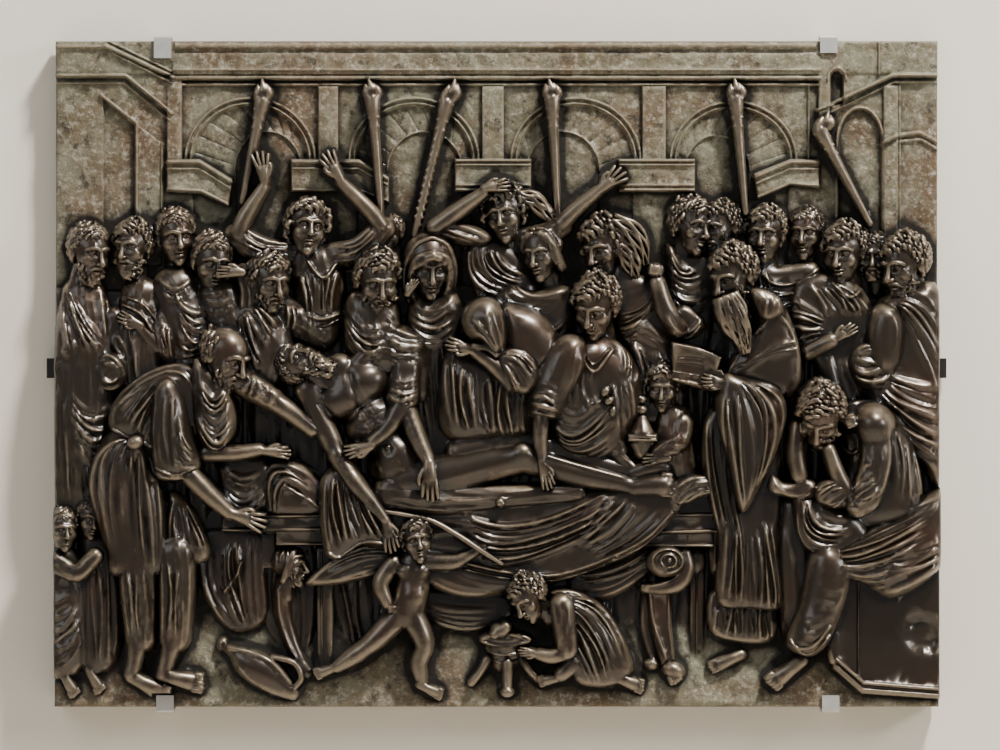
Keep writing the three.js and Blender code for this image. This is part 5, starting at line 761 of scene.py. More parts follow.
# man with a heavy gathered collar
cloth([[-178, 46, 8, 14], [-170, 20, 10, 14], [-168, -10, 9, 13]])
folds([[-178, 45], [-169, 34], [-157, 37]], [[-178, 36], [-168, 18], [-158, 21]], 5, 3.2)
folds([[-177, 22], [-169, 17], [-160, 20]], [[-177, 8], [-169, 6], [-162, 10]], 4, 2.4)
folds([[-190, 57], [-178, 47], [-166, 56]], [[-188, 50], [-178, 41], [-167, 48]], 3, 2.6)
place()
head(-178, 75, 20, 30, 14, 10, -4, "short", "")
# man with a hand at his mouth
cloth([[-153, 42, 11, 13], [-148, 24, 12, 12], [-150, 4, 11, 10]])
folds([[-166, 46], [-156, 44], [-142, 50]], [[-164, 34], [-152, 28], [-138, 36]], 4, 1.6)
place()
head(-158, 61, 25, 31, 22, 16, 4, "short", "")
hand(-144, 56, 25, 13, 178, 0.0, -1, 3)
cloth([[-140, 56, 17, 5], [-136, 46, 17, 6], [-138, 36, 16, 6]])
folds([[-144, 58], [-141, 46], [-142, 34]], [[-134, 56], [-131, 46], [-133, 34]], 4, 2.0)
place()
# figure with both arms thrown up
cloth([[-99, 58, 7, 14], [-98, 42, 8, 14], [-98, 24, 7, 12]])
folds([[-110, 58], [-106, 44], [-105, 32]], [[-87, 58], [-91, 44], [-91, 32]], 7, 2.8)
ridge([[-109, 33], [-97, 30], [-84, 34]], 1.8, 3.0)
ridge([[-106, 29], [-97, 26], [-87, 30]], 1.0, 2.0)
ridge([[-106, 64], [-96, 53], [-87, 63]], 1.5, 2.8)
cloth([[-112, 66, 10, 6.5], [-130, 68, 12, 7.5], [-144, 76, 13, 7]])
cloth([[-90, 66, 10, 6.5], [-76, 68, 12, 7.5], [-63, 80, 13, 7]])
folds([[-116, 72], [-132, 76], [-142, 84]], [[-114, 60], [-130, 60], [-148, 70]], 5, 2.6)
folds([[-88, 72], [-76, 76], [-68, 86]], [[-88, 60], [-74, 60], [-58, 76]], 5, 2.6)
place()
flesh([[-143, 77, 16, 4.6], [-139, 87, 17, 4.4], [-129, 103, 17, 3.0]])
flesh([[-64, 82, 16, 4.4], [-70, 90, 17, 4.2], [-86, 106, 17, 3.0]])
hand(-129, 111, 18, 15, 100, 0.0, -1, 10)
hand(-89, 112, 18, 15, 120, 0.0, 1, 10)
head(-105, 79, 24, 30, 12, -6, 8, "wild", "")
head(-59, 77, 14, 20, -20, 5, 0, "short", "")
# mourner leaning over the dead man's head
cloth([[-134, 30, 13, 13], [-126, 12, 15, 14], [-132, -6, 14, 10]])
cloth([[-118, 34, 11, 9], [-108, 28, 12, 10], [-100, 22, 11, 8]])
folds([[-143, 34], [-140, 14], [-134, -2]], [[-134, 38], [-126, 32], [-120, 24]], 7, 3.4)
folds([[-117, 40], [-115, 32], [-117, 23]], [[-101, 38], [-101, 30], [-99, 22]], 6, 2.6)
folds([[-140, 44], [-150, 38], [-160, 26]], [[-134, 38], [-144, 28], [-152, 18]], 4, 1.8)
place()
head(-126, 50, 29, 31, 30, 15, 0, "curls", "short")
# man bending over the body
cloth([[-70, 34, 13, 15], [-66, 14, 14, 16], [-50, 10, 14, 14], [-46, -8, 15, 10]])
folds([[-82, 36], [-73, 25], [-60, 27]], [[-86, 24], [-73, 6], [-58, 12]], 6, 3.2)
folds([[-60, 36], [-50, 32], [-38, 34]], [[-62, 12], [-53, 4], [-42, 2]], 6, 2.8)
place()
cloth([[-50, 2, 21, 8.5], [-52, -12, 23, 9]])
folds([[-60, -1], [-52, -5], [-43, -2]], [[-61, -18], [-53, -22], [-44, -19]], 6, 2.4)
place()
flesh([[-53, -18, 26, 5.2], [-60, -30, 28, 4.6], [-68, -37, 29, 3.6]])
hand(-73, -41, 31, 14, 195, 0.0, 1, 5)
head(-66, 50, 30, 33, 14, 20, 0, "curls", "short")
# hooded woman
drape([[-46, 46], [-36, 42], [-22, 44], [-17, 20], [-16, -20], [-18, -52], [-42, -52], [-46, -10],
    [-50, 24]], 17.0, 9.0)
folds([[-46, 20], [-44, -8], [-38, -48]], [[-20, 20], [-17, -4], [-18, -40]], 8, 3.6)
folds([[-48, 42], [-36, 34], [-22, 44]], [[-50, 26], [-36, 16], [-20, 26]], 5, 3.0)
place()
head(-37, 58, 25, 32, 8, 20, 0, "hood", "")
hand(-48, 46, 24, 9, 60, 0.0, 1, 4)
# woman with her arms over her head
drape([[-14, 74], [4, 74], [18, 62], [24, 40], [20, 10], [-4, 10], [-10, 36], [-16, 58]], 13.0, 8.0)
folds([[-15, 70], [-13, 52], [6, 42]], [[-1, 71], [4, 60], [16, 55]], 7, 3.4)
folds([[-12, 50], [-8, 36], [0, 20]], [[10, 46], [12, 34], [14, 18]], 5, 2.8)
place()
drape([[-36, 86], [-26, 84], [-12, 82], [-2, 76], [-8, 70], [-22, 72], [-36, 76]], 16.0, 5.0)
folds([[-34, 84], [-20, 82], [-6, 76]], [[-32, 77], [-22, 75], [-12, 72]], 3, 2.4)
place()
cloth([[16, 74, 10, 7], [26, 76, 12, 7], [36, 82, 12, 6]])
place()
flesh([[-34, 81, 17, 4.6], [-20, 91, 18, 4.4], [-7, 100, 20, 3.0]])
flesh([[36, 83, 14, 4.6], [44, 91, 15, 4.0], [56, 101, 16, 3.0]])
head(5, 87, 21, 30, -16, 4, -10, "wild", "")
hand(-3, 103, 22, 13, 10, 0.0, 1, 6)
hand(61, 105, 17, 15, 40, 0.0, 1, 12)
tress([[13, 98, 14, 3], [21, 96, 13, 4.4], [28, 89, 12, 4.4], [34, 79, 11, 2.6]], 6)
# parted-hair woman
drape([[8, 50], [20, 46], [40, 48], [44, 26], [38, 0], [14, 0], [0, 30], [-2, 42]], 18.0, 8.0)
folds([[0, 44], [6, 34], [28, 36]], [[10, 52], [22, 43], [42, 49]], 4, 3.2)
folds([[10, 32], [24, 20], [42, 34]], [[12, 16], [26, 6], [42, 18]], 5, 3.2)
place()
head(25, 66, 23, 29, -26, 12, -6, "parted", "")
# wild-haired man
drape([[64, 62], [78, 58], [90, 46], [100, 20], [104, -20], [76, -30], [72, 10], [62, 36]], 16.0, 8.0)
folds([[90, 48], [78, 36], [64, 34]], [[84, 30], [74, 20], [64, 20]], 6, 3.2)
folds([[84, 56], [78, 48], [66, 46]], [[88, 50], [78, 40], [64, 38]], 2, 2.4)
folds([[70, 26], [84, 24], [98, 12]], [[74, 22], [86, 18], [99, 8]], 2, 2.4)
folds([[72, 20], [80, 4], [82, -26]], [[98, 8], [102, -6], [102, -28]], 7, 3.4)
place()
flesh([[100, 26, 17, 6.4], [93, 36, 18, 5.6], [89, 50, 19, 4.4]])
drape([[92, 30], [104, 38], [116, 28], [110, 20], [98, 20]], 17.0, 4.0)
folds([[93, 34], [103, 22], [115, 32]], [[97, 26], [104, 18], [113, 24]], 3, 2.8)
place()
fist(88, 57, 20, 14, 80)
head(60, 69, 23, 31, -40, 18, -6, "wild", "")
tress([[64, 84, 18, 5], [72, 79, 18, 7], [79, 70, 17, 6], [82, 60, 15, 3]], 8)
tress([[68, 70, 18, 4], [74, 62, 17, 5], [77, 53, 15, 3]], 5)
# pair in the background
drape([[94, 72], [104, 66], [118, 66], [122, 46], [118, 14], [104, 14], [96, 40]], 9.0, 5.0)
folds([[96, 72], [101, 60], [108, 58]], [[95, 54], [104, 46], [117, 50]], 5, 3.0)
folds([[98, 46], [106, 40], [118, 44]], [[98, 38], [106, 32], [117, 36]], 3, 2.6)
place()
head(125, 80, 17, 28, -50, 10, 0, "curls", "full")
head(108, 81, 18, 30, 40, 8, 4, "curls", "")
# two men behind the priest
head(172, 77, 13, 28, -15, 6, 0, "short", "")
drape([[142, 64], [156, 60], [176, 62], [184, 50], [180, 16], [152, 14], [142, 40]], 11.0, 6.0)
folds([[146, 57], [160, 49], [181, 60]], [[149, 26], [164, 36], [183, 38]], 8, 3.6)
folds([[143, 62], [146, 50], [147, 36]], [[148, 60], [151, 50], [152, 40]], 3, 2.8)
place()
head(149, 76, 19, 30, -14, 6, 0, "curls", "")
head(210, 64, 14, 26, -10, 6, 0, "short", "short")

# man with joined hands
drape([[164, 48], [180, 56], [200, 50], [210, 30], [206, 0], [200, -18], [184, -18], [176, 4],
    [164, 20]], 16.0, 7.0)
folds([[172, 50], [180, 40], [183, 30]], [[186, 50], [200, 42], [208, 30]], 7, 3.4)
ridge([[186, 50], [195, 42], [205, 49]], 1.4, 2.6)
folds([[160, 42], [172, 36], [185, 28]], [[164, 12], [172, 17], [183, 21]], 6, 3.4)
folds([[183, 12], [186, -2], [190, -18]], [[197, 8], [201, -4], [206, -16]], 4, 3.0)
place()
flesh([[173, 12, 17, 4.6], [185, 18, 20, 4.2]])
head(193, 66, 22, 32, -24, 12, 0, "curls", "")
hand(190, 21, 21, 13, 32, 0.0, 1, 4)
# large man at the right edge
drape([[211, 40], [226, 47], [247, 42], [247, -62], [236, -52], [222, -38], [208, -20], [197, 0],
    [199, 14], [206, 30]], 20.0, 9.0)
folds([[214, 42], [234, 44], [248, 24]], [[224, 36], [233, 16], [248, -16]], 6, 3.6)
folds([[216, 0], [230, -6], [248, -8]], [[204, -14], [221, -36], [247, -54]], 8, 3.8)
place()
drape([[207, 34], [213, 39], [221, 37], [226, 28], [226, 14], [222, 2], [212, -2], [206, 6],
    [204, 20]], 27.0, 11.0)
folds([[212, 38], [225, 36], [224, 12]], [[216, 34], [221, 26], [219, 8]], 3, 1.6)
place()
drape([[196, 12], [204, 17], [214, 13], [222, 2], [214, -8], [203, -8], [196, 0]], 22.0, 5.0)
folds([[198, 12], [205, 16], [213, 12]], [[196, 0], [206, -10], [222, -1]], 6, 3.4)
place()
head(226, 59, 26, 33, -48, 18, 0, "curls", "full")

# veiled bowed figure
drape([[-28, 13], [-20, 14], [0, 6], [18, 2], [23, -16], [20, -34], [-2, -37], [-26, -37],
    [-33, -20]], 27.0, 9.0)
folds([[-29, 10], [-28, -12], [-22, -36]], [[17, -4], [14, -20], [16, -35]], 11, 3.6)
place()
drape([[2, 38], [14, 38], [26, 33], [34, 22], [34, 8], [24, -2], [8, 4], [2, 16]], 32.0, 14.0)
ridge([[4, 36], [3, 24], [4, 12]], 1.2, 1.6)
folds([[31, 26], [30, 16], [24, 6]], [[34, 22], [34, 12], [30, 2]], 2, 1.8)
place()
drape([[1, 11], [10, 14], [20, 9], [24, -2], [18, -11], [8, -9], [2, 2]], 35.0, 5.0)
folds([[2, 10], [14, 13], [25, 2]], [[1, 6], [7, -1], [11, -11]], 8, 2.8)
place()
flesh([[8, -6, 29, 4.4], [-1, 4, 31, 4.0], [-12, 12, 31, 3.2]])
hand(-17, 14, 32, 14, 165, 0.0, 1, 5)
drape([[-19, 30], [-15, 38], [-7, 42], [1, 39], [5, 28], [5, 14], [-1, 9], [-8, 16], [-16, 20]], 39.0, 11.0)
folds([[-17, 28], [-10, 22], [0, 11]], [[2, 36], [4, 24], [4, 12]], 5, 1.8)
folds([[-15, 19], [-8, 20], [-1, 10]], [[-13, 15], [-6, 14], [-2, 9]], 3, 2.0)
place()
flesh([[-12, 15, 33, 2.0], [-5, 14, 34, 1.8], [0, 10, 34, 1.4]])
place()

# priest reading: robe, cloak, book, beard
drape([[118, -88], [127, -88], [126, -112], [119, -110]], 16.0, 3.0)
folds([[120, -92], [121, -100], [120, -109]], [[125, -92], [125, -102], [125, -111]], 3, 2.2)
place()
drape([[121, -118], [152, -120], [154, -146], [136, -149], [118, -142]], 17.0, 3.0)
folds([[122, -126], [121, -136], [119, -143]], [[151, -126], [152, -138], [153, -148]], 12, 2.8)
place()
drape([[118, -20], [150, -16], [158, -60], [156, -100], [158, -129], [140, -130], [122, -126], [122, -90],
    [114, -56]], 23.0, 5.0)
folds([[127, -84], [126, -106], [124, -127]], [[150, -80], [155, -106], [157, -129]], 10, 3.2)
folds([[116, -24], [117, -56], [125, -96]], [[128, -20], [130, -60], [136, -96]], 5, 3.2)
place()
drape([[138, 42], [152, 44], [162, 32], [168, 12], [167, -8], [158, -14], [140, -7], [125, -2], [133, 12],
    [142, 26]], 28.0, 9.0)
ridge([[128, 1], [138, 6], [150, 13], [160, 17], [168, 17]], 0.8, 1.0)
ridge([[129, -1], [140, 4], [152, 10.6], [167, 14]], 0.6, 0.8)
ridge([[127, 0], [133, 10], [140, 20], [148, 28], [153, 36]], 1.4, 1.8)
folds([[143, 36], [139, 22], [130, 6]], [[150, 32], [147, 20], [137, 8]], 2, 1.2)
ridge([[156, 33], [163, 24], [167, 10], [168, -4]], 1.8, 1.8)
ridge([[132, -4], [146, -7], [158, -11]], 1.4, 2.2)
place()
drape([[125, 0], [140, -3], [154, -7], [160, -19], [156, -38], [147, -60], [135, -77], [128, -50],
    [121, -20]], 34.0, 8.0)
folds([[127, -4], [124, -40], [134, -75]], [[139, -4], [164, -20], [146, -60]], 9, 3.8)
place()
slab(WOOD, [[97, 2], [96, -4], [121, -10], [127, -4], [124, 2]], 27.0, [0.1, 0.15], 0.8)
ridge([[97, -3], [110, -6], [121, -9.4]], 0.8, 1.4)
place()
slab(WOOD, [[97, 17], [97, 1], [120, -3], [124, 9], [112, 14]], 30.0, [0.1, 0.2], 0.8)
ridge([[97, 1], [109, -1], [121, -3]], 0.9, 1.6)
ridge([[100, 9], [108, 9], [114, 8]], 0.5, -0.7)
ridge([[100, 5.5], [108, 5.2], [114, 4.4]], 0.5, -0.7)
place()
hand(123, -5, 31, 13, 170, 0.0, 1, 5)
head(131, 53, 34, 32, -46, 24, 0, "curls", "full")
drape([[140, 46], [148, 46], [156, 41], [158, 34], [152, 29], [146, 30], [143, 36]], 33.0, 5.0)
folds([[140, 44], [152, 48], [156, 34]], [[143, 40], [148, 41], [148, 33]], 3, 2.4)
place()
tress([[126, 42, 36, 7], [130, 32, 37, 8], [134, 22, 36, 6], [137, 11, 34, 2]], 9)
foot(135, -156, 13, 18, 203, 4)

# front-centre man bending over the feet
drape([[38, 18], [52, 22], [64, 20], [76, 8], [82, -12], [74, -34], [64, -46], [46, -48], [32, -40],
    [26, -20], [30, 0]], 29.0, 15.0)
folds([[40, 12], [32, -10], [32, -24]], [[52, 4], [52, -10], [60, -20]], 6, 1.8)
folds([[28, -22], [42, -34], [62, -18]], [[30, -38], [47, -50], [70, -36]], 6, 3.6)
folds([[34, -18], [44, -24], [56, -14]], [[32, -24], [44, -30], [58, -20]], 2, 2.2)
folds([[63, 22], [71, 10], [68, -6]], [[76, 15], [80, 6], [79, -8]], 5, 3.4)
folds([[64, -6], [66, -18], [68, -32]], [[73, -2], [76, -16], [78, -28]], 4, 2.6)
ridge([[43, 18], [53, 1], [64, 13]], 1.6, 3.0)
ridge([[46, 18], [53, 5], [62, 14]], 0.9, 1.6)
place()
drape([[33, 19], [41, 22], [49, 18], [50, 4], [42, -12], [36, -24], [20, -25], [17, -16], [21, 0],
    [26, 12]], 36.0, 11.0)
folds([[38, 18], [33, 4], [30, -8]], [[46, 12], [46, 0], [40, -12]], 4, 1.2)
folds([[18, -8], [27, -6], [37, -15]], [[19, -21], [27, -23], [36, -26]], 5, 2.8)
place()
flesh([[25, -20, 29, 4.4], [24, -36, 29, 3.9], [25, -47, 29, 3.0]])
hand(26, -53, 30, 14, -72, 0.0, 1, 5)
head(55, 36, 36, 33, -22, 30, 4, "curls", "")
cloth([[64, -34, 18, 7], [66, -42, 18, 6.5]])
folds([[57, -36], [64, -31], [73, -36]], [[58, -46], [66, -42], [74, -46]], 4, 2.0)
place()
flesh([[68, -46, 20, 3.6], [77, -54, 19, 3.0]])
place()

# child with the lidded vase
cloth([[98, -26, 14, 10], [98, -44, 14, 11], [104, -60, 11, 9]])
folds([[104, -20], [110, -28], [108, -40]], [[92, -26], [96, -34], [98, -42]], 3, 1.6)
place()
cloth([[103, -28, 19, 6], [100, -38, 21, 5.5], [90, -44, 22, 5]])
folds([[92, -38], [98, -36], [106, -36]], [[90, -44], [98, -44], [106, -44]], 3, 1.6)
place()
tube([[80.3, -25, 20, 3.0], [80.3, -33, 21, 7.0]], 0.9, 0.5, WOOD)
folds([[78.6, -24], [76, -29], [74.5, -33]], [[82, -24], [84.5, -29], [86, -33]], 6, 1.2)
place()
slab(WOOD, [[72.5, -33.5], [88.5, -33.5], [88.5, -37.5], [72.5, -37.5]], 27.5, [0, 0], 1.6)
ridge([[72.5, -35.4], [80.5, -35.9], [88.5, -35.4]], 0.6, -0.9)
place()
tube([[80.5, -39, 20, 7.0], [80.5, -43, 20, 4.5]], 0.9, 0.5, WOOD)
blob(WOOD, 80.3, -20, 21, 3.0, 2.6, 3.0)
blob(WOOD, 80.3, -14.5, 21, 2.6, 2.2, 2.6)
place()
hand(91, -47, 24, 13, 185, 0.0, -1, 4)
head(92, -8, 27, 25, -6, 18, 2, "curls", "")
blob(CLOTH, 60, -10, 30, 2.6, 3.4, 3, 30, 0.4)
blob(CLOTH, 62, -15, 30, 3.2, 2.4, 3, -30, 0.4)
blob(CLOTH, 64, -21, 29, 2.4, 3.4, 3, 10, 0.4)
place()

# robes of those standing behind the bier, seen under it
drape([[-166, -88], [-130, -88], [-128, -112], [-128, -137], [-145, -144], [-158, -132],
    [-166, -112]], 11.0, 4.0)
folds([[-163, -94], [-162, -118], [-148, -142]], [[-134, -92], [-134, -116], [-132, -137]], 8, 3.0)
ridge([[-151, -121], [-145, -113], [-141, -104]], 1.2, 2.2)
drape([[-131, -92], [-102, -94], [-100, -140], [-108, -160], [-120, -154], [-130, -136]], 8.0, 3.0)
folds([[-128, -96], [-129, -118], [-122, -146]], [[-104, -98], [-102, -126], [-106, -158]], 7, 2.8)
drape([[-92, -100], [-60, -104], [-58, -142], [-76, -158], [-92, -158]], 7.0, 3.0)
folds([[-90, -104], [-88, -130], [-78, -154]], [[-64, -106], [-62, -126], [-66, -148]], 6, 2.2)
drape([[-40, -100], [60, -96], [120, -92], [122, -150], [92, -158], [40, -150], [-10, -146],
    [-40, -140]], 5.0, 3.0)
folds([[50, -98], [52, -122], [50, -148]], [[122, -94], [122, -122], [118, -154]], 13, 2.4)
place()
# bier: frame and left leg with its carved head
slab(WOOD, [[-152, -79], [-94, -78], [-94, -95], [-122, -95], [-122, -88], [-152, -87]], 17.0, [0, 0], 1.0)
moulding([[-152, -79.4], [-122, -79], [-94, -78.3]], 1.2, 2.4)
moulding([[-152, -86.6], [-94, -86]], 1.2, 2.6)
moulding([[-122, -94.4], [-94, -94.4]], 1.2, 2.4)
slab(WOOD, [[84, -66], [120, -66], [120, -80.5], [146, -80.5], [146, -88.5], [120, -88.5], [120, -96],
    [80, -96]], 17.0, [0, 0], 1.0)
moulding([[88, -78.5], [120, -78]], 1.2, 2.4)
moulding([[120, -81.4], [145.5, -81.4]], 1.0, 2.2)
moulding([[84, -88], [118, -87], [146, -87.6]], 1.3, 2.8)
moulding([[80, -95], [120, -95.2]], 1.2, 2.6)
slab(WOOD, [[-131, -88], [-122, -88], [-123, -108], [-130, -108]], 12.0, [0, 0], 1.5)
slab(WOOD, [[-100, -96], [-90, -96], [-91, -168], [-99, -168]], 14.0, [0, 0], 1.5)
moulding([[-97, -100], [-96.6, -166]], 0.8, 1.2)
place()
tube([[-117, -116, 10, 6], [-119, -130, 9, 5.4], [-115, -146, 9, 4.6], [-110, -158, 10, 4.0],
    [-106, -165, 11, 4.6]], 0.9, 1, WOOD)
ridge([[-121, -120], [-120, -134], [-116, -148], [-111, -158]], 1.4, 1.8)
place()
head(-114, -108, 20, 22, 66, 0, 0, "band", "short")
# cloths over the bier
drape([[-128, -50], [-112, -47], [-98, -56], [-90, -68], [-94, -79], [-128, -79], [-131, -64]], 20.0, 8.0)
folds([[-130, -77], [-127, -48], [-97, -58]], [[-121, -78], [-115, -60], [-97, -76]], 5, 3.2)
ridge([[-117, -62], [-107, -68], [-96, -75]], 1.2, 2.2)
place()
drape([[42, -110], [84, -94], [88, -108], [62, -126], [44, -126]], 12.0, 4.0)
folds([[46, -112], [66, -108], [84, -98]], [[46, -124], [66, -120], [86, -108]], 4, 2.6)
place()
drape([[-46, -120], [-20, -120], [6, -122], [8, -136], [-16, -143], [-40, -136]], 13.0, 4.0)
folds([[-42, -126], [-24, -131], [4, -130]], [[-40, -134], [-20, -142], [4, -138]], 4, 2.8)
place()
drape([[-62, -62], [-30, -68], [20, -68], [64, -62], [104, -60], [108, -68], [98, -80], [84, -94],
    [66, -104], [44, -112], [12, -121], [-18, -124], [-40, -115], [-54, -98], [-62, -84]], 23.0, 7.0)
folds([[-20, -75], [12, -84], [60, -66]], [[-10, -101], [16, -103], [68, -80]], 7, 3.6)
folds([[40, -90], [52, -78], [62, -64]], [[60, -104], [84, -94], [108, -68]], 8, 3.4)
ridge([[-16, -105], [8, -110], [35, -111], [66, -100], [84, -90], [97, -77]], 1.7, 3.6)
ridge([[-18, -108], [8, -113.4], [36, -114], [60, -106]], 0.9, 2.0)
folds([[-26, -107], [-4, -116], [30, -116]], [[-42, -112], [-20, -122], [10, -121]], 3, 2.8)
folds([[-56, -74], [-30, -76], [0, -75]], [[-52, -96], [-40, -100], [-14, -102]], 5, 2.2)
place()
drape([[-97, -58], [-86, -51], [-74, -58], [-66, -74], [-57, -92], [-63, -97], [-74, -95], [-82, -99],
    [-88, -103], [-95, -99], [-98, -78]], 27.0, 6.0)
folds([[-94, -58], [-95, -80], [-91, -101]], [[-76, -60], [-70, -77], [-60, -94]], 9, 3.8)
ridge([[-93, -99], [-87, -102], [-81, -98], [-75, -94], [-68, -93], [-58, -95]], 1.4, 2.4)
place()
cloth([[-58, -66, 22, 10], [-30, -70, 23, 8], [6, -68, 23, 6], [44, -66, 22, 5]], 0.6)
folds([[-62, -76], [-30, -78], [0, -73]], [[-60, -64], [-30, -70], [20, -67]], 3, 2.0)
place()
cloth([[100, -66, 20, 7], [114, -62, 20, 6], [122, -66, 18, 4]])
folds([[94, -76], [103, -60], [118, -58]], [[100, -80], [110, -68], [123, -66]], 4, 2.6)
place()
blob(WOOD, 2, -71, 28, 2.6, 2.6, 2.6)
ridge([[-26, -80], [-14, -78], [0, -76], [4, -72]], 1.0, 2.0)
place()
# right leg of the bier: scroll, leaf, tapering shaft and paw, with the back legs behind it
slab(WOOD, [[107, -97], [116, -97], [115, -154], [110, -158], [107, -154]], 9.0, [0, 0], 1.5)
moulding([[111, -98], [111, -155]], 0.8, 1.4)
blob(WOOD, 111, -104, 10, 5, 7, 4)
place()
tube([[84, -122, 10, 3.6], [83, -140, 10, 3.2], [87, -158, 11, 2.8]], 0.9, 1, WOOD)
blob(WOOD, 86, -161, 12, 4.4, 3.4, 4)
place()
slab(WOOD, [[82, -118], [97, -118], [97, -140], [99, -160], [91, -162], [85, -142]], 16.0, [0, 0], 2.5)
ridge([[85, -122], [87, -138], [94, -158]], 1.6, 2.4)
ridge([[95, -122], [95.6, -140], [98, -158]], 1.1, 1.6)
place()
blob(WOOD, 98, -164, 17, 6.4, 4.6, 5, 20)
toe_row(98, -167, 19, 4.6, -65, 4)
tube([[104, -100, 15, 4], [105, -108, 16, 4.4], [101, -116, 17, 4.2], [91, -119, 17, 3.4],
    [82, -119, 16, 2.4]], 0.8, 1, WOOD)
ridge([[101, -106], [100, -111], [93, -115], [82, -118]], 1.2, 2.0)
ridge([[96, -111], [88, -112], [80, -117]], 1.4, 2.4)
place()
blob(WOOD, 94, -104, 19, 10.4, 8.8, 6)
ridge(oval(94.5, -103.5, 8.6, 6.8, 190, -90), 1.5, 2.4)
ridge(oval(95, -103.4, 4.4, 3.6, 230, -90), 1.2, 2.0)
blob(WOOD, 95.4, -103, 25, 1.6, 1.6, 1.6, 0, 0.5)
place()

# crowd of robes behind the nearer figures
slab(CLOTH, [[-246, 48], [-190, 46], [-120, 30], [-60, 24], [0, 30], [60, 30], [120, 40], [190, 40],
    [246, 36], [246, -100], [-246, -100]], 6.0, [0, 0], 3.0)
folds([[-240, 40], [-242, -20], [-240, -98]], [[-130, 26], [-134, -20], [-130, -98]], 18, 2.2)
folds([[-128, 26], [-130, -20], [-126, -98]], [[0, 26], [4, -20], [0, -98]], 18, 2.2)
folds([[4, 26], [6, -20], [2, -98]], [[120, 30], [122, -20], [120, -98]], 18, 2.2)
folds([[124, 30], [126, -20], [124, -98]], [[242, 34], [243, -20], [242, -98]], 18, 2.2)
place()

# dead man on the bier
blob(SKIN, -80, -8, 13, 21, 18, 17, -38, 3)
blob(SKIN, -67, -28, 13, 17, 18, 16, -32, 8)
blob(SKIN, -54, -50, 12, 17, 16, 17, -20, 8)
blob(SKIN, -87, -15, 18, 12, 10, 11, -25, 6)
blob(SKIN, -71, -4, 18, 12, 11, 11.5, -25, 6)
blob(SKIN, -73, 9, 16, 9.5, 6, 11, -30, 5)
blob(SKIN, -63, -30, 16, 11, 9, 12.5, -35, 8)
blob(SKIN, -56, -42, 16, 11, 9, 12, -30, 8)
flesh([[-104, -9, 21, 7.4], [-96, -28, 22, 6.4], [-88, -44, 24, 4.8]], 0.9, 4)
ridge([[-81, -1], [-78, -10], [-73, -20], [-66, -31], [-59, -43]], 3.4, -1.8, 2.0)
ridge([[-97, -17], [-90, -25], [-81, -25], [-76, -19]], 2.6, -1.8, 2.0)
ridge([[-76, -19], [-68, -15], [-59, -11]], 2.6, -1.6, 2.0)
ridge([[-76, -29], [-69, -25], [-62, -21]], 2.0, -0.9, 2.0)
ridge([[-74, -36], [-67, -32], [-59, -27]], 2.0, -0.9, 2.0)
ridge([[-78, -34], [-71, -46], [-66, -56]], 3.0, -1.0, 2.0)
ridge([[-101, 3], [-93, 2], [-84, 6], [-76, 13]], 1.6, 1.2, 2.0)
blob(CLOTH, -60, -41, 27.6, 1.0, 1.0, 0.1, 0, 0.5)
place()
flesh([[-97, -2, 20, 8], [-86, 3, 20, 8]])
place()
flesh([[-88, -45, 25, 5.0], [-79, -59, 28, 5.0], [-69, -71, 28, 4.0], [-62, -80, 28, 3.0]])
hand(-60, -86, 28, 16, -76, 0.0, 1, 5)
head(-108, 5, 33, 28, 40, -12, -60, "short", "full")
flesh([[-20, -44, 17, 9], [8, -39, 18, 8], [22, -39, 18, 7.2], [50, -48, 18, 6.0], [76, -55, 18, 4.2]])
place()
flesh([[-50, -59, 18, 12.5], [-26, -56, 20, 11.5], [-4, -50, 21, 9.6], [16, -46, 22, 8.2]], 0.9, 5)
flesh([[14, -46, 22, 8.2], [30, -51, 22, 7.4], [48, -56, 22, 7.0], [66, -60, 22, 5.4], [78, -63, 22, 4.2]])
blob(SKIN, 14, -44, 25, 6, 6, 5.6, 20, 4)
ridge([[-52, -67], [-30, -63], [-6, -57]], 4.0, -0.8, 2.0)
ridge([[24, -44], [44, -50], [70, -57]], 1.4, 1.0, 2.0)
ridge([[-64, -53], [-55, -50], [-46, -47]], 1.6, 1.4)
place()
flesh([[-49, -22, 24, 5.4], [-43, -37, 28, 4.8], [-38, -47, 31, 3.6]])
place()
hand(-37, -55, 33, 19, -88, 0.0, -1, 4)
flesh([[76, -63, 22, 5], [84, -62, 23, 5.6], [92, -62, 23, 6.4]])
toe_row(92, -61.5, 25, 6.4, -2, 5)
flesh([[76, -55, 19, 4.5], [86, -52, 20, 5], [93, -52, 20, 3.4]])
place()

# elder bending at the head of the bier
drape([[-212, -30], [-222, -44], [-226, -60], [-222, -80], [-216, -98], [-212, -112], [-184, -112],
    [-181, -90], [-182, -70], [-188, -48], [-196, -34]], 27.0, 10.0)
folds([[-203, -36], [-223, -56], [-213, -110]], [[-196, -36], [-187, -60], [-185, -110]], 8, 3.2)
folds([[-200, -40], [-214, -64], [-210, -84]], [[-198, -40], [-206, -64], [-205, -84]], 2, 2.0)
place()
drape([[-181, -66], [-172, -70], [-163, -84], [-158, -99], [-164, -105], [-178, -104], [-183, -84]], 23.0, 6.0)
folds([[-177, -68], [-181, -86], [-179, -104]], [[-173, -68], [-164, -86], [-159, -100]], 6, 3.2)
place()
drape([[-212, -16], [-199, -3], [-182, 5], [-166, 3], [-159, -14], [-162, -34], [-170, -48], [-186, -52],
    [-200, -40], [-214, -31]], 29.0, 10.0)
folds([[-184, -1], [-200, -11], [-213, -22]], [[-180, -2], [-184, -20], [-191, -42]], 8, 3.4)
ridge([[-211, -11], [-199, -2], [-187, 4], [-176, 6], [-167, 1], [-160, -13]], 2.8, 3.2)
ridge([[-208, -16], [-197, -6], [-186, 0], [-176, 1], [-169, -5], [-165, -16]], 1.3, 1.6)
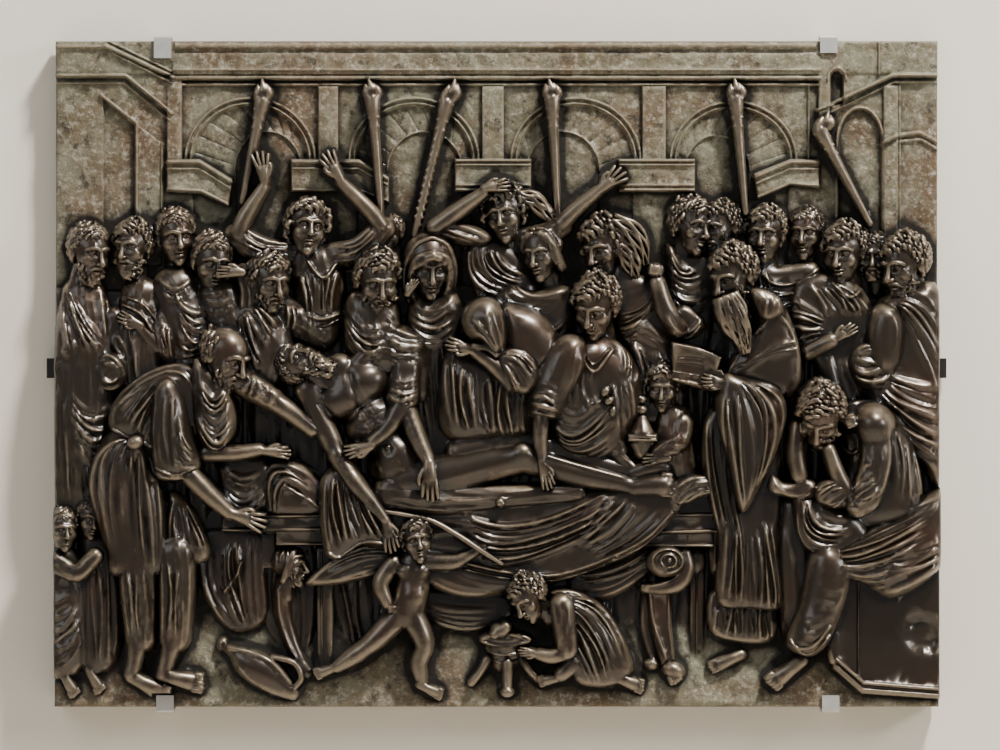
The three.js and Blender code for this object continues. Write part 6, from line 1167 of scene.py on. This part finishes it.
ridge([[-212, -31], [-205, -35], [-197, -37], [-189, -41]], 1.6, 2.6)
place()
blob(CLOTH, -199, -38, 30, 5, 4, 5, -20)
cloth([[-198, -41, 28, 2.4], [-196, -50, 27, 2.6], [-190, -58, 26, 2.0]])
cloth([[-200, -41, 28, 2.4], [-202, -50, 27, 2.4], [-203, -60, 26, 1.8]])
place()
drape([[-189, -8], [-180, -2], [-172, -12], [-168, -30], [-163, -46], [-166, -56], [-178, -59],
    [-188, -56], [-191, -32]], 36.0, 9.0)
folds([[-186, -14], [-189, -34], [-185, -54]], [[-178, -12], [-178, -34], [-176, -56]], 4, 2.0)
folds([[-174, -22], [-172, -36], [-163, -46]], [[-176, -46], [-171, -52], [-163, -50]], 6, 3.2)
ridge([[-189, -55], [-177, -59], [-165, -55]], 1.8, 2.6)
ridge([[-188, -52], [-177, -56], [-165, -52]], 1.1, 1.8)
place()
drape([[-167, 8], [-154, 0], [-145, -16], [-145, -34], [-158, -44], [-167, -28]], 33.0, 7.0)
folds([[-166, 3], [-156, -14], [-147, -2]], [[-165, -28], [-154, -42], [-144, -27]], 8, 3.6)
ridge([[-164, -46], [-150, -43], [-128, -37]], 1.5, 2.6)
place()
flesh([[-168, -57, 30, 5.4], [-157, -68, 30, 4.8], [-147, -77, 29, 3.6]])
hand(-140, -79, 30, 17, -18, 0.0, 1, 9)
flesh([[-160, -44, 26, 4.6], [-144, -44, 27, 4.2], [-131, -42, 27, 3.2]])
hand(-124, -43, 28, 13, -4, 0.0, 1, 4)
head(-150, 8, 40, 33, 56, 22, 4, "side", "curls")
cloth([[-146, -1, 26, 7], [-134, -8, 27, 7], [-124, -14, 27, 6]])
folds([[-144, 4], [-142, -4], [-148, -10]], [[-122, -8], [-123, -14], [-129, -20]], 6, 2.4)
place()
flesh([[-126, -13, 26, 5.4], [-114, -21, 26, 5.0], [-102, -31, 24, 4.0]])
place()
cloth([[-198, -100, 20, 11], [-198, -122, 19, 10], [-197, -146, 17, 8.5]])
folds([[-207, -104], [-206, -124], [-203, -146]], [[-190, -104], [-189, -124], [-190, -146]], 5, 2.6)
place()
cloth([[-177, -100, 21, 10.5], [-177, -122, 20, 9.5], [-178, -146, 18, 8.5]])
folds([[-185, -104], [-185, -124], [-185, -146]], [[-169, -104], [-169, -124], [-170, -146]], 5, 2.6)
place()
flesh([[-198, -144, 18, 6], [-200, -158, 18, 4.4], [-202, -166, 19, 4]])
flesh([[-178, -144, 19, 6], [-182, -158, 19, 4.4], [-184, -166, 20, 4]])
place()
foot(-201, -168, 19, 22, -28)
foot(-184, -167, 20, 22, -12)
# hanging cloth at the bier's head
drape([[-152, -48], [-128, -47], [-125, -66], [-130, -76], [-150, -76]], 20.0, 5.0)
folds([[-151, -50], [-140, -58], [-127, -50]], [[-152, -68], [-140, -80], [-128, -68]], 6, 3.0)
place()

# two small children at the left edge
drape([[-250, -98], [-234, -98], [-228, -120], [-228, -162], [-250, -164]], 20.0, 8.0)
folds([[-248, -126], [-240, -125], [-234, -118]], [[-242, -163], [-234, -156], [-229, -146]], 8, 2.4)
place()
drape([[-232, -92], [-214, -92], [-206, -118], [-210, -160], [-232, -162]], 17.0, 8.0)
folds([[-230, -108], [-230, -134], [-228, -160]], [[-213, -104], [-210, -134], [-212, -158]], 6, 2.2)
place()
cloth([[-244, -104, 20, 6], [-232, -110, 22, 5], [-222, -101, 21, 4.4]])
place()
head(-240, -87, 27, 23, 20, 8, 0, "short", "")
head(-225, -81, 23, 22, 18, 10, 4, "short", "")
foot(-240, -166, 16, 14, -60)
foot(-226, -164, 15, 14, -60)
# jug lying on the floor
tube([[-149, -152, 16, 2.4], [-144, -155, 17, 4], [-138, -160, 17, 7.6], [-129, -165, 17, 9.2],
    [-120, -172, 17, 6.4], [-113, -177, 17, 3.6]], 0.9, 2, WOOD)
ridge([[-148, -151], [-134, -153], [-122, -160], [-113, -170]], 2.6, 2.4, 2.0)
ridge([[-142, -163], [-134, -171], [-122, -178]], 1.0, 1.2)
place()
tube([[-124, -157, 19, 1.5], [-112, -160, 20, 1.5], [-108, -168, 20, 1.5], [-112, -174, 19, 1.5]], 1, 0.5, WOOD)
place()
ridge([[-157, -142], [-152, -148], [-156, -156]], 1.2, 1.6)
blob(CLOTH, -152, -150, 11, 3, 4, 3, 20)

# winged child with a bow
drape([[-56, -97], [-70, -94], [-90, -102], [-106, -116], [-90, -117], [-72, -113], [-58, -109]], 20.0, 4.0)
folds([[-60, -97], [-82, -98], [-104, -115]], [[-60, -109], [-76, -115], [-94, -117]], 9, 1.8, 0.6)
ridge([[-58, -97], [-70, -95], [-90, -103], [-105, -116]], 1.5, 2.0)
place()
flesh([[-46, -105, 20, 8.6], [-46, -117, 22, 8.8], [-50, -132, 22, 9.0]])
blob(SKIN, -46, -123, 25, 7, 6.4, 6, 0, 4)
blob(SKIN, -41, -109, 24, 5, 4, 5, 0, 4)
blob(SKIN, -51, -109, 24, 5, 4, 5, 0, 4)
blob(SKIN, -46.4, -125, 30.4, 0.9, 0.9, 0.1, 0, 0.4)
place()
flesh([[-47, -133, 23, 6.6], [-41, -145, 25, 5.4], [-40, -152, 25, 4.6], [-43, -160, 24, 4.4],
    [-41, -170, 24, 3.0]])
place()
flesh([[-54, -134, 22, 7.0], [-66, -146, 24, 5.6], [-72, -151, 24, 4.6], [-79, -156, 23, 4.6],
    [-88, -162, 22, 3.0]])
place()
flesh([[-37, -104, 24, 5], [-24, -104, 26, 4.2], [-17, -101, 26, 3.4], [-10, -97, 26, 3.0]])
flesh([[-57, -105, 23, 5], [-64, -116, 25, 4.4], [-60, -127, 26, 3.2]])
place()
fist(-8, -97, 26, 10, 0)
fist(-57, -130, 27, 10, -90)
foot(-42, -172, 25, 13, -25)
foot(-88, -162, 21, 13, 200)
head(-44, -93, 34, 24, 10, 4, -6, "curls", "")
tube([[-62, -76, 28, 1.1], [-50, -78, 28, 1.2], [-36, -81, 28, 1.3], [-20, -90, 29, 1.4],
    [-8, -98, 30, 1.3], [3, -105, 28, 1.0]], 1, 0.3, WOOD)
place()

# crouching child and brazier
drape([[28, -122], [40, -119], [56, -126], [68, -142], [76, -164], [64, -173], [46, -172], [38, -160],
    [34, -142]], 25.0, 10.0)
folds([[36, -124], [62, -132], [74, -162]], [[34, -132], [42, -150], [52, -171]], 9, 3.4)
ridge([[30, -121], [42, -120], [54, -126]], 2.0, 2.4)
place()
cloth([[36, -128, 28, 6.5], [38, -142, 29, 6.0], [39, -152, 29, 5.4]])
place()
flesh([[38, -154, 27, 4.4], [30, -156, 28, 3.8], [24, -155, 28, 3.0]])
hand(20, -154, 28, 10, 175, 0.0, 1, 4)
flesh([[42, -160, 22, 5.4], [36, -166, 22, 4.0]])
foot(36, -168, 20, 13, 190)
foot(66, -168, 19, 16, -20)
head(18, -124, 36, 25, -48, 34, -10, "curls", "")
tube([[5, -152, 16, 11], [5, -158, 15, 8.0]], 0.9, 0.5, WOOD)
ridge([[-8, -153], [5, -155.6], [17, -153]], 1.0, 1.4)
ridge([[-6, -157], [5, -160], [15, -157]], 1.0, 1.4)
place()
slab(WOOD, oval(5, -147, 14.2, 3.8, 0, 360), 26.0, [0, 0], 1.0)
ridge([[-6, -147], [5, -144.8], [16, -147]], 1.2, -1.2)
ridge([[-6, -147.4], [5, -149.2], [16, -147.4]], 1.2, -1.2)
place()
blob(HAIR, 2, -142, 25, 5, 4, 4, 10, 0.5)
blob(HAIR, 5, -140, 26, 3, 3.4, 3, 0, 0.5)
blob(HAIR, -1, -144, 26, 3, 2.6, 3, 0, 0.5)
tube([[-5, -158, 18, 2.4], [-9, -165, 18, 2.0], [-14, -171, 17, 2.2]], 0.9, 0.5, WOOD)
tube([[6, -160, 22, 3], [6, -174, 21, 2.4]], 0.9, 0.5, WOOD)
tube([[14, -158, 18, 2.4], [18, -164, 18, 2.0], [23, -169, 17, 2.2]], 0.9, 0.5, WOOD)
blob(WOOD, 6, -176, 22, 3.6, 2.8, 3)
place()

# seated mourner on a block, at the right
slab(WOOD, [[187, -108], [246, -108], [246, -180], [202, -177], [186, -163]], 19.0, [0, 0], 1.4)
moulding([[188, -158], [203, -171], [245, -174.5]], 1.5, 2.4)
moulding([[188, -161.5], [203, -174.6], [245, -177.8]], 0.9, 1.4)
moulding([[200, -112], [200, -167]], 0.8, 1.2)
recess(oval(236, -144, 12, 12, 0, 360), 3.0, 5.0)
recess(oval(231, -137, 6, 5, 0, 360), 1.6, 3.0)
recess(oval(241, -150, 5, 6, 0, 360), 1.6, 3.0)
place()
drape([[156, -74], [159, -68], [164, -66], [169, -69], [172, -78], [175, -100], [176, -124], [170, -152],
    [159, -148], [155, -110]], 24.0, 9.0)
folds([[158, -80], [158, -110], [161, -142]], [[168, -84], [171, -112], [169, -140]], 3, 1.8)
place()
drape([[192, -17], [204, -14], [216, -17], [226, -27], [232, -44], [236, -66], [232, -84], [206, -90],
    [190, -78], [190, -50], [188, -30]], 30.0, 16.0)
folds([[217, -28], [220, -50], [220, -76]], [[230, -36], [234, -56], [233, -78]], 4, 2.4)
ridge([[194, -17], [205, -14], [217, -18], [227, -30], [232, -46], [235, -66]], 1.5, 2.2)
ridge([[190, -24], [198, -22], [203, -28], [202, -36]], 1.4, 2.4)
ridge([[190, -40], [195, -44], [200, -42]], 1.2, 2.4)
folds([[191, -34], [194, -40], [193, -50]], [[199, -30], [202, -40], [198, -52]], 3, 2.0)
place()
drape([[163, -62], [172, -66], [186, -72], [200, -78], [206, -90], [196, -100], [180, -104], [170, -96],
    [164, -82]], 31.0, 8.0)
folds([[172, -66], [178, -84], [202, -84]], [[165, -78], [168, -98], [186, -102]], 7, 3.6)
folds([[178, -68], [184, -78], [198, -78]], [[174, -70], [180, -84], [196, -84]], 2, 2.4)
place()
drape([[180, -100], [198, -88], [222, -79], [240, -66], [248, -66], [248, -100], [236, -116], [217, -124],
    [200, -115], [184, -115]], 33.0, 12.0)
folds([[184, -95], [206, -86], [242, -68]], [[186, -104], [210, -104], [247, -84]], 6, 3.8)
folds([[188, -106], [204, -112], [222, -104]], [[192, -114], [206, -119], [222, -112]], 3, 3.0)
folds([[216, -96], [232, -98], [247, -90]], [[214, -122], [232, -114], [247, -102]], 4, 3.4)
place()
drape([[171, -104], [174, -97], [182, -93], [191, -97], [196, -106], [193, -124], [184, -147],
    [174, -156], [163, -153], [160, -145], [167, -125]], 37.0, 12.0)
folds([[194, -108], [186, -112], [178, -108]], [[192, -122], [186, -128], [178, -126]], 3, 1.6)
folds([[188, -130], [178, -137], [169, -136]], [[183, -145], [176, -150], [168, -147]], 3, 1.8)
ridge([[161, -146], [165, -151], [174, -150], [184, -139]], 1.3, 2.4)
ridge([[163, -150], [170, -155], [177, -152], [184, -144]], 1.1, 2.0)
place()
drape([[183, -146], [190, -142], [190, -158], [184, -160]], 20.0, 3.0)
place()
flesh([[166, -30, 28, 4.2], [165, -44, 28, 4.6], [167, -56, 28, 4.6]])
drape([[152, -56], [158, -60], [164, -60], [172, -58], [177, -62], [174, -69], [160, -68],
    [150, -64]], 31.0, 4.0)
folds([[152, -58], [163, -68], [176, -60]], [[152, -63], [163, -74], [176, -66]], 3, 2.6)
place()
flesh([[194, -68, 32, 5.0], [188, -56, 34, 4.2], [183, -42, 35, 3.4]])
place()
blob(CLOTH, 208, -28, 24, 13, 12, 18, 30, 6)
cloth([[208, -30, 31, 9.0], [209, -48, 33, 8.6], [204, -66, 34, 8.4], [199, -72, 34, 7.0]], 0.8, 6)
folds([[207, -50], [199, -53], [193, -62]], [[212, -64], [204, -70], [194, -72]], 7, 2.2)
folds([[190, -58], [186, -64], [176, -66]], [[200, -76], [192, -74], [182, -76]], 7, 2.6)
ridge([[187, -76], [194, -79], [204, -78], [210, -72]], 1.2, 1.8)
place()
drape([[176, -62], [184, -58], [194, -60], [198, -66], [192, -74], [182, -74], [176, -70]], 36.0, 5.0)
folds([[192, -60], [182, -60], [175, -66]], [[194, -66], [188, -72], [182, -76]], 6, 2.6)
place()
fist(195, -26, 34, 14, 200)
fist(170, -30, 33, 13, 90)
head(179, -24, 46, 33, -14, 52, 6, "curls", "short")
foot(168, -159, 22, 21, 217)


# ---------------------------------------------------------------- the cast panel as one mesh

MM = 0.001
TRIANGLES = 192000
CLIPS = [(-185.4, 1, 5.0, 9.5), (184.4, 1, 5.0, 6.6), (-183.6, -1, 12.6, 6.4), (185.0, -1, 12.6, 6.4)]


def seat_clips():
    """Flat seats under the four clips' lips: middle x, +1 top or -1 bottom, height and lip length."""
    x, z = np.meshgrid(xs, zs)
    for middle, end, level, lip in CLIPS:
        seat = (np.abs(x - middle) < 6.6) & (end * z > HEIGHT / 2 - lip - 1.6)
        surface[seat] = level


def blur(a, radius):
    """Smooth average over a round of about that radius, in mm, by three passes of a box."""
    n = max(1, int(round(radius / STEP)))
    for axis in (0, 1):
        for _ in range(3):
            pad = [(n + 1, n) if k == axis else (0, 0) for k in (0, 1)]
            total = np.cumsum(np.pad(a, pad, mode="edge"), axis=axis, dtype=np.float64)
            size = a.shape[axis]
            upper = np.take(total, range(2 * n + 1, size + 2 * n + 1), axis=axis)
            lower = np.take(total, range(0, size), axis=axis)
            a = ((upper - lower) / (2 * n + 1)).astype(np.float32)
    return a


def round_edges():
    """The cast's rim falls away a little at all four edges."""
    x, z = np.meshgrid(xs, zs)
    rim = np.minimum(WIDTH / 2 - np.abs(x), HEIGHT / 2 - np.abs(z))
    fall = np.clip(1 - rim / 1.6, 0, 1)
    surface[...] -= 1.4 * (1 - np.sqrt(1 - fall * fall))


def grain(size, seed):
    """Smooth random field from -1 to 1 with lumps about size mm across."""
    rng = np.random.default_rng(seed)
    coarse = rng.uniform(-1, 1, (int(HEIGHT / size) + 3, int(WIDTH / size) + 3)).astype(np.float32)
    i, k = (xs - xs[0]) / size, (zs - zs[0]) / size
    i0, k0 = i.astype(int), k.astype(int)
    u, v = i - i0, (k - k0)[:, None]
    u, v = u * u * (3 - 2 * u), v * v * (3 - 2 * v)
    low = coarse[k0][:, i0] * (1 - u) + coarse[k0][:, i0 + 1] * u
    high = coarse[k0 + 1][:, i0] * (1 - u) + coarse[k0 + 1][:, i0 + 1] * u
    return low * (1 - v) + high * v


def rough_cast():
    """Unchased bronze of the wall and floor is uneven; the figures are nearly smooth."""
    wall = blur((kind == WALL).astype(np.float32), 1.0)
    uneven = 0.50 * grain(11, 1) + 0.45 * grain(5.2, 2) + 0.26 * grain(2.9, 3)
    surface[...] += uneven * (0.10 + 0.90 * wall)


def mesh_from(name, points, triangles):
    mesh = bpy.data.meshes.new(name)
    mesh.vertices.add(len(points))
    mesh.vertices.foreach_set("co", np.ascontiguousarray(points, np.float32).ravel())
    mesh.loops.add(3 * len(triangles))
    mesh.loops.foreach_set("vertex_index", np.ascontiguousarray(triangles, np.int32).ravel())
    mesh.polygons.add(len(triangles))
    mesh.polygons.foreach_set("loop_start", np.arange(0, 3 * len(triangles), 3, dtype=np.int32))
    mesh.update(calc_edges=True)
    mesh.validate()
    return mesh


def panel_mesh():
    """Relief in front, upright sides and a flat back: one closed body, in metres."""
    x, z = np.meshgrid(xs, zs)
    front = np.stack([x, -(SLAB + surface), z], -1).reshape(-1, 3)
    cell = np.arange(nx * nz).reshape(nz, nx)
    a, b, c, d = (v.ravel() for v in (cell[:-1, :-1], cell[:-1, 1:], cell[1:, 1:], cell[1:, :-1]))
    level = surface.ravel()
    flat = np.abs(level[a] - level[c]) < np.abs(level[b] - level[d])
    one = np.where(flat[:, None], np.stack([a, b, c], 1), np.stack([a, b, d], 1))
    two = np.where(flat[:, None], np.stack([a, c, d], 1), np.stack([b, c, d], 1))
    rim = np.concatenate([cell[0, :-1], cell[:-1, -1], cell[-1, :0:-1], cell[:0:-1, 0]])
    after = np.roll(rim, -1)
    n = len(front)
    foot = n + np.arange(len(rim))
    foot_after = np.roll(foot, -1)
    back = front[rim].copy()
    back[:, 1] = 0
    middle = n + len(rim)
    sides = np.concatenate([np.stack([rim, foot, after], 1), np.stack([after, foot, foot_after], 1)])
    rear = np.stack([foot, np.full(len(rim), middle), foot_after], 1)
    points = np.concatenate([front, back, [[0, 0, 0]]]) * MM
    return mesh_from("relief_fine", points, np.concatenate([one, two, sides, rear]))


def reduced(mesh, name, count):
    """The same form in about count triangles."""
    rough = bpy.data.objects.new(name + "_fine", mesh)
    bpy.context.scene.collection.objects.link(rough)
    cut = rough.modifiers.new("fewer", "DECIMATE")
    cut.ratio = count / len(mesh.polygons)
    cut.use_collapse_triangulate = True
    ready = rough.evaluated_get(bpy.context.evaluated_depsgraph_get())
    final = bpy.data.meshes.new_from_object(ready)
    bpy.data.objects.remove(rough)
    bpy.data.meshes.remove(mesh)
    final.name = name
    piece = bpy.data.objects.new(name, final)
    bpy.context.scene.collection.objects.link(piece)
    return piece


def sample(field, mesh):
    """Value of a field of the front at each vertex of the mesh."""
    co = np.empty(3 * len(mesh.vertices), np.float32)
    mesh.vertices.foreach_get("co", co)
    co = co.reshape(-1, 3) / MM
    i = np.clip((co[:, 0] - xs[0]) / STEP, 0, nx - 1.001)
    k = np.clip((co[:, 2] - zs[0]) / STEP, 0, nz - 1.001)
    i0, k0 = i.astype(int), k.astype(int)
    u, v = i - i0, k - k0
    value = (field[k0, i0] * (1 - u) * (1 - v) + field[k0, i0 + 1] * u * (1 - v)
             + field[k0 + 1, i0] * (1 - u) * v + field[k0 + 1, i0 + 1] * u * v)
    return np.where(co[:, 1] > -0.5 * SLAB, 0, value)


def store(mesh, name, values):
    mesh.attributes.new(name, "FLOAT", "POINT").data.foreach_set("value", np.asarray(values, np.float32))


def build_panel():
    rough_cast()
    round_edges()
    seat_clips()
    panel = reduced(panel_mesh(), "relief_panel_cast", TRIANGLES)
    mesh = panel.data
    near = surface - blur(surface, 1.6)
    wide = surface - blur(surface, 5.0)
    # ridges and convex spots get a value that lightens the bronze there: rubbing wear and painted highlight
    store(mesh, "wear_and_highlight", sample(np.clip(0.5 + 0.40 * near + 0.02 * wide, 0, 1), mesh))
    # hollows and the ground round each figure get a value that darkens the bronze nearly to black: dark patina and
    # painted shade
    store(mesh, "patina_and_shade", sample(np.clip(-0.10 * wide - 0.25 * near, 0, 1), mesh))
    store(mesh, "stone", sample(blur((kind == WALL).astype(np.float32), 0.5), mesh))
    bpy.context.view_layer.objects.active = panel
    panel.select_set(True)
    bpy.ops.object.shade_smooth_by_angle(angle=math.radians(52))
    panel.select_set(False)
    panel.data.materials.append(bronze())
    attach(panel, "root")
    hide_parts("relief_panel")
    return panel


# ---------------------------------------------------------------- materials

class Nodes:
    """Short hand for building one material's node tree."""

    def __init__(self, name):
        self.material = bpy.data.materials.new(name)
        self.material.use_nodes = True
        self.tree = self.material.node_tree
        self.shader = self.tree.nodes["Principled BSDF"]

    def add(self, kind, inputs=(), **settings):
        node = self.tree.nodes.new(kind)
        for key, value in settings.items():
            setattr(node, key, value)
        for key, value in dict(inputs).items():
            self.put(node.inputs[key], value)
        return node

    def put(self, socket, value):
        if isinstance(value, bpy.types.NodeSocket):
            self.tree.links.new(value, socket)
        else:
            socket.default_value = value

    def attribute(self, name):
        return self.add("ShaderNodeAttribute", attribute_name=name).outputs["Fac"]

    def place(self):
        return self.add("ShaderNodeTexCoord").outputs["Object"]

    def noise(self, scale, detail=4.0, roughness=0.55):
        return self.add("ShaderNodeTexNoise", {"Vector": self.place(), "Scale": scale, "Detail": detail,
                                               "Roughness": roughness}).outputs["Fac"]

    def maths(self, operation, a, b=0.0, clamp=True):
        return self.add("ShaderNodeMath", {0: a, 1: b}, operation=operation, use_clamp=clamp).outputs[0]

    def ramp(self, value, low, high):
        return self.add("ShaderNodeMapRange", {"Value": value, "From Min": low, "From Max": high}).outputs["Result"]

    def mix(self, factor, a, b):
        node = self.add("ShaderNodeMix", data_type="RGBA")
        self.put(node.inputs["Factor"], factor)
        self.put(node.inputs["A"], a)
        self.put(node.inputs["B"], b)
        return node.outputs["Result"]

    def bump(self, height, strength, distance, normal=None):
        node = self.add("ShaderNodeBump", {"Height": height, "Strength": strength, "Distance": distance})
        if normal:
            self.put(node.inputs["Normal"], normal)
        return node.outputs["Normal"]


def rgb(r, g, b):
    return (r, g, b, 1.0)


def bronze():
    """Dark brown cast bronze: black in the hollows from dark patina and painted shade, golden-brown on the ridges from
    rubbing wear and painted highlight, green-grey on the rough wall.
    """
    n = Nodes("bronze_patina")
    wear_and_highlight = n.attribute("wear_and_highlight")
    patina_and_shade = n.attribute("patina_and_shade")
    stone = n.attribute("stone")
    broad = n.noise(14, 5, 0.6)
    fine = n.noise(170, 6, 0.65)
    speck = n.noise(620, 3, 0.6)
    figure = n.mix(broad, rgb(0.016, 0.010, 0.005), rgb(0.040, 0.025, 0.012))
    figure = n.mix(n.maths("MULTIPLY", n.ramp(n.noise(26, 4, 0.55), 0.5, 0.75), 0.5), figure, rgb(0.070, 0.026, 0.010))
    wall = n.mix(n.ramp(n.noise(22, 6, 0.7), 0.40, 0.60), rgb(0.105, 0.068, 0.034), rgb(0.190, 0.182, 0.120))
    wall = n.mix(n.maths("MULTIPLY", n.ramp(n.noise(9, 3, 0.5), 0.52, 0.68), 0.6), wall, rgb(0.120, 0.058, 0.028))
    wall = n.mix(n.ramp(n.noise(300, 6, 0.75), 0.50, 0.66), wall, rgb(0.330, 0.300, 0.235))
    wall = n.mix(n.ramp(n.noise(120, 6, 0.75), 0.46, 0.34), wall, rgb(0.040, 0.032, 0.018))
    base = n.mix(stone, figure, wall)
    # golden-brown lift on convex ridges: rubbing wear and painted highlight
    ridge_wear_and_highlight = n.ramp(n.maths("ADD", wear_and_highlight, n.maths("MULTIPLY", n.maths("SUBTRACT", fine, 0.5, False), 0.4, False), False),
                 0.70, 1.05)
    base = n.mix(n.maths("MULTIPLY", ridge_wear_and_highlight, 0.7), base, rgb(0.26, 0.205, 0.140))
    # near-black in the hollows and round the figures: dark patina and painted shade
    base = n.mix(n.maths("MULTIPLY", n.ramp(patina_and_shade, 0.06, 0.60), 0.95), base, rgb(0.006, 0.004, 0.002))
    base = n.mix(n.maths("MULTIPLY", n.ramp(speck, 0.60, 0.75), 0.4), base, rgb(0.012, 0.010, 0.007))
    n.put(n.shader.inputs["Base Color"], base)
    n.put(n.shader.inputs["Metallic"], n.maths("SUBTRACT", 0.75, n.maths("MULTIPLY", stone, 0.45)))
    rough = n.maths("ADD", 0.30, n.maths("MULTIPLY", fine, 0.20))
    rough = n.maths("ADD", rough, n.maths("MULTIPLY", stone, 0.22))
    n.put(n.shader.inputs["Roughness"], n.maths("ADD", rough, n.maths("MULTIPLY", n.ramp(patina_and_shade, 0.1, 0.7), 0.3)))
    n.put(n.shader.inputs["Coat Weight"], n.maths("SUBTRACT", 0.9, n.maths("MULTIPLY", stone, 0.7)))
    n.shader.inputs["Coat Roughness"].default_value = 0.26
    pitted = n.maths("ADD", 0.15, n.maths("MULTIPLY", stone, 0.75))
    normal = n.bump(n.noise(260, 6, 0.65), pitted, 0.0010)
    normal = n.bump(n.noise(1100, 3, 0.6), 0.15, 0.0002, normal)
    n.put(n.shader.inputs["Normal"], normal)
    return n.material


def strip_metal(name, dark, light):
    n = Nodes(name)
    n.put(n.shader.inputs["Base Color"], n.mix(n.noise(180, 5, 0.6), dark, light))
    n.put(n.shader.inputs["Metallic"], 0.7)
    n.put(n.shader.inputs["Roughness"], n.maths("ADD", 0.38, n.maths("MULTIPLY", n.noise(400, 3), 0.25)))
    n.put(n.shader.inputs["Normal"], n.bump(n.noise(700, 4), 0.25, 0.0002))
    return n.material


def dress_fixings():
    clip = strip_metal("clip_steel", rgb(0.42, 0.41, 0.39), rgb(0.62, 0.61, 0.58))
    pin = strip_metal("pin_block", rgb(0.020, 0.018, 0.016), rgb(0.050, 0.044, 0.036))
    for name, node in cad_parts.items():
        if name == "relief_panel":
            continue
        node.data.materials.clear()
        node.data.materials.append(clip if name.startswith("clip") else pin)


# ---------------------------------------------------------------- backdrop, light and camera

def backdrop():
    """Pale wall behind the panel and a pale floor well below it."""
    pale = bpy.data.materials.new("studio_pale")
    pale.use_nodes = True
    shader = pale.node_tree.nodes["Principled BSDF"]
    shader.inputs["Base Color"].default_value = rgb(0.82, 0.76, 0.66)
    shader.inputs["Roughness"].default_value = 0.9
    for name, place, turn in (("studio_wall", (0, 0.004, 0), (math.radians(90), 0, 0)), ("studio_floor", (0, 0, -0.9), (0, 0, 0))):
        bpy.ops.mesh.primitive_plane_add(size=8, location=place, rotation=turn)
        plane = bpy.context.object
        plane.name = name
        plane.data.materials.append(pale)


def lamp(name, place, power, size, colour, target=(0, 0, 0)):
    light = bpy.data.lights.new(name, "AREA")
    light.energy = power
    light.size = size
    light.color = colour
    ob = bpy.data.objects.new(name, light)
    ob.location = place
    aim = np.array(target) - np.array(place)
    yaw = math.atan2(aim[1], aim[0]) - math.pi / 2
    pitch = math.atan2(aim[2], math.hypot(aim[0], aim[1])) + math.pi / 2
    ob.rotation_euler = (pitch, 0, yaw)
    bpy.context.scene.collection.objects.link(ob)


def light_and_camera():
    lamp("key", (0.75, -0.95, 1.80), 88, 0.26, (1.0, 0.97, 0.92))
    lamp("second", (1.5, -0.9, 0.55), 12, 0.40, (1.0, 0.98, 0.95))
    lamp("fill", (-1.2, -1.4, 0.9), 7, 1.0, (0.92, 0.96, 1.0))
    world = bpy.data.worlds.new("studio")
    world.use_nodes = True
    world.node_tree.nodes["Background"].inputs["Color"].default_value = rgb(0.95, 0.97, 1.0)
    world.node_tree.nodes["Background"].inputs["Strength"].default_value = 0.26
    bpy.context.scene.world = world
    camera = bpy.data.cameras.new("camera")
    camera.lens = 200
    camera.sensor_width = 36
    ob = bpy.data.objects.new("camera", camera)
    scale = 0.5543 * 1000 * MM
    far = scale * camera.lens / camera.sensor_width
    ob.location = (0.0019, -far - 0.02, -0.0008)
    ob.rotation_euler = (math.radians(90), 0, 0)
    bpy.context.scene.collection.objects.link(ob)
    bpy.context.scene.camera = ob


build_panel()
dress_fixings()
backdrop()
light_and_camera()
